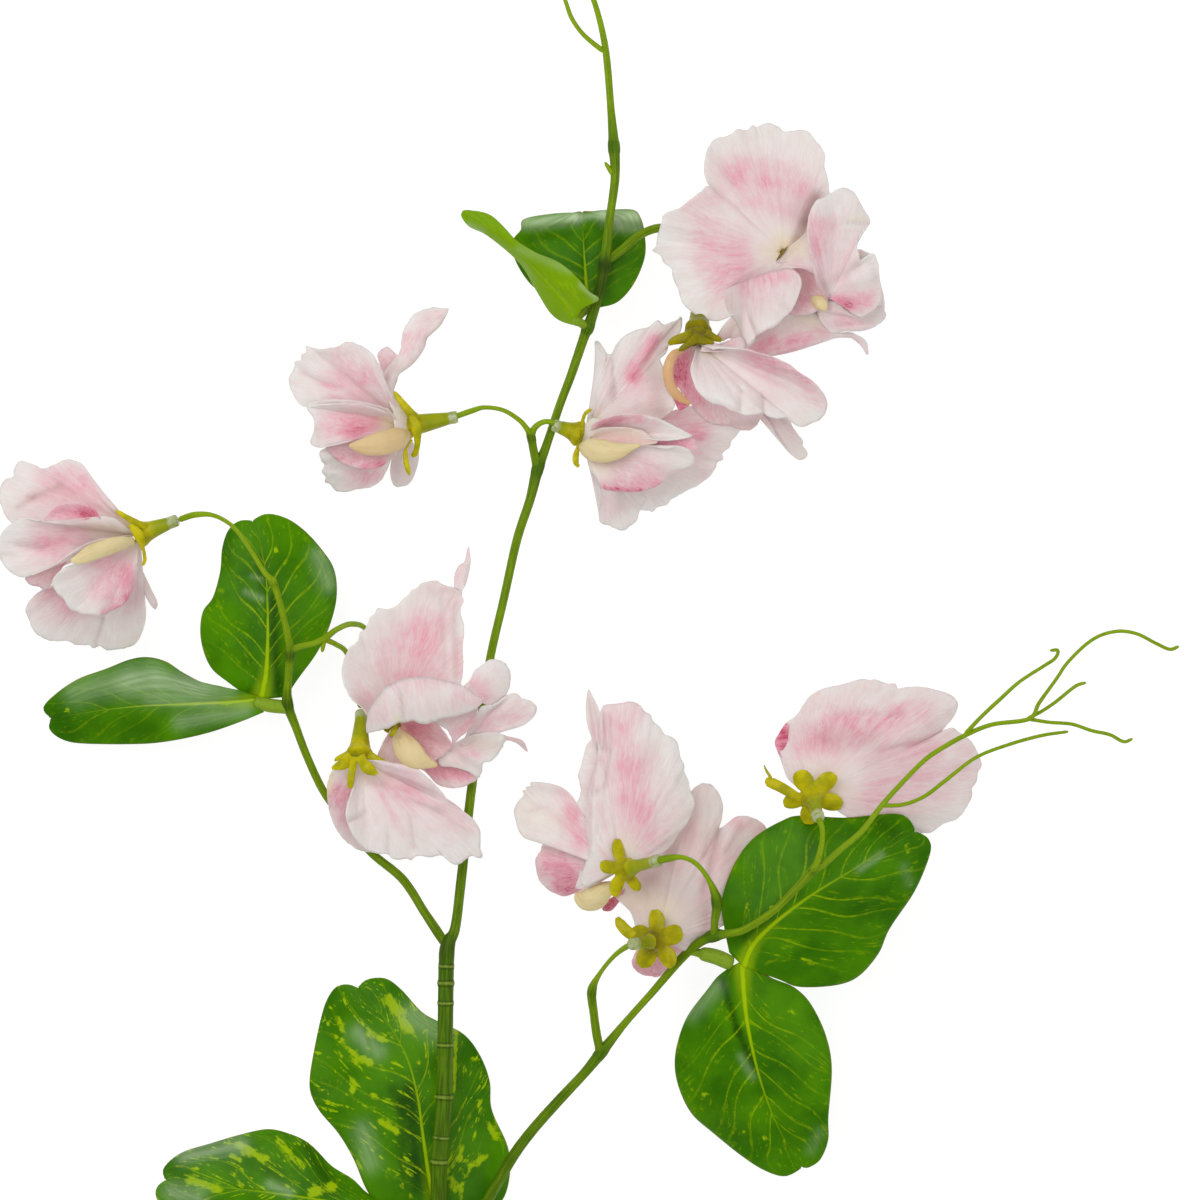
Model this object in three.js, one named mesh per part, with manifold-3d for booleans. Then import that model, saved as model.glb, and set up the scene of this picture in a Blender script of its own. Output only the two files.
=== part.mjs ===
// A cut spray of sweet pea, lying on a surface: one main stem with two side branches, ten blooms,
// four leaves of two leaflets each, and curling tendrils. Millimetres, +Z up, resting on z = 0.
// Points are written [x, y, z]: x to the right and y down on a drawing of the spray seen from above,
// in drawing units, and z the height above the surface in millimetres.
import * as THREE from "three";
import { mergeVertices } from "three/addons/utils/BufferGeometryUtils.js";
import Module from "manifold-3d";

const wasm = await Module();
wasm.setup();

// Driving dimensions, in millimetres unless a name says otherwise.
const UNIT = 0.225; // one drawing unit, so that a bloom is about 45 mm across
const DRAWING = 1200; // drawing units along each side
const PETAL_THICKNESS = 0.7;
const LEAF_THICKNESS = 0.8;
const KEEL_FLATNESS = 0.62; // a keel's thickness over its height
const GAP = 0.3; // clearance between neighbouring pieces
const MERGE = 0.0015; // corners closer than this are one corner
const CORE_RADIUS = 3.3; // the receptacle that a bloom's petals grow from
const CORE_AHEAD = 2.4; // from the throat to the middle of the receptacle
const CLAW_SPREAD = 1.5; // the furthest that a petal's claw starts from the receptacle's middle
const CLAW_SHARE = 0.03; // share of a petal's reach that lies inside the receptacle
const STEP = 7; // spacing of the rings along a stem
const SEPALS = 5;
const SEPAL_LENGTH = 4.6;
const SEPAL_THICKNESS = 0.9;
const CUP_RADIUS = 2.9;
const TUBE_RADIUS = 1.25;

const GREEN_STEM = new THREE.MeshStandardMaterial({ color: 0x5d8a1e, roughness: 0.55 });
const GREEN_LEAF = new THREE.MeshStandardMaterial({ color: 0x2f7410, roughness: 0.32 });
const OLIVE_CALYX = new THREE.MeshStandardMaterial({ color: 0xa3a41c, roughness: 0.5 });
const PINK_PETAL = new THREE.MeshStandardMaterial({ color: 0xe6ccd4, roughness: 0.8 });
const CREAM_KEEL = new THREE.MeshStandardMaterial({ color: 0xe2d6a6, roughness: 0.7 });

// Stem routes: [x, y, z, diameter in millimetres].
const MAIN_STEM = {
  stem: [
    [438, 1310, 1.8, 3.8], [438, 1275, 3.6, 3.8], [438, 1225, 7, 3.7], [439, 1163, 9.5, 3.7],
    [444, 1098, 10.5, 3.7], [445, 1036, 11, 3.5], [446, 967, 11.2, 3.5], [448, 944, 11.2, 3.1],
    [455, 928, 11.2, 2.3], [461, 880, 11.2, 2.2], [470, 800, 11.2, 2.1], [480, 725, 11.6, 2],
    [490, 659, 13, 1.9], [504, 598, 14.5, 1.9], [517, 540, 16, 2], [530, 500, 17, 2.1],
    [538, 468, 17.5, 2.6], [546, 447, 17.5, 2], [560, 405, 18, 1.9], [571, 376, 18, 2],
    [584, 338, 19, 2.2], [588, 328, 19.5, 2.6], [596, 304, 20, 2.2], [605, 263, 21, 2.5],
    [609, 225, 21, 1.9], [615, 180, 20.5, 2], [614, 148, 20, 2.4], [611, 110, 19.5, 1.7],
    [607, 61, 18, 1.6], [602, 30, 17.5, 1.4], [592, -4, 17, 1.2], [578, -26, 16, 1.1],
    [560, -34, 15, 1], [549, -25, 15, 0.9], [552, -14, 15.5, 0.8],
  ],
  sideTendril: [
    [604, 52, 18, 1.2], [590, 41, 18, 1.1], [580, 31, 18, 1], [571, 17, 18, 1],
    [563, -4, 17.5, 0.9], [550, -18, 18, 0.8], [538, -16, 18.5, 0.8],
  ],
  lowerPeduncle: [
    [538, 468, 17.5, 2.2], [534, 452, 18.5, 1.9], [531, 436, 20, 1.8], [527, 429, 20.5, 1.3],
    [519, 420, 21, 1.2], [503, 410.5, 22, 1.1], [485, 408, 22, 1.1], [473, 411, 22, 1.6],
    [453, 418, 21, 1.5],
  ],
  lowerArm: [
    [531, 436, 20, 1.6], [536, 427, 21, 1.4], [546, 422, 21.5, 1.2], [560, 425, 21.5, 1.5],
  ],
  upperPeduncle: [
    [606, 262, 21, 2.1], [621, 251, 20, 2], [639, 236, 18, 1.9], [659, 228, 15.5, 2],
    [680, 231, 11.5, 1.7], [700, 240, 9, 1.6], [730, 248, 9, 1.5], [752, 253, 11, 1.6],
  ],
  upperArm: [
    [694, 238, 9.8, 1.4], [706, 262, 7.5, 1.3], [706, 288, 10, 1.4], [701, 309, 15, 1.6],
  ],
  thorn: [[614, 176, 20.5, 1.4], [609, 169, 20.5, 1.1], [605, 163, 20.5, 0.7]],
};
const LEFT_BRANCH = {
  stem: [
    [446, 946, 11, 2], [436, 931, 10.6, 2.2], [424, 913, 10, 2], [402, 880, 8.8, 2],
    [370, 853, 7.5, 1.9], [345, 822, 7.5, 1.8], [324, 794, 9, 1.8], [308, 760, 12.5, 1.8],
    [296, 727, 16.5, 1.9], [288, 703, 19, 2.4], [289, 679, 21.5, 1.8], [291, 652, 23.5, 2.2],
    [289, 637, 24.5, 1.7], [283, 609, 26, 1.6], [275, 583, 27.5, 1.9], [266, 572, 28, 1.4],
    [251, 548, 28, 1.1], [235, 527, 27.5, 1.1], [216, 516, 26, 1.1], [197, 515, 24.5, 1.7],
    [180, 520, 23, 1.6],
  ],
  peduncle: [
    [291, 650, 23.5, 1.7], [302, 646, 24, 1.4], [315, 643, 24.5, 1.3], [326, 638, 24, 1.5],
    [338, 629, 20.5, 1.3], [352, 624, 15.5, 1.3], [366, 630, 10.5, 1.2], [380, 660, 7, 1.2],
    [388, 690, 6.5, 1.5], [390, 704, 7, 1.6],
  ],
  lowerArm: [
    [325, 639, 24, 1.3], [336, 644, 21.5, 1.2], [347, 653, 17.5, 1.2], [356, 680, 13, 1.3],
    [361, 708, 14.5, 1.6],
  ],
  budTip: [[276, 588, 27.2, 1.4], [275, 577, 28.2, 0.9]],
  bract: [[325, 640, 24, 1.2], [323, 652, 24, 0.8]],
};
const RIGHT_BRANCH = {
  stem: [
    [438, 1278, 4, 2.4], [455, 1252, 5.5, 2.4], [478, 1219, 7, 2.4], [509, 1164, 9.5, 2.5],
    [531, 1133, 11, 2.4], [560, 1100, 12.5, 2.3], [584, 1074, 14, 2.2], [601, 1053, 15, 2.5],
    [625, 1023, 16.5, 1.7], [654, 990, 18.5, 1.7], [682, 957, 21, 2], [700, 941, 23.5, 2.1],
    [714, 934, 25.5, 2.6], [727, 932, 27, 1.9], [745, 927, 29, 1.7], [772, 909, 31.5, 1.7],
    [794, 887, 33, 1.8], [812, 868, 34, 2], [822, 862, 34.3, 1.6], [839, 847, 34.5, 1.5],
    [859, 830, 34.5, 1.4], [881, 802, 34.5, 1.2], [901, 780, 34.3, 1.1], [922, 759, 34, 1.1],
    [941, 746, 33.7, 1.1], [965, 733, 33.3, 1.1], [990, 723.5, 33, 1], [1026, 718, 32.5, 1],
    [1036, 702, 33, 0.9], [1053, 678, 34, 0.8], [1063, 663, 34.5, 0.8], [1081, 645, 34.5, 0.8],
    [1097, 635, 34, 0.8], [1116, 631, 33, 0.8], [1134, 634, 32, 0.8], [1152, 643, 31, 0.8],
    [1166, 649, 30.5, 0.8], [1175, 646, 31, 0.8],
  ],
  nearTendril: [
    [880, 804, 34.5, 1], [901, 803, 33.5, 0.9], [922, 795, 32.5, 0.9], [941, 781, 31.5, 0.9],
    [973, 757, 30, 0.8], [1006, 744, 28.5, 0.8], [1039, 735, 27.5, 0.8], [1066, 731, 27, 0.7],
  ],
  highTendril: [
    [962, 733.5, 33.3, 1], [978, 716, 34.5, 0.9], [996, 699, 35.5, 0.9], [1016, 681, 36, 0.8],
    [1039, 666, 36, 0.8], [1051, 658, 35.5, 0.8], [1054, 650, 35.5, 0.8], [1046, 650, 36, 0.7],
  ],
  smallTendril: [
    [1024, 718, 32.5, 0.9], [1038, 711, 31.5, 0.8], [1053, 701, 31, 0.8], [1072, 686, 30.5, 0.8],
    [1083, 682, 31, 0.7],
  ],
  lowTendril: [
    [1024, 718, 32.5, 0.9], [1046, 721.5, 31, 0.8], [1069, 723.5, 29.5, 0.8],
    [1089, 730, 28.5, 0.8], [1107, 734, 27.5, 0.8], [1121, 741, 27, 0.8], [1130, 738, 27.5, 0.7],
  ],
  upperPedicel: [
    [714, 934, 25.5, 1.8], [714, 921, 28, 1.7], [716, 899, 31.5, 2.3], [708, 878, 34.5, 1.2],
    [696, 862, 36.5, 1.1], [682, 855, 37.2, 1.1], [667, 856, 36.8, 1.7], [656, 859, 35.5, 1.5],
  ],
  lowerPedicel: [
    [601, 1053, 15, 2], [597, 1036, 16.5, 2], [594, 1014, 18, 1.9], [592, 990, 20, 2],
    [600, 972, 24, 1.1], [613, 955, 29, 1.1], [625, 945, 32.5, 1.3], [634, 941, 34.5, 1.5],
  ],
  farPedicel: [
    [810, 870, 34, 1.6], [816, 858, 35.5, 1.5], [820, 840, 37, 1.2], [820, 826, 37.5, 1.2],
    [816, 816, 37, 1.6],
  ],
};

// Each bloom: the calyx from its sleeve to its throat, how far the sepals splay from its axis in
// degrees, the keel's route [x, y, z, height in millimetres], and the petals. A petal is a claw and
// the rim that it fans out to. lift is how far its middle stands above the straight line from claw
// to rim, and a twin is a second such petal on the side away from the viewer, mirrored at twinHeight.
const BLOOMS = {
  bloom_1: {
    sleeve: [180, 520, 23],
    throat: [143, 533, 20.5],
    splay: 38,
    keel: [[132, 546, 25, 1.6], [112, 549, 30, 4.6], [92, 553, 32, 4.6], [76, 558, 32.5, 1.2]],
    twinHeight: 14.5,
    petals: [
      {
        claw: [134, 528, 20],
        rim: [
          [122, 512, 21], [98, 494, 23], [81, 466, 21], [66, 461, 20], [44, 469, 21],
          [21, 461, 18], [5, 479, 18], [0, 494, 20], [10, 520, 23], [40, 540, 25],
        ],
        lift: 3,
      },
      {
        claw: [134, 535, 22],
        rim: [
          [118, 520, 28], [95, 506, 32], [70, 503, 33.5], [40, 511, 33], [12, 530, 30],
          [1, 550, 27], [12, 568, 27], [30, 578, 29], [54, 577, 32], [72, 560, 33],
        ],
        lift: 4,
        twin: true,
      },
      {
        claw: [136, 548, 22],
        rim: [
          [84, 564, 34], [62, 572, 33], [58, 588, 31], [72, 605, 28], [104, 614, 26],
          [129, 601, 25], [141, 578, 23], [141, 560, 22],
        ],
        lift: 4,
        twin: true,
      },
      {
        claw: [140, 546, 18],
        rim: [
          [52, 578, 21], [30, 592, 17], [25, 608, 14], [34, 628, 11], [57, 641, 9.5],
          [92, 648, 9], [112, 650, 9.5], [135, 644, 10.5], [144, 624, 12], [150, 600, 14],
        ],
        lift: 2,
      },
    ],
  },
  bloom_2: {
    sleeve: [453, 418, 21],
    throat: [407, 426, 20.5],
    splay: 35,
    keel: [[402, 432, 24, 1.6], [386, 441, 28.5, 4.4], [368, 447, 30, 4.4], [351, 447, 30.5, 1]],
    twinHeight: 15,
    petals: [
      {
        claw: [402, 420, 19],
        rim: [
          [390, 404, 21], [386, 372, 22.5], [400, 344, 20], [405, 327, 18], [417, 313, 17],
          [434, 307, 17], [449, 309, 19], [440, 326, 20], [428, 340, 19], [418, 361, 18],
          [410, 385, 17],
        ],
        lift: 2,
      },
      {
        claw: [398, 420, 22],
        rim: [
          [392, 398, 26], [380, 366, 29], [368, 348, 29], [350, 343, 28], [326, 350, 26],
          [307, 347, 24], [296, 363, 23], [290, 383, 24], [296, 399, 26], [320, 410, 29],
        ],
        lift: 3,
        twin: true,
      },
      {
        claw: [398, 427, 23],
        rim: [
          [386, 409, 30], [350, 403, 33], [322, 410, 32], [305, 424, 30], [312, 445, 30],
          [332, 446, 32], [350, 441, 33],
        ],
        lift: 3,
      },
      {
        claw: [395, 435, 20],
        rim: [
          [342, 448, 28], [321, 456, 25], [323, 472, 21], [337, 493, 16], [354, 487, 15],
          [369, 487, 14], [388, 474, 15], [403, 458, 16.5],
        ],
        lift: 4,
        twin: true,
      },
      {
        claw: [402, 438, 17],
        rim: [
          [394, 452, 16], [390, 469, 13], [393, 485, 11], [405, 486, 11], [417, 469, 12.5],
          [419, 451, 15],
        ],
        lift: 1,
        columns: 4,
      },
    ],
  },
  bloom_3: {
    sleeve: [752, 253, 11],
    throat: [778, 257, 18],
    splay: 55,
    keel: [[796, 268, 25, 1.8], [808, 282, 26.5, 3.4], [818, 296, 26, 3.4], [824, 308, 24.5, 1.4]],
    petals: [
      {
        claw: [780, 254, 20],
        rim: [
          [722, 214, 21], [706, 187, 19], [704, 160, 17], [715, 138, 16], [729, 133, 17],
          [753, 125, 15], [769, 122, 17], [786, 130, 15.5], [806, 130, 17], [824, 151, 18],
          [830, 190, 20], [818, 220, 22],
        ],
        lift: -3,
        columns: 7,
      },
      {
        claw: [778, 260, 21],
        rim: [
          [730, 200, 24], [711, 193, 24], [690, 196, 22], [663, 214, 18.5], [653, 248, 16.5],
          [673, 276, 17], [681, 299, 16.5], [698, 316, 16], [716, 321, 17], [740, 312, 20],
        ],
        lift: -2,
        columns: 7,
      },
      {
        claw: [780, 264, 22],
        rim: [
          [756, 272, 28], [735, 290, 28.5], [728, 310, 27.5], [736, 332, 26], [746, 347, 24],
          [756, 337, 26], [781, 324, 26], [796, 296, 28], [800, 280, 28.5],
        ],
        lift: 2,
      },
      {
        claw: [786, 258, 22],
        rim: [
          [798, 240, 30], [803, 222, 31], [814, 206, 30], [841, 189, 26], [854, 194, 25],
          [870, 221, 24], [860, 234, 25.5], [857, 266, 26.5], [839, 297, 27.5], [814, 280, 30],
        ],
        lift: 1,
      },
      {
        claw: [788, 264, 18.5],
        rim: [
          [860, 250, 21], [874, 255, 20], [880, 282, 18], [886, 314, 15], [862, 326, 15],
          [867, 342, 13], [869, 354, 12], [850, 344, 12.5], [827, 337, 13], [790, 350, 11],
          [746, 359, 10], [742, 340, 13],
        ],
        lift: 2,
        columns: 8,
      },
    ],
  },
  bloom_4: {
    sleeve: [701, 311, 15.5],
    throat: [696, 340, 20],
    splay: 62,
    keel: [
      [686, 352, 22.5, 1.6], [673, 362, 24.5, 3.4], [668, 378, 25, 3.6], [676, 395, 24, 3],
      [690, 405, 22, 1.2],
    ],
    twinHeight: 15.5,
    petals: [
      {
        claw: [698, 355, 23],
        rim: [
          [716, 347, 29], [742, 351, 32], [770, 359, 32], [800, 371, 30], [812, 384, 28],
          [826, 407, 25], [816, 424, 24], [803, 427, 24.5], [785, 420, 27], [763, 415, 29],
          [738, 413, 30], [705, 396, 30.5], [692, 374, 28],
        ],
        lift: 3,
        columns: 7,
        twin: true,
      },
      {
        claw: [693, 357, 19],
        rim: [
          [672, 352, 19], [662, 372, 17.5], [672, 396, 15], [694, 411, 13], [720, 424, 12],
          [740, 430, 11], [759, 420, 13], [776, 400, 15],
        ],
        lift: -1,
      },
      {
        claw: [697, 358, 18.5],
        rim: [
          [745, 412, 12], [768, 428, 10], [788, 447, 8.5], [804, 459, 7.5], [809, 450, 8.5],
          [796, 428, 10], [786, 405, 12],
        ],
        lift: -1,
        columns: 4,
      },
    ],
  },
  bloom_5: {
    sleeve: [560, 425, 21.5],
    throat: [579, 435, 20.5],
    splay: 50,
    keel: [[587, 449, 24.5, 1.8], [602, 455, 28, 4], [622, 454, 29, 3.8], [640, 447, 29, 1]],
    twinHeight: 17,
    petals: [
      {
        claw: [588, 430, 20],
        rim: [
          [590, 404, 22], [602, 374, 20], [609, 358, 18], [597, 345, 15], [617, 352, 18],
          [632, 330, 20], [656, 322, 18], [680, 317, 15], [684, 334, 16], [670, 350, 20],
          [668, 375, 22.5], [675, 402, 23], [664, 424, 23],
        ],
        lift: 2,
        columns: 8,
      },
      {
        claw: [588, 436, 23],
        rim: [
          [592, 416, 27], [622, 415, 31], [655, 420, 32], [690, 431, 31], [684, 441, 31],
          [655, 442, 32.5],
        ],
        lift: 2,
      },
      {
        claw: [588, 452, 22],
        rim: [
          [652, 448, 31], [679, 441, 29.5], [694, 461, 27], [668, 478, 26], [636, 491, 25],
          [604, 491, 24], [588, 474, 24],
        ],
        lift: 4,
        twin: true,
      },
      {
        claw: [588, 448, 18.5],
        rim: [
          [586, 478, 16], [602, 498, 14], [599, 520, 11], [610, 529, 10], [624, 530, 9.5],
          [638, 512, 11.5], [646, 494, 14],
        ],
        lift: 1,
        columns: 4,
      },
      {
        claw: [590, 440, 17],
        rim: [
          [622, 496, 15], [638, 506, 12.5], [656, 510, 11], [690, 492, 9.5], [709, 476, 9],
          [724, 457, 9], [742, 430, 10], [720, 420, 13], [686, 414, 16],
        ],
        lift: 1,
        twin: true,
      },
    ],
  },
  bloom_6: {
    sleeve: [390, 703, 7],
    throat: [394, 722, 14],
    splay: 60,
    keel: [[398, 731, 18.5, 1.8], [411, 741, 25, 4], [424, 752, 27, 4.2], [436, 763, 26.5, 1.6]],
    twinHeight: 13.5,
    petals: [
      {
        claw: [396, 722, 16],
        rim: [
          [372, 712, 22], [358, 702, 22], [344, 679, 20.5], [347, 653, 20], [361, 636, 20],
          [375, 611, 19], [400, 605, 18], [415, 589, 18], [431, 581, 18.5], [450, 587, 19],
          [460, 592, 19], [468, 549, 17], [467, 590, 19.5], [466, 640, 22], [462, 683, 25],
        ],
        lift: -1,
        columns: 10,
      },
      {
        claw: [400, 724, 20],
        rim: [
          [366, 730, 26], [368, 714, 29], [380, 698, 31], [396, 684, 32], [418, 678, 33],
          [442, 681, 32], [461, 685, 31], [480, 700, 29], [450, 713, 30], [424, 722, 29],
        ],
        lift: 2,
      },
      {
        claw: [406, 728, 18],
        rim: [
          [462, 692, 26], [478, 668, 24], [493, 659, 22], [509, 670, 20.5], [511, 688, 19.5],
          [537, 707, 18], [526, 724, 18], [515, 731, 18], [527, 751, 16], [504, 736, 19],
          [494, 752, 20], [482, 762, 20], [458, 752, 23],
        ],
        lift: 3,
        columns: 10,
      },
      {
        claw: [406, 736, 17],
        rim: [
          [462, 752, 20], [485, 764, 18], [472, 783, 16.5], [456, 788, 16.5], [441, 787, 17],
          [420, 770, 19], [406, 758, 20],
        ],
        lift: 1,
        twin: true,
      },
    ],
  },
  bloom_7: {
    sleeve: [361, 710, 15],
    throat: [360, 752, 21],
    splay: 55,
    keel: [[366, 768, 21.5, 1.6], [380, 784, 23, 3.4], [394, 798, 22.5, 3.4], [406, 808, 21, 1.2]],
    twinHeight: 15,
    petals: [
      {
        claw: [358, 769, 21],
        rim: [
          [345, 764, 21], [328, 776, 18.5], [326, 794, 16], [330, 814, 14], [338, 832, 12.5],
          [352, 845, 12], [370, 852, 12], [388, 840, 14],
        ],
        lift: 1,
      },
      {
        claw: [364, 768, 23],
        rim: [
          [358, 786, 28], [347, 811, 29], [351, 834, 27], [364, 850, 25], [392, 858, 24],
          [413, 859, 24], [441, 854, 23], [459, 863, 21], [472, 855, 20.5], [483, 857, 20],
          [480, 830, 22], [465, 811, 24], [448, 800, 25.5], [433, 778, 27], [418, 767, 27],
          [400, 765, 26],
        ],
        lift: 4,
        columns: 10,
        twin: true,
      },
    ],
  },
  bloom_8: {
    sleeve: [655, 859, 35.3],
    throat: [624, 868, 27],
    splay: 84,
    keel: [[612, 877, 23, 1.8], [599, 891, 20.5, 3.6], [592, 904, 18.5, 3.6], [602, 911, 17, 1.4]],
    petals: [
      {
        claw: [620, 868, 24.5],
        rim: [
          [596, 880, 22], [583, 860, 22], [580, 829, 22], [576, 809, 21], [580, 780, 20],
          [589, 740, 18.5], [586, 711, 17], [589, 690, 16], [599, 706, 18], [631, 702, 19],
          [651, 715, 19], [671, 737, 19], [684, 760, 19], [694, 801, 19], [688, 823, 20],
          [669, 845, 22],
        ],
        lift: 3,
        columns: 10,
      },
      {
        claw: [614, 870, 22],
        rim: [
          [578, 860, 19], [560, 843, 19], [526, 840, 17], [514, 811, 14], [520, 790, 12.5],
          [531, 783, 12], [559, 788, 14], [577, 806, 17],
        ],
        lift: 2,
      },
      {
        claw: [614, 876, 20],
        rim: [
          [578, 850, 16], [544, 845, 13], [536, 864, 10.5], [547, 890, 9.5], [567, 895, 10],
          [588, 886, 14],
        ],
        lift: 1,
        columns: 4,
      },
      {
        claw: [620, 868, 20],
        rim: [
          [600, 852, 12], [594, 822, 0], [602, 792, -12], [630, 780, -14], [660, 792, -12],
          [670, 822, 0], [656, 850, 10],
        ],
        lift: -2,
        columns: 6,
      },
    ],
  },
  bloom_9: {
    sleeve: [634, 941, 34.5],
    throat: [655, 939, 27],
    splay: 84,
    keel: [[664, 932, 17.5, 1.8], [674, 920, 13, 3.6], [684, 908, 10, 3.6], [694, 898, 8, 1.4]],
    petals: [
      {
        claw: [657, 937, 24.5],
        rim: [
          [638, 930, 23], [627, 915, 20], [628, 898, 16], [645, 872, 13], [668, 846, 12],
          [690, 818, 11], [692, 790, 10], [706, 783, 10.5], [720, 794, 12], [722, 813, 13],
          [720, 831, 14], [745, 816, 13], [763, 823, 13], [776, 850, 13], [768, 885, 14],
          [742, 914, 17], [708, 931, 21], [684, 950, 22.5],
        ],
        lift: 2,
        columns: 10,
      },
      {
        claw: [658, 942, 21.5],
        rim: [
          [640, 944, 19], [632, 962, 15], [643, 976, 11], [659, 977, 9.5], [682, 958, 10],
          [700, 930, 10],
        ],
        lift: 2,
        columns: 4,
      },
      {
        claw: [660, 937, 20],
        rim: [
          [648, 912, 11], [652, 886, 0], [668, 862, -12], [698, 856, -14], [724, 876, -12],
          [722, 904, 0], [702, 930, 11],
        ],
        lift: -2,
        columns: 6,
      },
    ],
  },
  bloom_10: {
    sleeve: [816, 814, 36.5],
    throat: [812, 796, 28.5],
    splay: 84,
    keel: [[826, 790, 19.5, 1.8], [840, 784, 14.5, 3.6], [854, 778, 11.5, 3.6], [868, 774, 10, 1.4]],
    petals: [
      {
        claw: [812, 793, 26],
        rim: [
          [796, 786, 25], [783, 775, 23], [777, 757, 20.5], [775, 741, 18.5], [790, 721, 17],
          [819, 693, 15.5], [840, 685, 15], [865, 679, 14.5], [897, 687, 14.5], [925, 688, 14],
          [949, 694, 13], [958, 705, 13], [937, 738, 16], [954, 727, 14.5], [976, 749, 13],
          [982, 764, 13], [972, 795, 14], [962, 815, 14.5], [938, 829, 16], [905, 832, 18],
          [860, 826, 22],
        ],
        lift: 3,
        columns: 11,
      },
      {
        claw: [816, 793, 22],
        rim: [
          [812, 772, 14], [822, 746, 0], [850, 728, -12], [884, 732, -14], [902, 756, -12],
          [892, 784, 0], [866, 806, 12],
        ],
        lift: -2,
        columns: 6,
      },
      {
        claw: [814, 795, 22.5],
        rim: [
          [800, 772, 19], [806, 742, 12], [832, 716, 8], [870, 710, 7], [910, 722, 7],
          [930, 760, 8], [912, 796, 11], [870, 814, 17],
        ],
        lift: -1,
      },
    ],
  },
};

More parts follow.
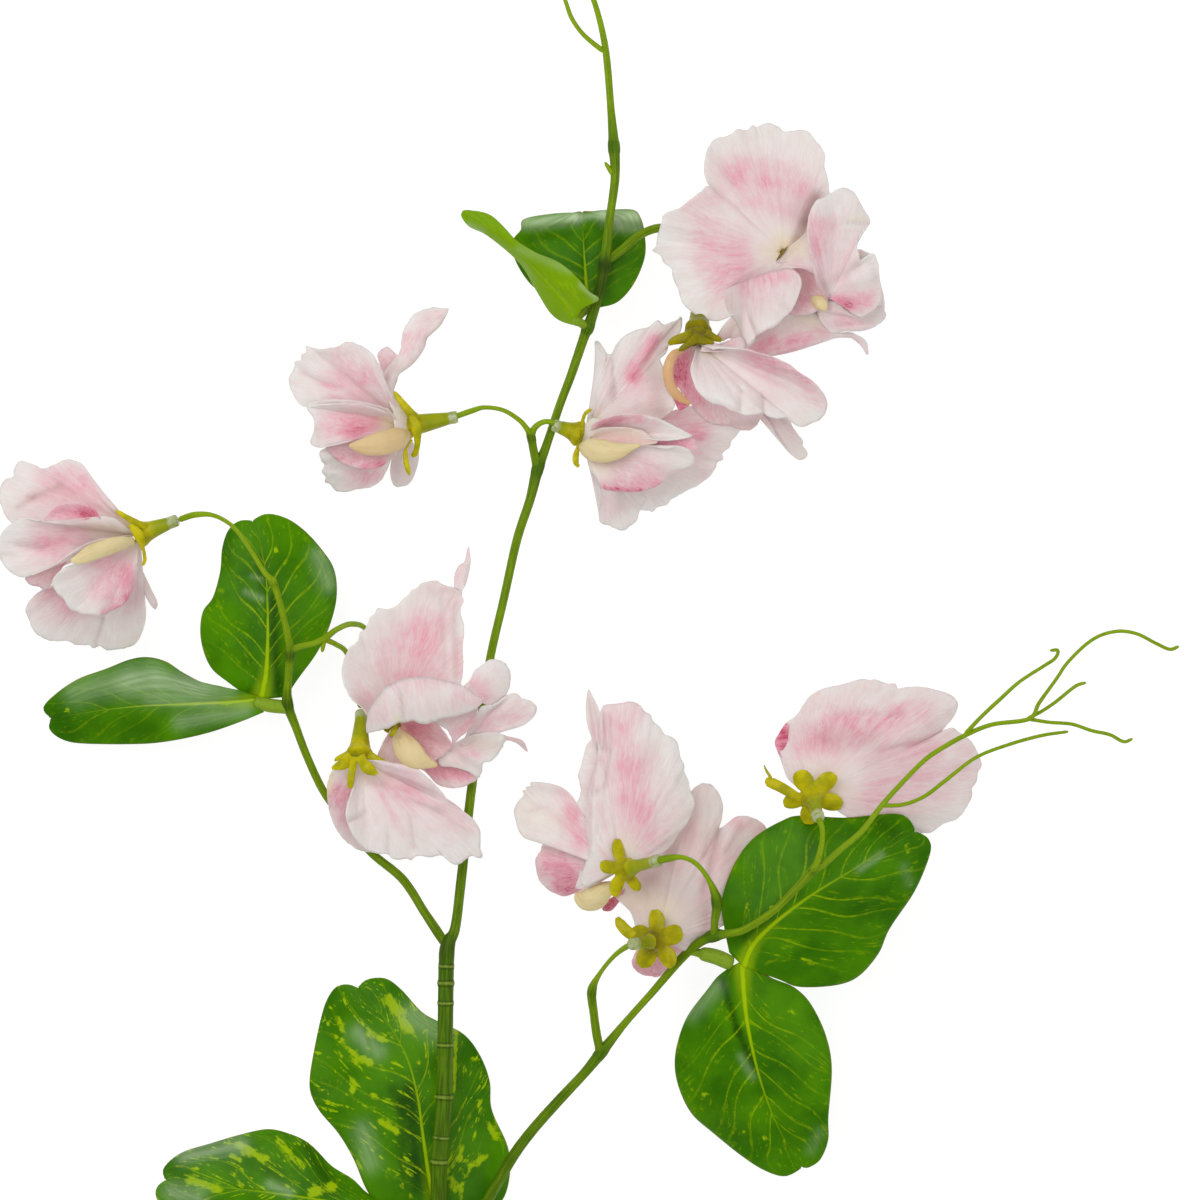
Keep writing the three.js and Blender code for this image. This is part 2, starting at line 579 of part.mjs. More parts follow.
// Each leaf: its petiole, and two leaflets as a rib and the two edges on either side of it.
const LEAVES = {
  leaf_bottom: {
    petiole: [[438, 1236, 4.2, 1.8], [436, 1222, 3.6, 2]],
    leaflets: [
      {
        rib: [[437, 1226, 3.6], [430, 1160, 5], [415, 1100, 5.5], [390, 1040, 4], [358, 988, 2]],
        left: [
          [437, 1226, 3.6], [400, 1218, 3], [369, 1200, 2.5], [353, 1163, 2], [336, 1135, 1.2],
          [313, 1102, -1], [309, 1080, -1.5], [322, 1012, -0.5], [332, 993, 0.8], [358, 988, 2],
        ],
        right: [
          [437, 1226, 3.6], [470, 1218, 3], [500, 1200, 2.5], [510, 1165, 2], [503, 1128, 2],
          [491, 1100, 2], [480, 1061, 2], [462, 1037, 2], [437, 1024, 2.5], [400, 991, 2],
          [381, 981, 1.6], [366, 982, 1.6], [358, 988, 2],
        ],
      },
      {
        rib: [[437, 1228, 3.6], [370, 1212, 5], [300, 1200, 4.5], [230, 1192, 1.8], [162, 1184, -0.4]],
        left: [
          [437, 1228, 3.6], [395, 1212, 3], [367, 1200, 2.5], [353, 1186, 2], [329, 1170, 1.5],
          [308, 1148, 0.4], [287, 1136, -0.6], [266, 1133, -1.4], [240, 1138, -1.8],
          [209, 1148, -1.8], [178, 1158, -1.4], [162, 1172, -0.8], [162, 1184, -0.4],
        ],
        right: [
          [437, 1228, 3.6], [390, 1242, 3], [340, 1252, 1.4], [280, 1254, -0.6], [220, 1246, -1.6],
          [180, 1229, -1.6], [157, 1208, -1], [154, 1194, -0.6], [162, 1184, -0.4],
        ],
      },
    ],
  },
  leaf_left: {
    petiole: [[286, 705, 18, 1.8], [274, 704, 17.5, 2.6], [256, 703, 17.2, 2.6]],
    leaflets: [
      {
        rib: [[266, 702, 17], [262, 650, 18.5], [263, 600, 18], [262, 555, 16], [257, 519, 13]],
        left: [
          [266, 702, 17], [241, 693, 15], [216, 675, 14], [201, 640, 13], [203, 611, 14],
          [216, 592, 15], [221, 560, 14], [225, 537, 12], [238, 523, 12], [257, 519, 13],
        ],
        right: [
          [266, 702, 17], [291, 687, 15.5], [315, 656, 15], [326, 633, 15], [337, 593, 15],
          [334, 567, 14], [308, 534, 12], [285, 518, 12], [268, 514, 12.5], [257, 519, 13],
        ],
      },
      {
        rib: [[266, 705, 17], [210, 706, 18], [150, 705, 15], [95, 709, 10], [45, 722, 5]],
        left: [
          [266, 705, 17], [241, 693, 19], [209, 683, 20], [184, 670, 19], [146, 657, 16],
          [125, 661, 14], [77, 679, 10], [54, 694, 7], [40, 707, 5.5], [45, 722, 5],
        ],
        right: [
          [266, 705, 17], [230, 725, 16], [188, 737, 14], [144, 744, 11], [83, 744, 6.5],
          [58, 740, 4.5], [46, 730, 4], [45, 722, 5],
        ],
      },
    ],
  },
  leaf_right: {
    petiole: [[688, 952, 21.5, 2], [706, 958, 22, 3.4], [728, 962, 23, 3.6], [743, 963, 23, 2]],
    leaflets: [
      {
        rib: [[740, 961, 23], [775, 925, 25.5], [820, 888, 27.5], [865, 855, 27], [908, 826, 24]],
        left: [
          [740, 961, 23], [725, 935, 21.5], [722, 900, 21], [735, 862, 21], [754, 837, 21.5],
          [785, 818, 22.5], [846, 816, 24], [891, 814, 23], [908, 826, 24],
        ],
        right: [
          [740, 961, 23], [762, 972, 22], [799, 985, 19], [834, 985, 17.5], [859, 974, 17.5],
          [880, 950, 18.5], [889, 929, 19.5], [916, 885, 20.5], [930, 848, 21.5],
          [926, 833, 22.5], [908, 826, 24],
        ],
      },
      {
        rib: [[742, 964, 23], [757, 1010, 21], [775, 1070, 16], [790, 1125, 10], [803, 1170, 5]],
        left: [
          [742, 964, 23], [705, 991, 18], [680, 1028, 15], [675, 1064, 12], [681, 1095, 9.5],
          [700, 1125, 7], [735, 1153, 5], [772, 1176, 3.5], [790, 1178, 4], [803, 1170, 5],
        ],
        right: [
          [742, 964, 23], [766, 973, 21], [797, 988, 18], [812, 1006, 16.5], [827, 1039, 14],
          [832, 1069, 12.5], [829, 1118, 8.5], [828, 1151, 5.5], [817, 1167, 4.5], [803, 1170, 5],
        ],
      },
    ],
  },
  leaf_top: {
    petiole: [[586, 327, 20, 1.8], [580, 323, 21, 2], [575, 321, 21.5, 1.8], [588, 309, 17.5, 1.6]],
    leaflets: [
      {
        rib: [
          [576, 323, 21], [566, 303, 23], [545, 280, 24], [515, 250, 24], [485, 226, 22],
          [463, 211, 20],
        ],
        left: [
          [576, 323, 21], [561, 322, 18], [550, 312, 18], [538, 291, 19], [515, 256, 21],
          [487, 234, 20], [468, 225, 19], [463, 211, 20],
        ],
        right: [
          [576, 323, 21], [583, 310, 24], [598, 302, 26], [581, 287, 27], [547, 259, 27],
          [520, 244, 25], [506, 230, 24], [492, 218, 22], [463, 211, 20],
        ],
      },
      {
        rib: [[588, 311, 17], [587, 280, 16], [584, 250, 14.5], [582, 212, 15.5]],
        left: [
          [588, 311, 17], [560, 303, 15], [532, 285, 13], [515, 259, 12], [513, 237, 12],
          [524, 221, 13.5], [550, 212, 15], [582, 212, 15.5],
        ],
        right: [
          [588, 311, 17], [616, 303, 15], [634, 285, 14], [645, 255, 13.5], [644, 230, 14],
          [640, 215, 15.5], [625, 210, 16], [582, 212, 15.5],
        ],
      },
    ],
  },
};

const at = (x, y, z) => new THREE.Vector3((x - DRAWING / 2) * UNIT, (DRAWING / 2 - y) * UNIT, z);

const curveOf = (points) => new THREE.CatmullRomCurve3(points, false, "catmullrom", 0.5);

// A closed indexed surface as a solid.
function solidOf(points, triangles) {
  return new wasm.Manifold(
    new wasm.Mesh({
      numProp: 3,
      vertProperties: new Float32Array(points.flatMap((p) => [p.x, p.y, p.z])),
      triVerts: new Uint32Array(triangles.flat()),
    }),
  );
}

// Rings of points, joined into a closed body with a cap at each end.
function loft(rings) {
  const sides = rings[0].length;
  const points = rings.flat();
  const triangles = [];
  for (let i = 0; i < rings.length - 1; i += 1) {
    for (let j = 0; j < sides; j += 1) {
      const a = i * sides + j;
      const b = i * sides + ((j + 1) % sides);
      triangles.push([a, b, b + sides], [a, b + sides, a + sides]);
    }
  }
  [0, rings.length - 1].forEach((i) => {
    const middle = points.length;
    const centre = new THREE.Vector3();
    rings[i].forEach((p) => centre.addScaledVector(p, 1 / sides));
    points.push(centre);
    for (let j = 0; j < sides; j += 1) {
      const a = i * sides + j;
      const b = i * sides + ((j + 1) % sides);
      triangles.push(i ? [a, b, middle] : [b, a, middle]);
    }
  });
  return solidOf(points, triangles);
}

// A round or flattened rod along a route of [x, y, z, diameter] points.
function rod(route, { sides = 6, step = STEP, flatness = 1, grow = 0 } = {}) {
  const path = curveOf(route.map(([x, y, z]) => at(x, y, z)));
  const last = route.length - 1;
  const stations = [0];
  for (let k = 0; k < last; k += 1) {
    const span = at(...route[k]).distanceTo(at(...route[k + 1]));
    const parts = Math.max(1, Math.round(span / step));
    for (let i = 1; i <= parts; i += 1) stations.push((k + i / parts) / last);
  }
  let side = new THREE.Vector3(0, 0, 1);
  const rings = stations.map((t) => {
    const centre = path.getPoint(t);
    const tangent = path.getTangent(t);
    side = side.addScaledVector(tangent, -side.dot(tangent)).normalize();
    const across = side.clone().cross(tangent);
    const k = Math.min(last - 1, Math.floor(t * last));
    const diameter = THREE.MathUtils.lerp(route[k][3], route[k + 1][3], t * last - k);
    if (t === 0) centre.addScaledVector(tangent, -grow);
    if (t === 1) centre.addScaledVector(tangent, grow);
    return Array.from({ length: sides }, (_, j) => {
      const turn = (2 * Math.PI * (j + 0.5)) / sides;
      return centre
        .clone()
        .addScaledVector(across, Math.cos(turn) * (diameter / 2 + grow))
        .addScaledVector(side, Math.sin(turn) * ((diameter / 2) * flatness + grow));
    });
  });
  return loft(rings);
}

// A thin waved blade: a grid of points given thickness, split into triangles alike on both faces.
function blade(grid, thickness, grow = 0) {
  const rows = grid.length - 1;
  const columns = grid[0].length - 1;
  const half = thickness / 2;
  const middle = grid.map((row) => row.map((p) => p.clone().setZ(Math.max(p.z, half))));
  const step = (i, j, di, dj) => {
    const ahead = middle[Math.min(rows, i + di)][Math.min(columns, j + dj)];
    const behind = middle[Math.max(0, i - di)][Math.max(0, j - dj)];
    return ahead.clone().sub(behind).normalize();
  };
  const front = [];
  const back = [];
  for (let i = 0; i <= rows; i += 1) {
    for (let j = 0; j <= columns; j += 1) {
      const along = step(i, j, 1, 0);
      const across = step(i, j, 0, 1);
      const normal = along.clone().cross(across).normalize();
      const point = middle[i][j].clone();
      if (point.z === half) normal.set(0, 0, Math.sign(normal.z));
      if (i === 0) point.addScaledVector(along, -grow);
      if (i === rows) point.addScaledVector(along, grow);
      if (j === 0) point.addScaledVector(across, -grow);
      if (j === columns) point.addScaledVector(across, grow);
      const face = point.clone().addScaledVector(normal, half + grow);
      const rear = point.clone().addScaledVector(normal, -half - grow);
      [face, rear].forEach((p) => p.setZ(Math.max(p.z, 0)));
      front.push(face);
      back.push(rear);
    }
  }
  const width = columns + 1;
  const count = front.length;
  const triangles = [];
  for (let i = 0; i < rows; i += 1) {
    for (let j = 0; j < columns; j += 1) {
      const a = i * width + j;
      const b = a + width;
      triangles.push([a, b, b + 1], [a, b + 1, a + 1]);
      triangles.push([count + a, count + b + 1, count + b]);
      triangles.push([count + a, count + a + 1, count + b + 1]);
    }
  }
  const wall = (a, b) => triangles.push([a, b, count + b], [a, count + b, count + a]);
  for (let j = 0; j < columns; j += 1) {
    wall(j, j + 1);
    wall(rows * width + j + 1, rows * width + j);
  }
  for (let i = 0; i < rows; i += 1) {
    wall((i + 1) * width, i * width);
    wall(i * width + columns, (i + 1) * width + columns);
  }
  return solidOf([...front, ...back], triangles);
}

// The middle of a bloom's receptacle, just ahead of its throat.
function heartOf({ sleeve, throat }) {
  const forward = at(...throat).sub(at(...sleeve)).normalize();
  return at(...throat).addScaledVector(forward, CORE_AHEAD);
}

// A petal fans out from its claw to its rim, with a ruffle that grows towards the rim.
function petalGrid({ claw, rim, lift = 2, ruffle = 0.7, columns = 5 }, heart) {
  const root = at(...claw).sub(heart).clampLength(0, CLAW_SPREAD).add(heart);
  const edge = curveOf(rim.map((p) => at(...p)));
  const rows = columns > 5 ? 3 : 2;
  return Array.from({ length: rows + 1 }, (_, i) => {
    const reach = CLAW_SHARE + (1 - CLAW_SHARE) * (i / rows);
    return Array.from({ length: columns + 1 }, (__, j) => {
      const along = j / columns;
      const point = root.clone().lerp(edge.getPoint(along), reach);
      const crown = 4 * reach * (1 - reach) * (0.4 + 0.6 * Math.sin(Math.PI * along));
      point.z += lift * crown + ruffle * reach ** 3 * Math.sin((Math.PI / 2) * j);
      return point;
    });
  });
}

// The second petal of a pair, on the side of the bloom away from the viewer.
function twinOf(petal, bloom) {
  const shrink = 0.9;
  const [tx, ty] = bloom.throat;
  const away = ([x, y, z], height) => [
    tx + (x - tx) * shrink,
    ty + (y - ty) * shrink,
    2 * height - z,
  ];
  const rim = petal.rim.map((p) => away(p, bloom.twinHeight)).reverse();
  return { ...petal, claw: away(petal.claw, heartOf(bloom).z), rim, lift: -(petal.lift ?? 2) };
}

// A leaflet spreads from its rib to its two edges, dished a little on each side of the rib.
function leafletGrid({ rib, left, right }) {
  const rows = 8;
  const spread = [-1, -0.5, 0, 0.5, 1];
  const dish = 0.7;
  const curves = [rib, left, right].map((points) => curveOf(points.map((p) => at(...p))));
  const [middle, port, starboard] = curves;
  return Array.from({ length: rows + 1 }, (_, i) => {
    const along = THREE.MathUtils.lerp(0.02, 0.985, i / rows);
    const centre = middle.getPoint(along);
    return spread.map((s) => {
      const edge = (s < 0 ? port : starboard).getPoint(along);
      const point = centre.clone().lerp(edge, Math.abs(s));
      point.z += dish * 4 * Math.abs(s) * (1 - Math.abs(s));
      return point;
    });
  });
}

// A calyx: a tube from the sleeve that flares to a cup with five sepals, hollowed at the throat.
function calyx({ sleeve, throat, splay }, grow = 0) {
  const segments = SEPALS * 2;
  const foot = at(...sleeve);
  const axis = at(...throat).sub(foot);
  const length = axis.length();
  axis.normalize();
  foot.addScaledVector(axis, GAP - grow);
  const side = new THREE.Vector3(0, 0, 1).cross(axis);
  if (side.length() < 0.2) side.set(1, 0, 0);
  side.addScaledVector(axis, -side.dot(axis)).normalize();
  const other = axis.clone().cross(side);
  const lean = THREE.MathUtils.degToRad(splay);
  const [ahead, out] = [Math.cos(lean), Math.sin(lean)];
  const tip = SEPAL_LENGTH + grow;
  const inside = SEPAL_THICKNESS * 0.6 + grow;
  const profile = (q) => [
    [0, TUBE_RADIUS + grow],
    [length * 0.6, TUBE_RADIUS * 1.1 + grow],
    [length - grow * out, CUP_RADIUS + grow],
    [length + ahead * tip * q - out * grow, CUP_RADIUS + out * tip * q + ahead * grow],
    [length + ahead * tip * q + out * inside, CUP_RADIUS + out * tip * q - ahead * inside],
    [length + 0.3 + out * inside, CUP_RADIUS - 0.2 - ahead * inside],
    [length - 1 + grow, 0.7],
  ];
  const rings = profile(0).map((_, r) =>
    Array.from({ length: segments }, (__, j) => {
      const turn = (2 * Math.PI * j) / segments;
      const [s, radius] = profile(Math.abs(Math.cos((SEPALS / 2) * turn)) ** 0.8)[r];
      return foot
        .clone()
        .addScaledVector(axis, s)
        .addScaledVector(side, Math.cos(turn) * radius)
        .addScaledVector(other, Math.sin(turn) * radius);
    }),
  );
  return loft(rings);
}

const join = (solids) => solids.reduce((whole, next) => whole.add(next));
const cut = (solid, tools) => tools.reduce((whole, tool) => whole.subtract(tool), solid);

// The one connected body, without the loose scraps that a cut may leave.
function largestBody(solid) {
  return solid.decompose().sort((a, b) => b.volume() - a.volume())[0];
}

// The edges that more than two faces share, as pairs of corners.
function crowdedEdges(faces) {
  const uses = new Map();
  faces.flatMap(([a, b, c]) => [[a, b], [b, c], [c, a]]).forEach((edge) => {
    const key = edge.sort((p, q) => p - q).join();
    uses.set(key, (uses.get(key) ?? 0) + 1);
  });
  return [...uses].filter(([, count]) => count > 2).map(([key]) => key.split(",").map(Number));
}

// A geometry's surface as a solid: corners that lie together are merged, and an edge where the
// surface touches itself is drawn together to one corner.
function weld(geometry) {
  const bare = new THREE.BufferGeometry().setAttribute("position", geometry.getAttribute("position"));
  const merged = mergeVertices(bare.setIndex(geometry.index), MERGE);
  const corners = merged.index.array;
  let faces = Array.from({ length: corners.length / 3 }, (_, i) => [...corners.slice(i * 3, i * 3 + 3)]);
  for (let [edge] = crowdedEdges(faces); edge; [edge] = crowdedEdges(faces)) {
    faces = faces
      .map((face) => face.map((corner) => (corner === edge[1] ? edge[0] : corner)))
      .filter((face) => new Set(face).size === 3);
  }
  const vertProperties = merged.getAttribute("position").array;
  return new wasm.Manifold(new wasm.Mesh({ numProp: 3, vertProperties, triVerts: new Uint32Array(faces.flat()) }));
}

function geometryOf(solid) {
  const { numProp, vertProperties, triVerts } = solid.getMesh();
  const position = new THREE.BufferAttribute(new Float32Array(vertProperties), numProp);
  const geometry = new THREE.BufferGeometry().setAttribute("position", position);
  return geometry.setIndex(new THREE.BufferAttribute(new Uint32Array(triVerts), 1));
}

// The receptacle at the heart of a bloom: a faceted ball.
function core(bloom, grow = 0) {
  const ball = new THREE.IcosahedronGeometry(CORE_RADIUS + grow, 0);
  const heart = heartOf(bloom);
  return weld(ball.translate(heart.x, heart.y, heart.z));
}

function petalSolid(bloom, grow = 0) {
  const heart = heartOf(bloom);
  const petals = bloom.petals.flatMap((p) => (p.twin ? [p, twinOf(p, bloom)] : [p]));
  const blades = petals.map((p) => blade(petalGrid(p, heart), PETAL_THICKNESS, grow));
  return join([core(bloom, grow), ...blades]);
}

function keelSolid(bloom, grow = 0) {
  const whole = rod(bloom.keel, { sides: 6, step: 4, flatness: KEEL_FLATNESS, grow });
  return whole.subtract(core(bloom, GAP));
}

function leafSolid({ petiole, leaflets }) {
  return join([rod(petiole), ...leaflets.map((l) => blade(leafletGrid(l), LEAF_THICKNESS))]);
}

function stemSolid(routes, grow = 0) {
  const thick = 1.3;
  const sidesOf = (route) => (route[0][3] > thick ? 5 : 4);
  return join(Object.values(routes).map((route) => rod(route, { sides: sidesOf(route), grow })));
}

function addPiece(name, solid, material) {
  const geometry = geometryOf(largestBody(weld(geometryOf(solid))));
  geometry.computeVertexNormals();
  const mesh = new THREE.Mesh(geometry, material);
  mesh.name = name;
  spray.add(mesh);
}

// Each piece is cut clear of those made before it, by the same shapes grown by the gap.
const spray = new THREE.Group();
const blooms = Object.entries(BLOOMS);
const calyces = blooms.map(([, bloom]) => calyx(bloom));
const calyxRoom = blooms.map(([, bloom]) => calyx(bloom, GAP));
const mainRoom = stemSolid(MAIN_STEM, GAP);
const stemRoom = [mainRoom, stemSolid(LEFT_BRANCH, GAP), stemSolid(RIGHT_BRANCH, GAP)];
addPiece("main_stem", cut(stemSolid(MAIN_STEM), calyxRoom), GREEN_STEM);
addPiece("left_branch", cut(stemSolid(LEFT_BRANCH), [mainRoom, ...calyxRoom]), GREEN_STEM);
addPiece("right_branch", cut(stemSolid(RIGHT_BRANCH), [mainRoom, ...calyxRoom]), GREEN_STEM);

const bloomRoom = [];
blooms.forEach(([name, bloom], i) => {
  const around = [...calyxRoom, ...calyces, ...stemRoom, ...bloomRoom];
  addPiece(`${name}_calyx`, calyces[i], OLIVE_CALYX);
  addPiece(`${name}_petals`, cut(petalSolid(bloom), [keelSolid(bloom, GAP), ...around]), PINK_PETAL);
  addPiece(`${name}_keel`, cut(keelSolid(bloom), [...calyxRoom, ...stemRoom]), CREAM_KEEL);
  bloomRoom.push(petalSolid(bloom, GAP), keelSolid(bloom, GAP));
});
Object.entries(LEAVES).forEach(([name, leaf]) => {
  addPiece(name, cut(leafSolid(leaf), [...stemRoom, ...calyxRoom, ...bloomRoom]), GREEN_LEAF);
});

// The origin is at the middle of the spray's box, on the surface that it lies on.
const box = new THREE.Box3().setFromObject(spray);
const middle = box.getCenter(new THREE.Vector3());
spray.position.set(-middle.x, -middle.y, -box.min.z);
const group = new THREE.Group().add(spray);

export default group;
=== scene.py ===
"""A cut spray of sweet pea lying on a pale surface, seen from straight above.

The drawing of the spray is 1200 units wide and high, x to the right and y down, with heights in
millimetres. One unit is 0.225 mm. Every piece is built in place, in metres.
"""
import logging
import math
from dataclasses import dataclass, field
from enum import Enum
from functools import partial
from typing import Any, Iterable, Sequence

import bmesh
import bpy
import numpy as np
from mathutils import Matrix, Vector


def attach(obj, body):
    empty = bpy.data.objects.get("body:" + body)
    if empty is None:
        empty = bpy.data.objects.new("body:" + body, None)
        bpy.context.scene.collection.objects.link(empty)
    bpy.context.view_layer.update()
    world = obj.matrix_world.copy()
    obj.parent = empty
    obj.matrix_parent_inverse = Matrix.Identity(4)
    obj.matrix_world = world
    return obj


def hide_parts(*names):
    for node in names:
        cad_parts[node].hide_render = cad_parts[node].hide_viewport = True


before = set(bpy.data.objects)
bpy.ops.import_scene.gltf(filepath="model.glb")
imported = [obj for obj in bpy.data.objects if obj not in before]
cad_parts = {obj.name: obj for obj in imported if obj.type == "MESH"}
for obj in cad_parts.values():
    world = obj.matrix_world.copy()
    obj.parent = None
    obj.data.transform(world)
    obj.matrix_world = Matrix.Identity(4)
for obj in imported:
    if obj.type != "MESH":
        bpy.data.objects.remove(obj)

log = logging.getLogger("spray")

Point = tuple[float, ...]
Points = tuple[Point, ...]
Colour = tuple[float, float, float]
Array = np.ndarray

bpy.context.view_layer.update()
UNIT = 0.225  # millimetres for one unit of the drawing
CENTRE = (600.0, 600.0)  # middle of the drawing
CENTRE_AT = (2.670, 8.506)  # where that middle lies in the part, in millimetres
PICTURE_SIDE = 270.0  # millimetres across the picture
MM = 0.001
TURN = 2 * math.pi
UP = (0.0, 0.0, 1.0)

# Curves and waves.
SAMPLES = 24  # for each control point of a curve
FINE_STEP = 0.2  # millimetres
SPREADS = (0.83, 1.0, 1.27)  # of the wavelengths that are mixed
WAVE_GAIN = 1.7

# Sheets, in millimetres.
PETAL_THICKNESS = 0.34
LEAF_THICKNESS = 0.55
RIM_LEFT = 0.55  # share of the thickness at a sheet's rim
CLEARANCE = 0.02  # between a sheet and the surface it lies on

# Petals, in millimetres; the waves are wavelengths along the rim.
RIM_STEP = 0.64  # between the columns of a petal's grid
ROW_STEP = 0.9  # between its rows
FEWEST_ROWS = 10
EASED_REACH = 10  # rim points over which notches are smoothed away
CORE_AHEAD = 2.4  # from a bloom's throat to the middle of its receptacle
MOUTH_AHEAD = 0.5  # the same, where the sepals are laid one by one
CLAW_SPREAD = 1.5  # from that middle to a claw, at most
CLAW_SHARE = 0.03  # a claw's width as a share of the rim's
ROOT_SHARE = 0.015  # the same, for a petal that fans out from a point
FLUSH_SOFTNESS = 1.3  # flushes are laid this much wider and weaker
EVEN_FLUSH = 0.2  # on every petal, fading towards the rim
FRILL_WAVES = (4.6, 2.3, 1.6)
RUFFLE_WAVES = (15.0, 9.0)
RIPPLE_WAVES = (5.2, 3.4)
CREASE_WAVES = (9.0, 5.1)
BLUSH_WAVES = (13.0, 7.0)
RIPPLE_SHARE = 0.45  # of the ruffle's height
CREASE_HEIGHT = 0.1
FRILL_ONSET = 6  # the higher, the nearer to the rim a wave sets in
RUFFLE_ONSET = 3.2
RIPPLE_ONSET = 7
ROW_CROWDING = 1.1  # over 1, a petal's rows crowd towards the rim
ROLL_REACH = 0.16  # share of a flap that its rolled edge takes up
HEEL_CREAM = 0.6  # cream at a claw,
HEEL_REACH = 0.13  # as far as this share of the petal
TWIN_SIZE = 0.9

# Keels.
KEEL_STEP = 0.45  # millimetres between rings
KEEL_SIDES = 28
KEEL_FLATNESS = 0.62  # height as a share of width
SEAM_HEIGHT = 0.16  # as a share of the keel's radius
SEAM_WIDTH = 0.3  # radians
KEEL_WRAP = 6.28  # radians for one width of the pattern

# Calyces, in millimetres.
CUP_STEP = 0.35
CUP_SIDES = 40
CUP_RIB = 0.05  # height of its five ribs, as a share of its radius
LOBE_RINGS = 22
LOBE_SIDES = 20
LAID_STEP = 0.3  # between the rings of a sepal that is laid on the drawing
LAID_SIDES = 16
LAID_FLATNESS = 0.4
LAID_CORE = 0.2

# Stems, in millimetres.
JOINT_LENGTH = 0.8  # a shorter knot is a pale joint ring
YOUNG_BELOW = 2.7  # a thinner stem turns yellow-green,
YOUNG_OVER = 1.5  # fully so when it is this much thinner
END_TAPER = ((0, 0.45), (1, 0.86), (-1, 0.45), (-2, 0.86))  # points at a stem's ends and their share of its width

# Leaf blades.
BLADE_ROWS = 78
BLADE_HALF = 30  # columns from the rib to an edge
LEAF_WAVES = (12.0, 7.0)
DASHES = 6.0  # fleck streaks from one vein to the next
DISH = 0.7  # millimetres that each half is arched,
DISH_FROM = 14.0  # where it is at least this wide
VEIN_DEPTH = 0.14
VEIN_WIDTH = 0.4
RIB_DEPTH = 0.3
LEAF_WAVE = 0.35  # height of the waves at the edge


class Slot(Enum):
    """The material slots."""

    STEM = "stem_green"
    LEAF = "leaf_green"
    CALYX = "calyx_olive"
    PETAL = "petal_pink"
    KEEL = "keel_cream"


def srgb(code: str) -> Colour:
    """Turn a hex colour into linear light.

    Args:
        code: six hex digits.

    Returns:
        Red, green and blue from 0 to 1.
    """
    parts = [int(code[i : i + 2], 16) / 255 for i in (0, 2, 4)]
    return tuple(c / 12.92 if c <= 0.04045 else ((c + 0.055) / 1.055) ** 2.4 for c in parts)


def place(points: Iterable[Sequence[float]]) -> Array:
    """Turn points of the drawing into millimetres of the part.

    Args:
        points: rows of x, y and z, with further values ignored.

    Returns:
        An array of x, y and z rows.
    """
    p = np.array([q[:3] for q in points], dtype=float)
    out = p.copy()
    out[:, 0] = (p[:, 0] - CENTRE[0]) * UNIT + CENTRE_AT[0]
    out[:, 1] = (CENTRE[1] - p[:, 1]) * UNIT + CENTRE_AT[1]
    return out


def unplace(points: Array) -> tuple[Array, Array]:
    """Give the drawing's x and y of points in millimetres of the part.

    Args:
        points: an array whose last axis is x, y, z.

    Returns:
        The arrays of x and of y.
    """
    x = (points[..., 0] - CENTRE_AT[0]) / UNIT + CENTRE[0]
    y = CENTRE[1] - (points[..., 1] - CENTRE_AT[1]) / UNIT
    return x, y


def spline(points: Array, t: Array) -> Array:
    """Sample a uniform Catmull-Rom curve.

    Args:
        points: control points, one row each.
        t: places along it from 0 to 1.

    Returns:
        One row for each value of t.
    """
    ends = np.vstack([2 * points[0] - points[1], points, 2 * points[-1] - points[-2]])
    s = np.clip(t, 0, 1) * (len(points) - 1)
    k = np.minimum(s.astype(int), len(points) - 2)
    w = (s - k)[:, None]
    p0, p1, p2, p3 = (ends[k + i] for i in range(4))
    m1, m2 = (p2 - p0) / 2, (p3 - p1) / 2
    cubic = 2 * p1 - 2 * p2 + m1 + m2
    square = 3 * p2 - 3 * p1 - 2 * m1 - m2
    return ((cubic * w + square) * w + m1) * w + p1


def travelled(points: Array) -> Array:
    """Measure a line.

    Args:
        points: rows that start with x, y and z.

    Returns:
        The length from the first row to each row.
    """
    return np.concatenate([[0], np.cumsum(np.linalg.norm(np.diff(points[:, :3], axis=0), axis=1))])


def even(points: Array, spacing: float) -> Array:
    """Resample a curve at an even spacing along its length.

    Args:
        points: control points; columns past the third are carried along.
        spacing: the wanted step, in the points' units.

    Returns:
        The rows of the resampled curve.
    """
    fine = spline(points, np.linspace(0, 1, SAMPLES * len(points)))
    run = travelled(fine)
    count = max(4, int(round(run[-1] / spacing)))
    want = np.linspace(0, run[-1], count + 1)
    return np.stack([np.interp(want, run, fine[:, c]) for c in range(fine.shape[1])], axis=1)


def paced(points: Array, t: Array) -> Array:
    """Sample a curve at shares of its length.

    Args:
        points: control points, one row each.
        t: shares from 0 to 1.

    Returns:
        One row for each share.
    """
    fine = even(points, FINE_STEP)
    return np.stack([np.interp(t, np.linspace(0, 1, len(fine)), fine[:, c]) for c in range(3)], axis=1)


def routed(route: Points, spacing: float) -> Array:
    """Lay a route out evenly in the part.

    Args:
        route: rows of x, y, z and width.
        spacing: the wanted step in millimetres.

    Returns:
        Rows of x, y, z and width in millimetres.
    """
    return even(np.column_stack([place(route), [p[3] for p in route]]), spacing)


def tangents(line: Array) -> Array:
    """Give the unit directions along a line of points."""
    along = np.gradient(line[:, :3], axis=0)
    return along / np.linalg.norm(along, axis=1, keepdims=True)


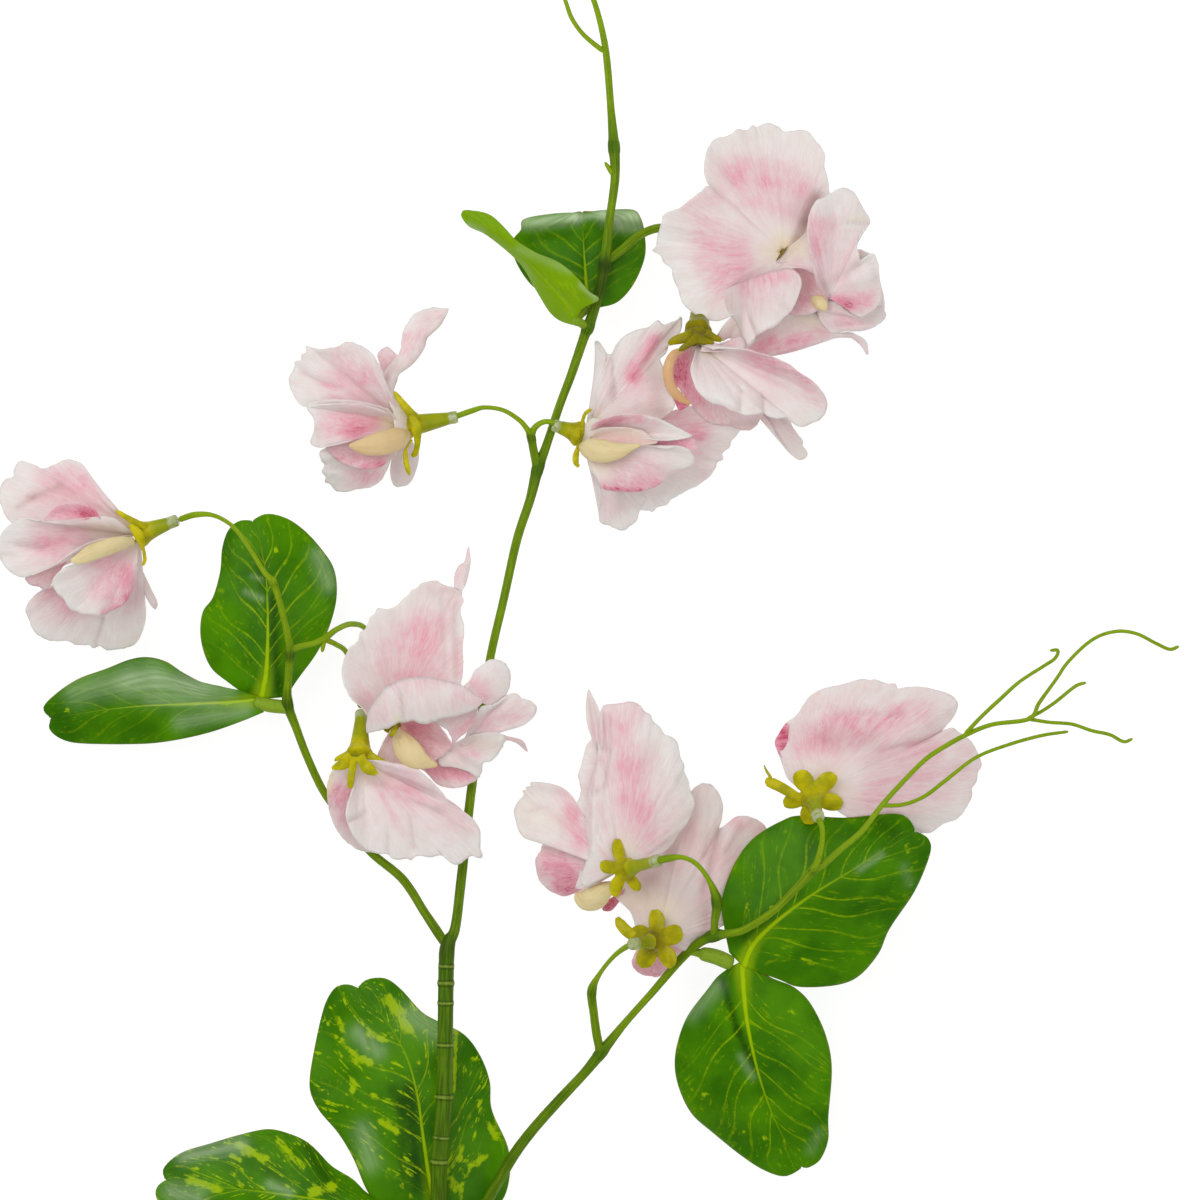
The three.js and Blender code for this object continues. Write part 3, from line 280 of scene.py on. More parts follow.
def waves(s: Array, lengths: Sequence[float], rng: np.random.Generator) -> Array:
    """Smooth seeded noise along a line, between about -1 and 1.

    Args:
        s: places along the line.
        lengths: the wavelengths that are mixed.
        rng: the source of the random phases.

    Returns:
        One value for each place.
    """
    total = np.zeros_like(s)
    for length in lengths:
        for spread in SPREADS:
            total += np.sin(TURN * s / (length * spread) + rng.uniform(0, TURN))
    return total / (len(lengths) * len(SPREADS)) * WAVE_GAIN


@dataclass(frozen=True)
class Stroke:
    """A soft stroke on the drawing, along which a fold or a flush of colour lies."""

    x0: float
    y0: float
    x1: float
    y1: float
    width: float
    amount: float

    def weight(self, x: Array, y: Array) -> Array:
        """Strength of the stroke at places on the drawing.

        Args:
            x: drawing x.
            y: drawing y.

        Returns:
            The amount, fading away from the line.
        """
        dx, dy = self.x1 - self.x0, self.y1 - self.y0
        span = dx * dx + dy * dy
        t = np.clip(((x - self.x0) * dx + (y - self.y0) * dy) / span, 0, 1) if span else 0.0
        gap = np.hypot(x - self.x0 - t * dx, y - self.y0 - t * dy)
        return self.amount * np.exp(-((gap / self.width) ** 2))


def strokes(marks: Sequence[tuple[float, ...]], x: Array, y: Array, soft: float = 1.0) -> Array:
    """Lay several strokes.

    Args:
        marks: x0, y0, x1, y1, width and amount of each stroke.
        x: drawing x.
        y: drawing y.
        soft: how much wider and weaker they are laid.

    Returns:
        Their sum at each place.
    """
    return sum((Stroke(*m[:4], m[4] * soft, m[5] / soft).weight(x, y) for m in marks), np.zeros_like(x))


@dataclass
class Skin:
    """A mesh in the making: corners in millimetres, faces, UV and named values per corner."""

    corners: list[Array] = field(default_factory=list)
    faces: list[Array] = field(default_factory=list)
    uv: list[Array] = field(default_factory=list)
    values: dict[str, list[Array]] = field(default_factory=dict)
    count: int = 0

    def add(self, corners: Array, faces: Array, uv: Array, **values: Array) -> None:
        """Add one surface.

        Args:
            corners: rows of x, y, z.
            faces: rows of four corner numbers.
            uv: rows of u and v.
            values: one array of numbers per corner for each name.
        """
        self.corners.append(corners)
        self.faces.append(faces + self.count)
        self.uv.append(uv)
        for name, array in values.items():
            self.values.setdefault(name, []).append(array)
        self.count += len(corners)

    def sheet(self, grid: Array, uv: Array, thickness: float, **values: Array) -> None:
        """Add a closed thin sheet that follows a grid of points.

        Args:
            grid: points as rows, columns, xyz.
            uv: u and v for each grid point.
            thickness: the sheet's thickness in millimetres.
            values: one array of rows and columns for each name.
        """
        rows, cols = grid.shape[:2]
        along = np.gradient(grid, axis=0)
        across = np.gradient(grid, axis=1)
        normal = np.cross(along, across)
        normal /= np.maximum(np.linalg.norm(normal, axis=2, keepdims=True), 1e-9)
        half = np.full((rows, cols, 1), thickness / 2)
        for rim in (half[-1, :], half[:, 0], half[:, -1]):
            rim *= RIM_LEFT
        middle = grid.copy()
        middle[..., 2] = np.maximum(middle[..., 2], half[..., 0] + CLEARANCE)
        both = [middle + normal * half, middle - normal * half]
        number = np.arange(rows * cols).reshape(rows, cols)
        a, b, c, d = number[:-1, :-1], number[1:, :-1], number[1:, 1:], number[:-1, 1:]
        front = np.stack([a, b, c, d], axis=-1).reshape(-1, 4)
        back = np.stack([a, d, c, b], axis=-1).reshape(-1, 4) + rows * cols
        rim = np.concatenate([number[0, :], number[1:, -1], number[-1, -2::-1], number[-2:0:-1, 0]])
        after = np.roll(rim, -1)
        wall = np.stack([rim, after, after + rows * cols, rim + rows * cols], axis=1)
        corners = np.concatenate([side.reshape(-1, 3) for side in both])
        double = {k: np.tile(v.reshape(-1), 2) for k, v in values.items()}
        self.add(corners, np.concatenate([front, back, wall]), np.tile(uv.reshape(-1, 2), (2, 1)), **double)

    def loft(self, rings: Array, uv: Array, **values: Array) -> None:
        """Add a closed body through rings of points, its ends drawn to a pole.

        Args:
            rings: points as rings, sides, xyz.
            uv: u and v for each point.
            values: one array of rings and sides for each name.
        """
        count, sides = rings.shape[:2]
        number = np.arange(count * sides).reshape(count, sides)
        nxt = np.roll(number, -1, axis=1)
        walls = np.stack([number[:-1], nxt[:-1], nxt[1:], number[1:]], axis=-1).reshape(-1, 4)
        first, last = count * sides, count * sides + 1
        low = np.stack([nxt[0], number[0], np.full(sides, first), np.full(sides, first)], axis=1)
        high = np.stack([number[-1], nxt[-1], np.full(sides, last), np.full(sides, last)], axis=1)
        poles = np.stack([rings[0].mean(axis=0), rings[-1].mean(axis=0)])
        corners = np.concatenate([rings.reshape(-1, 3), poles])
        coords = np.concatenate([uv.reshape(-1, 2), uv[[0, -1]].mean(axis=1)])
        more = {k: np.concatenate([v.reshape(-1), v[[0, -1]].mean(axis=1)]) for k, v in values.items()}
        self.add(corners, np.concatenate([walls, low, high]), coords, **more)

    def mesh(self, name: str) -> bpy.types.Mesh:
        """Make the mesh, in metres, with its UV map and its values as attributes.

        Args:
            name: the mesh's name.

        Returns:
            The finished mesh.
        """
        corners = np.concatenate(self.corners) * MM
        faces = [tuple(dict.fromkeys(row)) for row in np.concatenate(self.faces).tolist()]
        made = bpy.data.meshes.new(name)
        made.from_pydata(corners.tolist(), [], faces)
        for key, parts in self.values.items():
            mark(made, key, np.concatenate(parts))
        loops = np.empty(len(made.loops), dtype=np.int32)
        made.loops.foreach_get("vertex_index", loops)
        uv = np.concatenate(self.uv)[loops]
        made.uv_layers.new(name="UVMap").data.foreach_set("uv", uv.astype(np.float32).ravel())
        shade_smooth(made)
        made.update()
        return made

    def piece(self, name: str, finish: bpy.types.Material) -> bpy.types.Object:
        """Make the mesh and put it into the scene under the same name."""
        return new_object(self.mesh(name), name, finish)


def mark(mesh: bpy.types.Mesh, name: str, values: Array) -> None:
    """Keep one number for each corner of a mesh, under a name that a finish reads."""
    mesh.attributes.new(name, "FLOAT", "POINT").data.foreach_set("value", values)


def shade_smooth(mesh: bpy.types.Mesh) -> None:
    """Shade every face of a mesh smoothly."""
    mesh.polygons.foreach_set("use_smooth", np.ones(len(mesh.polygons), dtype=bool))


def join_into(mesh: bpy.types.Mesh, *parts: bpy.types.Mesh) -> None:
    """Fill a mesh with the faces of several meshes, of which it may be one."""
    whole = bmesh.new()
    for part in parts:
        whole.from_mesh(part)
    whole.to_mesh(mesh)
    whole.free()


def dress(mesh: bpy.types.Mesh, finish: bpy.types.Material) -> None:
    """Give a mesh one material in place of any that it has."""
    mesh.materials.clear()
    mesh.materials.append(finish)


def new_object(mesh: bpy.types.Mesh, name: str, finish: bpy.types.Material) -> bpy.types.Object:
    """Put a mesh into the scene.

    Args:
        mesh: the object's mesh.
        name: the object's name.
        finish: its one material.

    Returns:
        The object.
    """
    obj = bpy.data.objects.new(name, mesh)
    bpy.context.scene.collection.objects.link(obj)
    dress(mesh, finish)
    return obj


def publish(obj: bpy.types.Object, slot: Slot, *nodes: str) -> None:
    """Ride a piece on the spray, hide the solids that it replaces, and log it.

    Args:
        obj: the finished piece.
        slot: not used.
        nodes: the solids that it replaces.
    """
    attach(obj, "root")
    if nodes:
        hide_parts(*nodes)
    log.info("%s: %d faces", obj.name, len(obj.data.polygons))


def baked(obj: bpy.types.Object) -> None:
    """Replace an object's mesh by the result of its modifiers, and drop the modifiers."""
    graph = bpy.context.evaluated_depsgraph_get()
    result = bpy.data.meshes.new_from_object(obj.evaluated_get(graph), depsgraph=graph)
    obj.modifiers.clear()
    obj.data = result


class Graph:
    """A short way to lay out nodes and their links in one tree."""

    def __init__(self, tree: bpy.types.NodeTree) -> None:
        """Keep the tree that the nodes go into."""
        self.tree = tree

    def wire(self, node: bpy.types.Node, inputs: dict[Any, Any]) -> None:
        """Fill a node's inputs.

        Args:
            node: the node.
            inputs: a socket to link or a constant to set, by the input's name or number.
        """
        for key, value in inputs.items():
            if isinstance(value, bpy.types.NodeSocket):
                self.tree.links.new(value, node.inputs[key])
            else:
                node.inputs[key].default_value = value

    def add(self, kind: str, inputs: dict[Any, Any] | None = None, **settings: Any) -> bpy.types.Node:
        """Add a node.

        Args:
            kind: the node's type.
            inputs: what goes into its inputs, as in wire.
            settings: the node's own properties.

        Returns:
            The node.
        """
        node = self.tree.nodes.new(kind)
        for key, value in settings.items():
            setattr(node, key, value)
        self.wire(node, inputs or {})
        return node

    def math(self, operation: str, *values: Any, clamp: bool = False) -> bpy.types.NodeSocket:
        """Add a math node and give its result."""
        inputs = dict(enumerate(values))
        return self.add("ShaderNodeMath", inputs, operation=operation, use_clamp=clamp).outputs[0]

    def times(self, a: Any, b: Any, clamp: bool = False) -> bpy.types.NodeSocket:
        """Multiply two numbers."""
        return self.math("MULTIPLY", a, b, clamp=clamp)

    def scaled(self, a: Any, factor: Any, plus: Any, clamp: bool = False) -> bpy.types.NodeSocket:
        """Multiply a number by a factor and add another."""
        return self.math("MULTIPLY_ADD", a, factor, plus, clamp=clamp)

    def mix(self, share: Any, low: Any, high: Any) -> bpy.types.NodeSocket:
        """Mix two colours by a share, which is kept between 0 and 1."""
        wide = [v if isinstance(v, bpy.types.NodeSocket) else (*v, 1.0) for v in (low, high)]
        return self.add("ShaderNodeMix", {0: share, 6: wide[0], 7: wide[1]}, data_type="RGBA").outputs[2]

    def ramp(self, share: Any, low: float, high: float) -> bpy.types.NodeSocket:
        """Map a number smoothly from low..high to 0..1."""
        inputs = {0: share, 1: low, 2: high}
        return self.add("ShaderNodeMapRange", inputs, interpolation_type="SMOOTHSTEP").outputs[0]

    def noise(self, vector: Any, scale: float, detail: float = 3.0, rough: float = 0.55) -> bpy.types.NodeSocket:
        """Add a noise texture and give its value."""
        inputs = {"Vector": vector, "Scale": scale, "Detail": detail, "Roughness": rough}
        return self.add("ShaderNodeTexNoise", inputs).outputs[0]

    def value(self, name: str) -> bpy.types.NodeSocket:
        """Read a named value of the mesh."""
        return self.add("ShaderNodeAttribute", attribute_name=name).outputs["Fac"]

    def spot(self) -> bpy.types.NodeSocket:
        """Give the place on the object, in metres."""
        return self.add("ShaderNodeTexCoord").outputs["Object"]

    def uv(self) -> bpy.types.NodeSocket:
        """Read the UV map."""
        return self.add("ShaderNodeUVMap", uv_map="UVMap").outputs[0]

    def vector(self, x: Any, y: Any = 0.0) -> bpy.types.NodeSocket:
        """Make a flat vector from two numbers."""
        return self.add("ShaderNodeCombineXYZ", {0: x, 1: y}).outputs[0]

    def stretched(self, vector: Any, *scale: float) -> bpy.types.NodeSocket:
        """Scale a vector along its three axes."""
        return self.add("ShaderNodeMapping", {"Vector": vector, "Scale": scale}).outputs[0]

    def bump(self, height: Any, strength: float, distance: float) -> bpy.types.NodeSocket:
        """Turn a height into a bent normal; the distance is in metres."""
        return self.add("ShaderNodeBump", {"Strength": strength, "Distance": distance, "Height": height}).outputs[0]


def material(name: str, preview: Colour) -> tuple[bpy.types.Material, Graph, bpy.types.Node]:
    """Start a node material.

    Args:
        name: the material's name.
        preview: its colour outside renders.

    Returns:
        The material, its graph and its Principled shader.
    """
    made = bpy.data.materials.new(name)
    made.diffuse_color = (*preview, 1.0)
    made.use_nodes = True
    made.node_tree.nodes.clear()
    graph = Graph(made.node_tree)
    shader = graph.add("ShaderNodeBsdfPrincipled")
    graph.add("ShaderNodeOutputMaterial", {"Surface": shader.outputs[0]})
    return made, graph, shader


@dataclass(frozen=True)
class PetalFinish:
    """Thin printed cloth: near-white, brushed with pink along fine veins."""

    pale: Colour = srgb("EDEBE7")
    shade: Colour = srgb("E9E3DE")
    blush: Colour = srgb("E8A4B4")
    deep: Colour = srgb("C64C6C")
    cream: Colour = srgb("EBDDB4")
    shadow: Colour = srgb("B5938E")
    throat: Colour = srgb("7E6212")

    def build(self) -> bpy.types.Material:
        """Make the material.

        Veins run along v of the UV map, and u is in centimetres. The mesh carries flush, the strength of
        the pink, cream towards the claw, a mauve-brown painted shade laid into creases and onto petals in the
        shadow of others, and vein, the veins' strength.

        Returns:
            The material.
        """
        made, g, shader = material("petal_cloth", self.pale)
        uv, spot = g.uv(), g.spot()
        vein, cream = g.value("vein"), g.value("cream")
        wobble = g.add("ShaderNodeTexNoise", {"Vector": uv, "Scale": 3.0, "Detail": 2.0})
        bent = g.add("ShaderNodeVectorMath", {0: wobble.outputs["Color"], 3: 0.22}, operation="SCALE")
        veined = g.add("ShaderNodeVectorMath", {0: uv, 1: bent.outputs[0]}).outputs[0]
        streak = g.ramp(g.noise(g.stretched(veined, 4.0, 1.0, 1.0), 1.0, 4.0, 0.6), 0.4, 0.64)
        hair = g.ramp(g.noise(g.stretched(veined, 19.0, 2.2, 1.0), 1.0, 5.0, 0.7), 0.44, 0.62)
        patchy = g.ramp(g.noise(g.stretched(veined, 9.0, 4.0, 1.0), 1.0, 5.0, 0.7), 0.36, 0.64)
        cloud = g.ramp(g.noise(spot, 160.0), 0.3, 0.7)
        weave = g.noise(spot, 2600.0, 1.0)
        lines = g.times(g.scaled(streak, 0.6, g.times(hair, 1.3)), g.times(vein, 0.5))
        mottled = g.times(g.scaled(cloud, 0.4, 0.74), g.scaled(patchy, 0.42, 0.8))
        washed = g.times(g.value("flush"), g.times(g.scaled(lines, 0.5, 0.7), mottled))
        ground = g.mix(cloud, self.pale, self.shade)
        faint = g.mix(g.times(g.times(hair, vein), 0.1), ground, self.blush)
        tinted = g.mix(washed, faint, self.blush)
        strong = g.mix(g.ramp(washed, 0.9, 2.6), tinted, self.deep)
        # Painted shade: the petal is darkened towards the mauve-brown shadow colour where the mesh marks creases and
        # shaded parts.
        dim = g.mix(g.times(g.value("dusk"), 0.62), strong, self.shadow)
        warm = g.mix(g.ramp(cream, 1.0, 2.0), g.mix(cream, dim, self.cream), self.throat)
        ridges = g.times(g.scaled(hair, 0.6, g.times(streak, 0.7)), vein)
        g.wire(shader, {
            "Base Color": warm, "Normal": g.bump(g.scaled(weave, 0.2, ridges), 0.34, 0.00013),
            "Roughness": 0.68, "Specular IOR Level": 0.25, "Sheen Weight": 0.12, "Sheen Roughness": 0.5,
            "Subsurface Weight": 0.15, "Subsurface Radius": (1.0, 0.7, 0.7), "Subsurface Scale": 0.0004,
        })
        return made


@dataclass(frozen=True)
class KeelFinish:
    """Smooth cream cloth with a faint seam."""

    cream: Colour = srgb("E6D8A6")
    warm: Colour = srgb("D2BA7C")
    peach: Colour = srgb("D9A878")

    def build(self) -> bpy.types.Material:
        """Make the material; the mesh carries ripe, the share of peach.

        Returns:
            The material.
        """
        made, g, shader = material("keel_cream", self.cream)
        streak = g.noise(g.stretched(g.uv(), 14.0, 1.4, 1.0), 1.0)
        blot = g.noise(g.spot(), 220.0, 2.0)
        sound = g.mix(g.times(g.ramp(streak, 0.4, 0.7), g.ramp(blot, 0.3, 0.75)), self.cream, self.warm)
        g.wire(shader, {
            "Base Color": g.mix(g.times(g.value("ripe"), g.scaled(blot, 0.8, 0.5)), sound, self.peach),
            "Normal": g.bump(streak, 0.2, 0.0001), "Roughness": 0.5, "Specular IOR Level": 0.35,
            "Subsurface Weight": 0.3, "Subsurface Radius": (1.0, 0.7, 0.4), "Subsurface Scale": 0.001,
        })
        return made


@dataclass(frozen=True)
class LeafFinish:
    """Glossy moulded leaf: deep green, lime veins, flecks and patches, a thin brown margin, painted shade and painted
    sheen.
    """

    deep: Colour = srgb("2E6600")
    green: Colour = srgb("508C00")
    painted_shadow_green: Colour = srgb("173E00")
    lime: Colour = srgb("A6C400")
    under: Colour = srgb("86AE0C")
    # the colour of the painted sheen
    pale: Colour = srgb("B9CDA4")
    margin: Colour = srgb("9A7220")

    def veins(self, g: Graph) -> bpy.types.NodeSocket:
        """Draw the side veins.

        The courses count veins along the rib, one count for each half, so a whole number lies on a vein; gap
        is the room between two veins in millimetres.

        Args:
            g: the material's graph.

        Returns:
            1 on a vein, 0 off it.
        """
        left = g.math("LESS_THAN", g.value("side"), 0.0)
        off = [g.math("PINGPONG", g.value(name), 0.5) for name in ("course_right", "course_left")]
        nearest = g.scaled(left, g.math("SUBTRACT", off[1], off[0]), off[0])
        return g.times(g.ramp(g.times(nearest, g.value("gap")), 0.38, 0.0), g.value("force"))

    def build(self) -> bpy.types.Material:
        """Make the material; the mesh carries the values that Leaflet.build lays on it.

        Returns:
            The material.
        """
        made, g, shader = material("leaf_gloss", self.green)
        spot, along, under, rib_gap = g.spot(), g.value("along"), g.value("under"), g.value("rib_gap")
        cloud, grain = g.noise(spot, 90.0), g.noise(spot, 700.0)
        speck = g.noise(spot, 460.0, 3.0, 0.65)
        ground = g.mix(g.ramp(cloud, 0.22, 0.78), self.deep, self.green)
        # Painted shade: the dark strokes darken the blade in creases and where the stem shades it.
        shadow = g.times(g.value("dark"), g.scaled(speck, 0.9, 0.35), clamp=True)
        shaded = g.mix(g.times(shadow, 0.8), ground, self.painted_shadow_green)
        vein = g.times(self.veins(g), g.scaled(g.ramp(speck, 0.38, 0.6), 0.5, 0.4))
        rib = g.times(g.ramp(rib_gap, 1.15, 0.35), g.ramp(along, 1.15, 0.1))
        halo = g.times(g.ramp(rib_gap, 3.4, 0.8), g.times(g.ramp(along, 0.3, 0.0), 0.5))
        streaked = g.vector(g.value("dash"), g.value("reach"))
        bits = g.times(g.ramp(g.noise(streaked, 1.0, 3.0, 0.6), 0.56, 0.64), g.ramp(speck, 0.44, 0.56))
        feather = g.scaled(g.noise(streaked, 1.0, 4.0, 0.7), 1.9, -0.95)
        spread = g.math("ADD", feather, g.scaled(speck, 1.7, -0.85))
        patch = g.times(g.ramp(g.math("ADD", spread, g.value("lime")), 0.36, 0.85), 0.95)
        flecks = g.math("MAXIMUM", g.times(bits, g.value("fleck")), patch)
        lines = g.math("MAXIMUM", g.math("MAXIMUM", vein, rib), halo)
        bright = g.math("MAXIMUM", lines, g.times(flecks, 0.85))
        marked = g.mix(g.times(bright, 0.95), shaded, self.lime)
        turned = g.mix(g.times(under, 0.78), marked, self.under)
        combed = g.vector(g.times(along, 3.0), g.times(g.value("side"), 13.0))
        comb = g.ramp(g.noise(combed, 1.0, 4.0, 0.6), 0.36, 0.62)
        # Painted sheen: pale streaky patches that stand in for light reflected off the gloss.
        painted_sheen = g.mix(g.times(g.value("sheen"), g.scaled(comb, 0.3, 0.46)), turned, self.pale)
        edge = g.times(g.ramp(g.value("margin"), 0.22, 0.06), g.scaled(g.ramp(cloud, 0.4, 0.6), 0.45, 0.25))
        edged = g.mix(g.times(edge, g.scaled(under, -0.85, 1.0)), painted_sheen, self.margin)
        height = g.scaled(grain, 0.2, g.times(g.math("ADD", vein, rib), -0.6))
        g.wire(shader, {
            "Base Color": edged, "Normal": g.bump(height, 0.3, 0.0002),
            "Roughness": g.scaled(grain, 0.14, 0.26), "Specular IOR Level": 0.06,
        })
        return made


@dataclass(frozen=True)
class StemFinish:
    """Moulded stem: olive green below, yellow-green towards the tips, ridged lengthwise."""

    name: str
    low: Colour
    high: Colour
    grooved: float = 0.65
    dirt: Colour = srgb("324C00")
    joint: Colour = srgb("9CAA4C")
    gap: Colour = srgb("26360A")

    def build(self) -> bpy.types.Material:
        """Make the material.

        The mesh carries young, 1 on the thin tips, ring at the joints, stain at the forks, and round, the
        place round the stem.

        Returns:
            The material.
        """
        made, g, shader = material(self.name, self.low)
        spot = g.spot()
        cloud, grain = g.noise(spot, 260.0), g.noise(spot, 1500.0)
        young = g.math("ADD", g.value("young"), g.scaled(cloud, 0.5, -0.25), clamp=True)
        around = g.add("ShaderNodeAttribute", attribute_name="round").outputs["Vector"]
        bent = g.add("ShaderNodeVectorMath", {0: g.stretched(spot, 40.0, 40.0, 40.0), 1: around}).outputs[0]
        flute = g.noise(bent, 3.2, 2.0)
        streak = g.times(g.ramp(flute, 0.42, 0.62), g.scaled(young, -0.7 * self.grooved, self.grooved))
        worn = g.times(g.ramp(grain, 0.5, 0.75), 0.35)
        grooves = g.mix(g.math("MAXIMUM", worn, streak), g.mix(young, self.low, self.high), self.dirt)
        ring = g.times(g.value("ring"), g.scaled(grain, 1.2, 0.4))
        beside = g.times(g.ramp(ring, 0.08, 0.3), g.ramp(ring, 0.75, 0.4))
        seam = g.mix(g.times(beside, 0.55), grooves, self.gap)
        ringed = g.mix(g.times(g.ramp(ring, 0.5, 1.1), 0.6), seam, self.joint)
        stain = g.times(g.value("stain"), g.scaled(cloud, 0.8, 0.5))
        height = g.scaled(flute, 1.6, g.scaled(grain, 0.6, cloud))
        g.wire(shader, {
            "Base Color": g.mix(stain, ringed, self.gap), "Normal": g.bump(height, 0.45, 0.00018),
            "Roughness": 0.4, "Specular IOR Level": 0.08,
        })
        return made


@dataclass(frozen=True)
class CalyxFinish:
    """Thick olive-yellow moulding, darker and greener in the folds."""

    olive: Colour = srgb("CABE08")
    green: Colour = srgb("A8A406")
    dark: Colour = srgb("6E6400")
    tube: Colour = srgb("7E920E")

    def build(self) -> bpy.types.Material:
        """Make the material; the mesh carries core, high at the middle, and foot, 1 down the tube.

        Returns:
            The material.
        """
        made, g, shader = material("calyx_olive", self.olive)
        spot = g.spot()
        cloud = g.noise(spot, 330.0)
        lobes = g.mix(g.ramp(cloud, 0.35, 0.65), self.olive, self.green)
        ground = g.mix(g.times(g.value("foot"), 0.7), lobes, self.tube)
        core = g.times(g.value("core"), g.scaled(cloud, 0.5, 0.65))
        g.wire(shader, {
            "Base Color": g.mix(core, ground, self.dark),
            "Normal": g.bump(g.noise(spot, 1700.0, 2.0), 0.25, 0.00012),
            "Roughness": 0.28, "Specular IOR Level": 0.14,
            "Subsurface Weight": 0.15, "Subsurface Radius": (0.8, 0.9, 0.2), "Subsurface Scale": 0.001,
        })
        return made


@dataclass(frozen=True)
class SleeveFinish:
    """Milky clear plastic that joins each pedicel to its calyx."""

    tint: Colour = srgb("D5DDAE")
    cast: Colour = srgb("A9B84C")

    def build(self) -> bpy.types.Material:
        """Make the material.

        Returns:
            The material.
        """
        made, g, shader = material("clear_sleeve", self.tint)
        colour = g.mix(g.ramp(g.noise(g.spot(), 900.0, 2.0), 0.35, 0.7), self.tint, self.cast)
        g.wire(shader, {"Base Color": colour, "Roughness": 0.2, "Transmission Weight": 0.35, "IOR": 1.45})
        return made


@dataclass
class Finishes:
    """Every finish of the spray, made once."""

    petal: bpy.types.Material = field(default_factory=PetalFinish().build)
    keel: bpy.types.Material = field(default_factory=KeelFinish().build)
    leaf: bpy.types.Material = field(default_factory=LeafFinish().build)
    stem: bpy.types.Material = field(
        default_factory=StemFinish("stem_green", srgb("52760A"), srgb("8CAA12")).build
    )
    petiole: bpy.types.Material = field(
        default_factory=StemFinish("petiole_green", srgb("6E8E1C"), srgb("8AA82C"), grooved=0.15).build
    )
    calyx: bpy.types.Material = field(default_factory=CalyxFinish().build)
    sleeve: bpy.types.Material = field(default_factory=SleeveFinish().build)


def node_group(name: str, **inputs: str) -> tuple[Graph, bpy.types.Node]:
    """Start a Geometry Nodes tree that takes a Geometry and a Material and gives a Geometry.

    Args:
        name: the tree's name.
        inputs: the kind of each further input, by its name.

    Returns:
        The tree's graph and its input node.
    """
    tree = bpy.data.node_groups.new(name, "GeometryNodeTree")
    for title, kind in {"Geometry": "Geometry", **inputs, "Material": "Material"}.items():
        tree.interface.new_socket(title, in_out="INPUT", socket_type=f"NodeSocket{kind}")
    tree.interface.new_socket("Geometry", in_out="OUTPUT", socket_type="NodeSocketGeometry")
    graph = Graph(tree)
    return graph, graph.add("NodeGroupInput")


def finish_group(g: Graph, start: bpy.types.Node, shape: bpy.types.NodeSocket) -> bpy.types.NodeTree:
    """End a Geometry Nodes tree: make its shape real and give it the material.

    Args:
        g: the tree's graph.
        start: its input node.
        shape: the geometry.

    Returns:
        The tree.
    """
    real = g.add("GeometryNodeRealizeInstances", {0: shape})
    done = g.add("GeometryNodeSetMaterial", {0: real.outputs[0], "Material": start.outputs["Material"]})
    g.add("NodeGroupOutput", {0: done.outputs[0]})
    return g.tree


def run_tree(obj: bpy.types.Object, tree: bpy.types.NodeTree, **values: Any) -> None:
    """Put an object through a Geometry Nodes tree and keep the result as its mesh.

    Args:
        obj: the object.
        tree: the tree.
        values: what goes into the tree's inputs, by their names in small letters.
    """
    modifier = obj.modifiers.new(tree.name, "NODES")
    modifier.node_group = tree
    for item in tree.interface.items_tree:
        if item.item_type == "SOCKET" and item.in_out == "INPUT" and item.name.lower() in values:
            modifier[item.identifier] = values[item.name.lower()]
    baked(obj)


@dataclass(frozen=True)
class TubeTree:
    """Geometry Nodes that sweep a ribbed tube along every path of a mesh of edges."""

    grain: float = 900.0
    flutes: float = 2.4
    flute_depth: float = 1.6

    def build(self) -> bpy.types.NodeTree:
        """Make the node tree.

        Returns:
            The tree, with inputs Geometry, Sides, Ridge, Seed and Material.
        """
        g, start = node_group("stem_tube", Sides="Int", Ridge="Float", Seed="Float")
        width = g.add("GeometryNodeInputNamedAttribute", {"Name": "width"}, data_type="FLOAT").outputs["Attribute"]
        curve = g.add("GeometryNodeMeshToCurve", {"Mesh": start.outputs["Geometry"]})
        sized = g.add("GeometryNodeSetCurveRadius", {"Curve": curve.outputs[0], "Radius": width})
        ring = g.add("GeometryNodeCurvePrimitiveCircle", {"Resolution": start.outputs["Sides"], "Radius": 1.0})
        on_ring = g.add("GeometryNodeInputPosition").outputs[0]
        marked = g.add(
            "GeometryNodeStoreNamedAttribute", {"Geometry": ring.outputs[0], "Name": "round", "Value": on_ring},
            data_type="FLOAT_VECTOR",
        )
        swept = g.add(
            "GeometryNodeCurveToMesh",
            {"Curve": sized.outputs[0], "Profile Curve": marked.outputs[0], "Fill Caps": True},
        )
        if "Scale" in swept.inputs:
            g.wire(swept, {"Scale": width})
        place_in = g.add("GeometryNodeInputPosition").outputs[0]
        spot = g.add("ShaderNodeVectorMath", {0: place_in, 1: g.vector(start.outputs["Seed"])})
        noise = g.noise(spot.outputs[0], self.grain, 2.0)
        around = g.add("GeometryNodeInputNamedAttribute", {"Name": "round"}, data_type="FLOAT_VECTOR").outputs[0]
        fluting = g.scaled(g.noise(around, self.flutes, 1.0), self.flute_depth, -self.flute_depth / 2)
        relief = g.math("ADD", fluting, g.math("SUBTRACT", noise, 0.5))
        height = g.times(relief, start.outputs["Ridge"])
        out = g.add("GeometryNodeInputNormal").outputs[0]
        offset = g.add("ShaderNodeVectorMath", {0: out, 3: height}, operation="SCALE")
        moved = g.add("GeometryNodeSetPosition", {"Geometry": swept.outputs[0], "Offset": offset.outputs[0]})
        smooth = g.add("GeometryNodeSetShadeSmooth", {0: moved.outputs[0]})
        return finish_group(g, start, smooth.outputs[0])


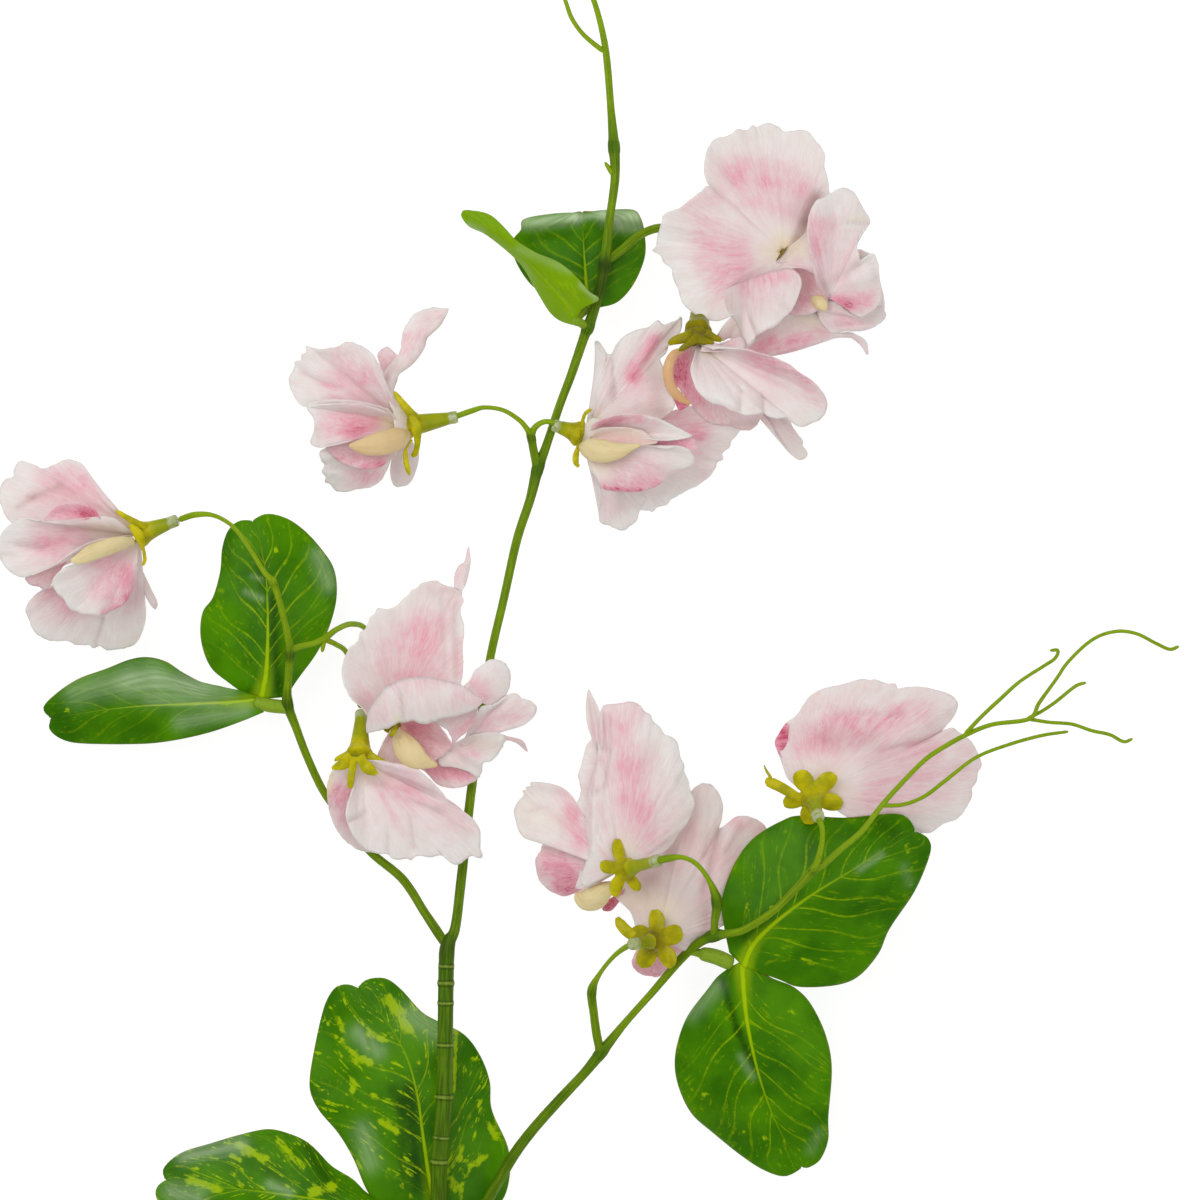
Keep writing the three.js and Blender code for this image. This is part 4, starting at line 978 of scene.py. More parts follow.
def sweep(
    names: tuple[str, str], lines: Sequence[Array], marks: dict[str, Array], tree: bpy.types.NodeTree, **values: Any
) -> bpy.types.Object:
    """Sweep a tube along each of several lines.

    Args:
        names: the name of the mesh of edges and that of the piece.
        lines: rows of x, y, z and diameter in millimetres.
        marks: named values, one for each row of all lines.
        tree: the tube tree.
        values: the tree's inputs, with the material.

    Returns:
        The piece.
    """
    rows = np.concatenate(lines)
    breaks = set(np.cumsum([len(line) for line in lines]).tolist())
    edges = [(i - 1, i) for i in range(1, len(rows)) if i not in breaks]
    mesh = bpy.data.meshes.new(names[0])
    mesh.from_pydata((rows[:, :3] * MM).tolist(), edges, [])
    mark(mesh, "width", rows[:, 3] * MM / 2)
    for key, column in marks.items():
        mark(mesh, key, column)
    obj = new_object(mesh, names[1], values["material"])
    run_tree(obj, tree, **values)
    return obj


@dataclass(frozen=True)
class Knot:
    """A swelling, ring or joint at a point of a stem: place on the drawing, size in millimetres, stain."""

    x: float
    y: float
    length: float
    swell: float
    stain: float = 0.0


@dataclass(frozen=True)
class Stem:
    """A stem with its arms: routes of x, y, z and diameter, and the knots on them."""

    name: str
    routes: dict[str, Points]
    knots: tuple[Knot, ...] = ()
    spacing: float = 0.36
    sides: int = 16
    ridge: float = 0.00007
    seed: float = 3.0

    def build(self, tree: bpy.types.NodeTree, finish: bpy.types.Material) -> bpy.types.Object:
        """Sweep every route.

        Args:
            tree: the tube tree.
            finish: the stem's material.

        Returns:
            The finished piece.
        """
        lines, rings, stains = [], [], []
        for route in self.routes.values():
            line = routed(route, self.spacing)
            x, y = unplace(line)
            ring, stain = np.zeros(len(line)), np.zeros(len(line))
            for knot in self.knots:
                gap = np.hypot(x - knot.x, y - knot.y) * UNIT / knot.length
                line[:, 3] += 2 * knot.swell * np.exp(-(gap**4))
                ring += np.exp(-(gap**2)) * (knot.length < JOINT_LENGTH)
                stain += np.exp(-(gap**2)) * knot.stain
            for point, share in END_TAPER:
                line[point, 3] *= share
            lines.append(line)
            rings.append(ring)
            stains.append(stain)
        young = np.clip((YOUNG_BELOW - np.concatenate(lines)[:, 3]) / YOUNG_OVER, 0, 1)
        marks = {"young": young, "ring": np.concatenate(rings), "stain": np.concatenate(stains)}
        obj = sweep(
            (self.name, f"{self.name}_green"), lines, marks, tree,
            sides=self.sides, ridge=self.ridge, seed=self.seed, material=finish,
        )
        obj.data.name = obj.name
        publish(obj, Slot.STEM, self.name)
        return obj


@dataclass(frozen=True)
class LobeTree:
    """Geometry Nodes that set one sepal out in a ring, turned and sized a little at random."""

    growth: float = 0.8

    def build(self) -> bpy.types.NodeTree:
        """Make the node tree.

        Returns:
            The tree, with inputs Geometry, Count, Radius, Uneven, Seed and Material.
        """
        g, start = node_group("sepal_ring", Count="Int", Radius="Float", Uneven="Float", Seed="Int")
        count, uneven = start.outputs["Count"], start.outputs["Uneven"]
        circle = g.add("GeometryNodeMeshCircle", {"Vertices": count, "Radius": start.outputs["Radius"]})
        index = g.add("GeometryNodeInputIndex").outputs[0]
        sway = g.add(
            "FunctionNodeRandomValue", {2: g.times(uneven, -1.0), 3: uneven, "Seed": start.outputs["Seed"]},
            data_type="FLOAT",
        ).outputs[1]
        turn = g.math("ADD", g.times(index, g.math("DIVIDE", TURN, count)), sway)
        spread = g.add("GeometryNodeInstanceOnPoints", {
            "Points": circle.outputs[0], "Instance": start.outputs["Geometry"],
            "Rotation": g.add("ShaderNodeCombineXYZ", {2: turn}).outputs[0],
            "Scale": g.math("ADD", 1.0, g.times(sway, self.growth)),
        })
        return finish_group(g, start, spread.outputs[0])


def ellipses(centres: Array, widths: Array, depths: Array, sides: int, lean: Array) -> Array:
    """Rings of ellipses along X, for a lofted body.

    Args:
        centres: the middles, as x and z rows.
        widths: half widths along Y.
        depths: half depths along Z.
        sides: points on each ring.
        lean: slope angle of each ring about Y.

    Returns:
        Points as rings, sides, xyz.
    """
    turn = np.linspace(0, TURN, sides, endpoint=False)
    y = np.cos(turn)[None, :] * widths[:, None]
    up = np.sin(turn)[None, :] * depths[:, None]
    x = centres[:, :1] - np.sin(lean)[:, None] * up
    z = centres[:, 1:] + np.cos(lean)[:, None] * up
    return np.stack([np.broadcast_to(x, y.shape), y, z], axis=-1)


@dataclass(frozen=True)
class Petal:
    """A petal or a turned-over part of one, and the folds and flushes on it.

    It fans out from its claw at the receptacle to its rim. With a root it starts there instead: one
    point is a free fan, a line of points makes a flap between two edges. A fold's amount is a height
    in millimetres. lift is how far the middle stands above the straight line from root to rim, ruffle
    and frill how far the rim waves up and in, roll how far a flap's root edge turns down; cross runs
    the veins along a flap, and a twin is a second such petal on the far side of the bloom. tint and warm
    add to flush and cream all over. The painted shade strokes darken creases and the parts that lie in
    the shadow of other petals, and shade lays painted shade over the whole petal.
    """

    rim: Points
    claw: Point = (0.0, 0.0, 0.0)
    root: Points = ()
    lift: float = 2.0
    twin: bool = False
    ruffle: float = 0.42
    frill: float = 0.16
    roll: float = 0.0
    cross: bool = False
    tint: float = 0.0
    shade: float = 0.0
    warm: float = 0.0
    folds: Points = ()
    flush: Points = ()
    cream: Points = ()
    dusk: Points = ()

    def mirrored(self, throat: Point, height: float, heart: float) -> "Petal":
        """The second petal of a pair, on the side away from the viewer.

        Args:
            throat: the bloom's throat on the drawing.
            height: the height of the mirror plane.
            heart: the height of the receptacle's middle.

        Returns:
            The mirrored petal.
        """

        def away(p: Point, level: float) -> Point:
            """Mirror a point in a level plane and draw it in towards the throat."""
            tx, ty = throat[:2]
            return (tx + (p[0] - tx) * TWIN_SIZE, ty + (p[1] - ty) * TWIN_SIZE, 2 * level - p[2])

        rim = tuple(away(p, height) for p in reversed(self.rim))
        return Petal(rim, away(self.claw, heart), lift=-self.lift, flush=self.flush)

    def edges(self, heart: Array) -> tuple[Array, Array]:
        """The line the petal starts from and its rim, with the same number of points.

        Args:
            heart: the middle of the receptacle, in millimetres.

        Returns:
            Both lines, in millimetres.
        """
        rim = even(place(self.rim), RIM_STEP)
        if len(self.root) > 1:
            line = even(place(self.root), FINE_STEP)
            share = np.linspace(0, len(line) - 1, len(rim))
            return np.stack([np.interp(share, np.arange(len(line)), axis) for axis in line.T], axis=1), rim
        if self.root:
            return np.broadcast_to(place(self.root), rim.shape), rim
        claw = place([self.claw])[0] - heart
        start = heart + claw * min(1.0, CLAW_SPREAD / max(float(np.linalg.norm(claw)), 1e-6))
        return np.broadcast_to(start + (rim - start) * CLAW_SHARE, rim.shape), rim

    @staticmethod
    def eased(rim: Array) -> Array:
        """The rim without its small notches, which the inside of the petal follows.

        Args:
            rim: the rim's points, evenly spaced.

        Returns:
            As many points on a smoother line with the same ends.
        """
        reach = min(EASED_REACH, (len(rim) - 1) // 3)
        if reach < 1:
            return rim
        before, after = 2 * rim[0] - rim[reach:0:-1], 2 * rim[-1] - rim[-2:-reach - 2:-1]
        kernel = np.hanning(2 * reach + 3)[1:-1]
        padded = np.vstack([before, rim, after])
        return np.stack([np.convolve(axis, kernel / kernel.sum(), "valid") for axis in padded.T], axis=1)

    def build(self, skin: Skin, heart: Array, rng: np.random.Generator) -> None:
        """Add the petal to a bloom's mesh.

        Args:
            skin: the mesh in the making.
            heart: the middle of the receptacle, in millimetres.
            rng: the bloom's random source.
        """
        start, rim = self.edges(heart)
        fan = len(self.root) < 2
        run = travelled(rim)
        depth = np.linalg.norm(rim - start, axis=1)
        rows = max(FEWEST_ROWS, int(round(np.percentile(depth, 80) / ROW_STEP)))
        v = 1 - (1 - np.linspace(0, 1, rows)) ** ROW_CROWDING
        if self.root and fan:
            v = ROOT_SHARE + (1 - ROOT_SHARE) * v
        along = np.linspace(0, 1, len(rim))
        scallop = waves(run, FRILL_WAVES, rng) * self.frill
        out = 1 + (scallop / np.maximum(depth, 4.0))[None, :] * v[:, None] ** FRILL_ONSET
        sharp = (v**3)[:, None, None]
        reach = (rim - start) * sharp + (self.eased(rim) - start) * (1 - sharp)
        grid = start + reach * (v[:, None] * out)[:, :, None]
        ends = 0.4 + 0.6 * np.sin(math.pi * along) if fan else np.sin(math.pi * along) ** 0.5
        grid[:, :, 2] += self.lift * (4 * v * (1 - v))[:, None] * ends[None, :]
        big = waves(run, RUFFLE_WAVES, rng) * self.ruffle
        small = waves(run, RIPPLE_WAVES, rng) * self.ruffle * RIPPLE_SHARE
        edge = np.minimum(1.0, np.minimum(run, run[-1] - run) / 4.0)
        grid[:, :, 2] += (v[:, None] ** RUFFLE_ONSET) * (big * edge)[None, :]
        grid[:, :, 2] += (v[:, None] ** RIPPLE_ONSET) * (small * edge)[None, :]
        grid[:, :, 2] -= self.roll * (np.clip(1 - v / ROLL_REACH, 0, 1) ** 2)[:, None] * ends[None, :]
        x, y = unplace(grid)
        near = np.minimum(1.0, v * 2.5)[:, None] if not self.root else 1.0
        grid[:, :, 2] += strokes(self.folds, x, y) * near
        crease = waves(run, CREASE_WAVES, rng) * CREASE_HEIGHT * min(1.0, self.ruffle * 3)
        grid[:, :, 2] += crease[None, :] * (np.sin(math.pi * v**1.5) ** 1.2)[:, None]
        blush = EVEN_FLUSH * waves(run, BLUSH_WAVES, rng)[None, :] * np.exp(-(((v - 0.5) / 0.3) ** 2))[:, None]
        flush = np.clip(blush, 0, None) + EVEN_FLUSH * (1 - v[:, None] ** 3) + self.tint
        heel = HEEL_CREAM * np.exp(-((v / HEEL_REACH) ** 2))[:, None] * (not self.root)
        tones = {
            "flush": flush + strokes(self.flush, x, y, FLUSH_SOFTNESS),
            "cream": strokes(self.cream, x, y) + heel + self.warm,
            # Painted shade: strokes over creases and parts in shadow, plus the petal's shade all over.
            "dusk": strokes(self.dusk, x, y) + self.shade,
            "vein": np.broadcast_to(np.clip(v / 0.45, 0.1, 1)[:, None] if fan else 1.0, flush.shape),
        }
        long, wide = (run / 10.0)[None, :] + rng.uniform(0, 9), v[:, None] * (3.0 if fan else np.median(depth) / 10)
        uv = np.stack(np.broadcast_arrays(*((wide, long) if self.cross else (long, wide))), axis=-1)
        skin.sheet(grid, uv, PETAL_THICKNESS, **tones)


@dataclass(frozen=True)
class Bloom:
    """One bloom: its calyx from sleeve to throat, its keel and its petals.

    Sepals that the drawing shows are laid one by one; else five of the given length and half width
    stand round the throat, splayed from the axis and turned about it, in degrees. strips is a loose
    sepal, tube and flare shape the calyx, and dusky darkens it.
    """

    name: str
    sleeve: Point
    throat: Point
    splay: float
    keel: Points
    petals: tuple[Petal, ...]
    twin_height: float = 0.0
    turn: float = 0.0
    sepal: Point = (4.9, 1.45)
    sepals: tuple[Points, ...] = ()
    strips: Points = ()
    tube: float = 1.25
    flare: float = 0.0
    ripe: float = 0.1
    dusky: float = 1.0

    @property
    def axis(self) -> Array:
        """The calyx's unit direction, from its sleeve to its throat."""
        foot, top = place([self.sleeve, self.throat])
        return (top - foot) / np.linalg.norm(top - foot)

    @property
    def heart(self) -> Array:
        """The middle of the receptacle, in millimetres."""
        return place([self.throat])[0] + self.axis * (MOUTH_AHEAD if self.sepals else CORE_AHEAD)

    @property
    def seed(self) -> int:
        """A fixed seed that differs from bloom to bloom."""
        return 17 * int(self.name.split("_")[1]) + 5

    def build_petals(self, finish: bpy.types.Material) -> bpy.types.Object:
        """Build every petal of the bloom as one piece.

        Args:
            finish: the petal cloth.

        Returns:
            The finished piece.
        """
        skin = Skin()
        heart = self.heart
        for number, petal in enumerate(self.petals):
            petal.build(skin, heart, np.random.default_rng(self.seed + number))
            if petal.twin:
                second = petal.mirrored(self.throat, self.twin_height, float(heart[2]))
                second.build(skin, heart, np.random.default_rng(self.seed + 50 + number))
        obj = skin.piece(f"{self.name}_petals_cloth", finish)
        publish(obj, Slot.PETAL, f"{self.name}_petals")
        return obj

    def build_keel(self, finish: bpy.types.Material) -> bpy.types.Object:
        """Build the boat-shaped keel with its seam along the outer side.

        Args:
            finish: the keel's material.

        Returns:
            The finished piece.
        """
        line = routed(self.keel, KEEL_STEP)
        tangent = tangents(line)
        across = np.cross(UP, tangent)
        across /= np.maximum(np.linalg.norm(across, axis=1, keepdims=True), 1e-9)
        over = np.cross(tangent, across)
        turn = np.linspace(0, TURN, KEEL_SIDES, endpoint=False)
        seam = 1 + SEAM_HEIGHT * np.exp(-(((turn - math.pi / 2) / SEAM_WIDTH) ** 2))
        half = line[:, 3] / 2
        side = np.cos(turn)[None, :, None] * half[:, None, None] * across[:, None, :]
        high = (np.sin(turn) * seam)[None, :, None] * half[:, None, None] * KEEL_FLATNESS * over[:, None, :]
        rings = line[:, None, :3] + side + high
        uv = np.stack(np.meshgrid(turn / KEEL_WRAP, np.linspace(0, 2, len(line))), axis=-1)
        skin = Skin()
        skin.loft(rings[::-1], uv, ripe=np.full(rings.shape[:2], self.ripe))
        obj = skin.piece(f"{self.name}_keel_cream", finish)
        publish(obj, Slot.KEEL, f"{self.name}_keel")
        return obj


@dataclass(frozen=True)
class Calyx:
    """The green cup of a bloom: tube, cup and five thick lobes, and the clear sleeve at its foot."""

    bloom: Bloom
    cup_radius: float = 2.9
    lobe_depth: float = 0.62
    lobe_root: float = 1.4  # how far a lobe reaches into the cup
    lobe_curl: float = 0.35
    voxel: float = 0.22
    core_radius: float = 2.6
    sleeve_radius: float = 1.42
    sleeve_half: float = 1.1
    sleeve_grid: tuple[int, int] = (12, 24)

    def lobe(self) -> bpy.types.Mesh:
        """One rounded sepal along +X from the ring, leaning by the bloom's splay.

        Returns:
            The sepal's mesh, in metres.
        """
        t = np.linspace(0, 1, LOBE_RINGS)
        length, wide = self.bloom.sepal
        width = wide * np.sqrt(np.clip(1 - ((t - 0.56) / 0.47) ** 2, 0.015, 1))
        width = np.maximum(width, np.where(t < 0.5, wide * 0.72, 0.0))
        depth = self.lobe_depth * np.sqrt(np.clip(1 - ((t - 0.45) / 0.56) ** 2, 0.04, 1))
        lean = math.radians(90 - self.bloom.splay)
        slope = lean + self.lobe_curl * (0.5 - t)
        step = (length + self.lobe_root) / (len(t) - 1)
        x = -self.lobe_root + np.concatenate([[0], np.cumsum(np.cos(slope[:-1]) * step)])
        z = np.concatenate([[0], np.cumsum(np.sin(slope[:-1]) * step)]) - 1.2 * math.sin(lean)
        rings = ellipses(np.stack([x, z], axis=1), width, depth, LOBE_SIDES, slope)
        rings[..., 2] += 0.16 * rings[..., 1] ** 2 / wide * np.cos(slope)[:, None]
        skin = Skin()
        skin.loft(rings[::-1], np.zeros((*rings.shape[:2], 2)))
        return skin.mesh("lobe")

    def cup(self) -> Skin:
        """The tube and cup about +Z, with the throat at the origin.

        Returns:
            The skin of the cup.
        """
        foot, top = place([self.bloom.sleeve, self.bloom.throat])
        length = float(np.linalg.norm(top - foot))
        profile = (
            (-length, 1.0), (-length, self.bloom.tube),
            (-length * 0.5, self.bloom.tube * 1.12 + self.bloom.flare * 0.5),
            (-length * 0.25, self.bloom.tube * 1.5 + self.bloom.flare * 0.35), (-0.9, self.cup_radius * 0.86),
            (-0.1, self.cup_radius), (0.5, self.cup_radius * 1.02),
        )
        dish = ((0.55, self.cup_radius * 0.8), (-0.5, 1.2), (-0.7, 0.3))
        dome = ((1.0, self.cup_radius * 0.8), (1.4, self.cup_radius * 0.45), (1.55, 0.2))
        profile += dome if self.bloom.sepals else dish
        dense = even(np.array([(0.0, z, r) for z, r in profile]), CUP_STEP)
        turn = np.linspace(0, TURN, CUP_SIDES, endpoint=False)
        rib = 1 + CUP_RIB * np.cos(5 * turn)[None, :] * np.clip(dense[:, 2:] / self.cup_radius, 0, 1)
        radius = dense[:, 2:] * rib
        rings = np.stack(
            [radius * np.cos(turn), radius * np.sin(turn), np.broadcast_to(dense[:, 1:2], radius.shape)],
            axis=-1,
        )
        skin = Skin()
        skin.loft(rings, np.zeros((*rings.shape[:2], 2)))
        return skin

    def build(self, tree: bpy.types.NodeTree, finishes: Finishes) -> bpy.types.Object:
        """Join tube, cup and lobes into one smooth body.

        Args:
            tree: the sepal ring tree.
            finishes: the spray's finishes.

        Returns:
            The finished piece.
        """
        bloom = self.bloom
        obj = new_object(self.lobe(), f"{bloom.name}_calyx_olive", finishes.calyx)
        ring = (self.cup_radius - 0.7) * MM
        run_tree(obj, tree, count=5, radius=ring, uneven=0.1, seed=bloom.seed, material=finishes.calyx)
        parts = [] if bloom.sepals else [obj.data]
        parts.append(self.cup().mesh("cup"))
        upright = self.stance().inverted()
        for sepal in bloom.sepals:
            parts.append(self.strip(sepal).mesh("sepal"))
            parts[-1].transform(upright)
        join_into(obj.data, *parts)
        remesh = obj.modifiers.new("one_body", "REMESH")
        remesh.mode = "VOXEL"
        remesh.voxel_size = self.voxel * MM
        smooth = obj.modifiers.new("soft", "SMOOTH")
        smooth.factor = 0.5
        smooth.iterations = 4
        baked(obj)
        mesh = obj.data
        self.shade(mesh)
        shade_smooth(mesh)
        mesh.transform(self.stance())
        if bloom.strips:
            join_into(mesh, mesh, self.strip(bloom.strips).mesh("strip"))
        dress(mesh, finishes.calyx)
        mesh.name = obj.name
        publish(obj, Slot.CALYX, f"{bloom.name}_calyx")
        self.build_sleeve(finishes.sleeve)
        return obj

    def shade(self, mesh: bpy.types.Mesh) -> None:
        """Lay the values core and foot on the upright calyx.

        Args:
            mesh: the calyx, with its throat at the origin.
        """
        spots = np.empty(len(mesh.vertices) * 3)
        mesh.vertices.foreach_get("co", spots)
        x, y, z = spots.reshape(-1, 3).T / MM
        core = np.exp(-((np.hypot(x, y) / self.core_radius) ** 2)) * (z > -2.5)
        core *= (0.3 if self.bloom.sepals else 1.0) * self.bloom.dusky
        core += 0.4 * max(0.0, self.bloom.dusky - 1)
        mark(mesh, "core", core)
        mark(mesh, "foot", np.clip((-1.6 - z) / 2.5, 0, 1))

    @staticmethod
    def strip(route: Points) -> Skin:
        """A sepal that follows a route.

        Args:
            route: x, y, z and width along it.

        Returns:
            The skin of the sepal.
        """
        line = routed(route, LAID_STEP)
        across = np.cross(UP, tangents(line))
        turn = np.linspace(0, TURN, LAID_SIDES, endpoint=False)[None, :, None]
        half = line[:, 3][:, None, None] / 2
        side = np.cos(turn) * half * across[:, None, :]
        rings = line[:, None, :3] + side + np.sin(turn) * half * LAID_FLATNESS * np.array(UP)
        skin = Skin()
        skin.loft(rings[::-1], np.zeros((*rings.shape[:2], 2)), core=np.full(rings.shape[:2], LAID_CORE))
        return skin

    def stance(self) -> Matrix:
        """The matrix that takes +Z to the calyx's axis and the origin to its throat."""
        axis = Vector(self.bloom.axis)
        side = Vector((0, 0, 1)).cross(axis)
        side = side.normalized() if side.length > 0.2 else (Vector((1, 0, 0)) - axis * axis.x).normalized()
        other = axis.cross(side)
        frame_of = Matrix((side, other, axis)).transposed().to_4x4()
        spin = Matrix.Rotation(math.radians(self.bloom.turn), 4, "Z")
        return Matrix.Translation(Vector(place([self.bloom.throat])[0] * MM)) @ frame_of @ spin

    def build_sleeve(self, finish: bpy.types.Material) -> bpy.types.Object:
        """Build the short clear sleeve over the joint of pedicel and tube.

        Args:
            finish: the clear plastic.

        Returns:
            The finished piece.
        """
        rows, sides = self.sleeve_grid
        steps = np.linspace(-self.sleeve_half, self.sleeve_half, rows)
        radius = self.sleeve_radius * (1 - 0.12 * (np.abs(steps) / self.sleeve_half) ** 6)[:, None]
        turn = np.linspace(0, TURN, sides, endpoint=False)
        local = [radius * np.cos(turn), radius * np.sin(turn), np.broadcast_to(steps[:, None], (rows, sides))]
        basis = np.array(self.stance().to_3x3())
        skin = Skin()
        skin.loft(np.stack(local, axis=-1) @ basis.T + place([self.bloom.sleeve])[0], np.zeros((rows, sides, 2)))
        obj = skin.piece(f"{self.bloom.name}_sleeve", finish)
        publish(obj, Slot.CALYX)
        return obj


@dataclass(frozen=True)
class Leaflet:
    """A leaflet between its rib and its two edges, with its veins, flecks and the marks laid on it.

    fleck is the strength of the small lime flecks, clear that of the side veins, and under is 1 where
    the pale underside shows. The dark strokes are painted shade, in creases and where the stem shades the
    blade, and the sheen strokes are painted sheen, pale patches that stand in for reflected light.
    """

    rib: Points
    left: Points
    right: Points
    fleck: float = 0.35
    under: float = 0.0
    clear: float = 1.0
    veins: int = 8
    folds: Points = ()
    lime: Points = ()
    dark: Points = ()
    sheen: Points = ()

    def courses(self, a: Array, s: Array, length: float, rng: np.random.Generator) -> dict[str, Array]:
        """Lay the side veins of both halves.

        Args:
            a: places along the rib, from 0 to 1.
            s: places across, -1 on the left edge, 0 on the rib and 1 on the right edge.
            length: the rib's length in millimetres.
            rng: the leaf's random source.

        Returns:
            The named values from which the finish draws the veins.
        """
        n = self.veins
        gap, force, dash = (np.zeros((len(a), len(s))) for _ in range(3))
        values: dict[str, Array] = {}
        for name, sign in (("course_left", -1), ("course_right", 1)):
            feet = ((np.arange(n) + rng.uniform(0.15, 0.6, n)) / (n + 0.4)) ** 1.15
            bend = 0.37 * (1 - 0.5 * feet) * rng.uniform(0.88, 1.12, n)
            half = np.where(np.sign(s) == sign, np.abs(s), 0.0)
            sway = 0.014 * np.sin(half * 9 + rng.uniform(0, 6, (n, 1)))
            lines = feet[:, None] + bend[:, None] * half**0.8 + sway
            lines = np.sort(np.vstack([np.full(len(s), -1.0), lines, np.full(len(s), 2.0)]), axis=0)
            strength = np.concatenate([[0], rng.uniform(0.6, 1.0, n), [0]])
            count = np.stack([np.interp(a, lines[:, j], np.arange(n + 2)) for j in range(len(s))], axis=1)
            k = np.minimum(count.astype(int), n)
            column = np.arange(len(s))
            mine = ((np.sign(s) == sign) | (s == 0))[None, :]
            gap = np.where(mine, (lines[k + 1, column] - lines[k, column]) * length * 0.8, gap)
            force = np.where(mine, np.interp(count, np.arange(n + 2), strength), force)
            dash = np.where(mine, count * DASHES, dash)
            values[name] = count
        force = force * self.clear * np.clip(1.1 - np.abs(s), 0, 1)[None, :] ** 0.9
        return {**values, "gap": gap, "force": force, "dash": dash}

    def build(self, skin: Skin, rng: np.random.Generator) -> None:
        """Add the leaflet to a leaf's mesh.

        Args:
            skin: the mesh in the making.
            rng: the leaf's random source.
        """
        a = np.linspace(0.0, 0.995, BLADE_ROWS)
        rib, left, right = (paced(place(p), a) for p in (self.rib, self.left, self.right))
        halves = np.linspace(0, 1, BLADE_HALF + 1)
        s = np.concatenate([-halves[:0:-1], halves])
        reach = np.abs(s)[None, :, None]
        edge = np.where((s < 0)[None, :, None], left[:, None, :], right[:, None, :])
        grid = rib[:, None, :] * (1 - reach) + edge * reach
        across = np.linalg.norm(edge - rib[:, None, :], axis=2)
        length = float(np.sum(np.linalg.norm(np.diff(rib, axis=0), axis=1)))
        dish = DISH * 4 * np.abs(s) * (1 - np.abs(s))
        grid[:, :, 2] += dish[None, :] * np.clip(across / DISH_FROM, 0, 1)
        courses = self.courses(a, s, length, rng)
        thick = 0.2 + 0.85 * np.clip(1 - a, 0, 1) ** 2.6
        rib_gap = across * np.abs(s)[None, :] / thick[:, None]
        course = np.mod(courses["dash"] / DASHES, 1.0)
        off_vein = np.minimum(course, 1 - course)
        groove = np.exp(-((off_vein * courses["gap"] / VEIN_WIDTH) ** 2)) * courses["force"]
        sunk = np.exp(-(rib_gap**2)) * np.clip((0.9 - a) / 0.5, 0, 1)[:, None]
        grid[:, :, 2] -= VEIN_DEPTH * groove + RIB_DEPTH * sunk
        x, y = unplace(grid)
        grid[:, :, 2] += strokes(self.folds, x, y)
        wave = waves(a * length, LEAF_WAVES, rng)[:, None] * (np.abs(s) ** 3)[None, :] * LEAF_WAVE
        grid[:, :, 2] += wave * np.clip(a / 0.15, 0, 1)[:, None]
        uv = np.stack(np.broadcast_arrays(a[:, None] * length / 40, s[None, :] * 0.5), axis=-1)
        full = np.ones_like(rib_gap)
        margin = np.minimum(across * (1 - np.abs(s))[None, :], ((1 - a) * length)[:, None])
        # lime marks the leaf's own patches; dark is painted shade and sheen is painted sheen.
        marks = {name: strokes(getattr(self, name), x, y) for name in ("lime", "dark", "sheen")}
        skin.sheet(
            grid, uv, LEAF_THICKNESS, margin=margin, rib_gap=rib_gap, along=full * a[:, None], side=full * s[None, :],
            reach=full * np.abs(s)[None, :] * 5.0, fleck=full * self.fleck, under=full * self.under,
            **courses, **marks,
        )


@dataclass(frozen=True)
class Leaf:
    """A leaf: a petiole and its two leaflets."""

    name: str
    petiole: Points
    leaflets: tuple[Leaflet, ...]

    def build(self, finishes: Finishes, tree: bpy.types.NodeTree) -> bpy.types.Object:
        """Build both leaflets as one piece, and the petiole beside them.

        Args:
            finishes: the spray's finishes.
            tree: the tube tree.

        Returns:
            The leaflets' piece.
        """
        skin = Skin()
        rng = np.random.default_rng(sum(map(ord, self.name)))
        for leaflet in self.leaflets:
            leaflet.build(skin, rng)
        obj = skin.piece(f"{self.name}_blades", finishes.leaf)
        publish(obj, Slot.LEAF, self.name)
        Petiole(f"{self.name}_petiole", self.petiole).build(tree, finishes.petiole)
        return obj


@dataclass(frozen=True)
class Petiole:
    """The moulded foot that holds a leaf to its stem."""

    name: str
    route: Points
    spacing: float = 0.4
    sides: int = 18
    ridge: float = 0.00002
    seed: float = 8.0
    young: float = 0.8

    def build(self, tree: bpy.types.NodeTree, finish: bpy.types.Material) -> bpy.types.Object:
        """Sweep the petiole.

        Args:
            tree: the tube tree.
            finish: the petiole's material.

        Returns:
            The finished piece.
        """
        line = routed(self.route, self.spacing)
        line[0, 3] *= 0.6
        line[-1, 3] *= 0.5
        obj = sweep(
            (self.name, self.name), [line], {"young": np.full(len(line), self.young)}, tree,
            sides=self.sides, ridge=self.ridge, seed=self.seed, material=finish,
        )
        publish(obj, Slot.LEAF)
        return obj


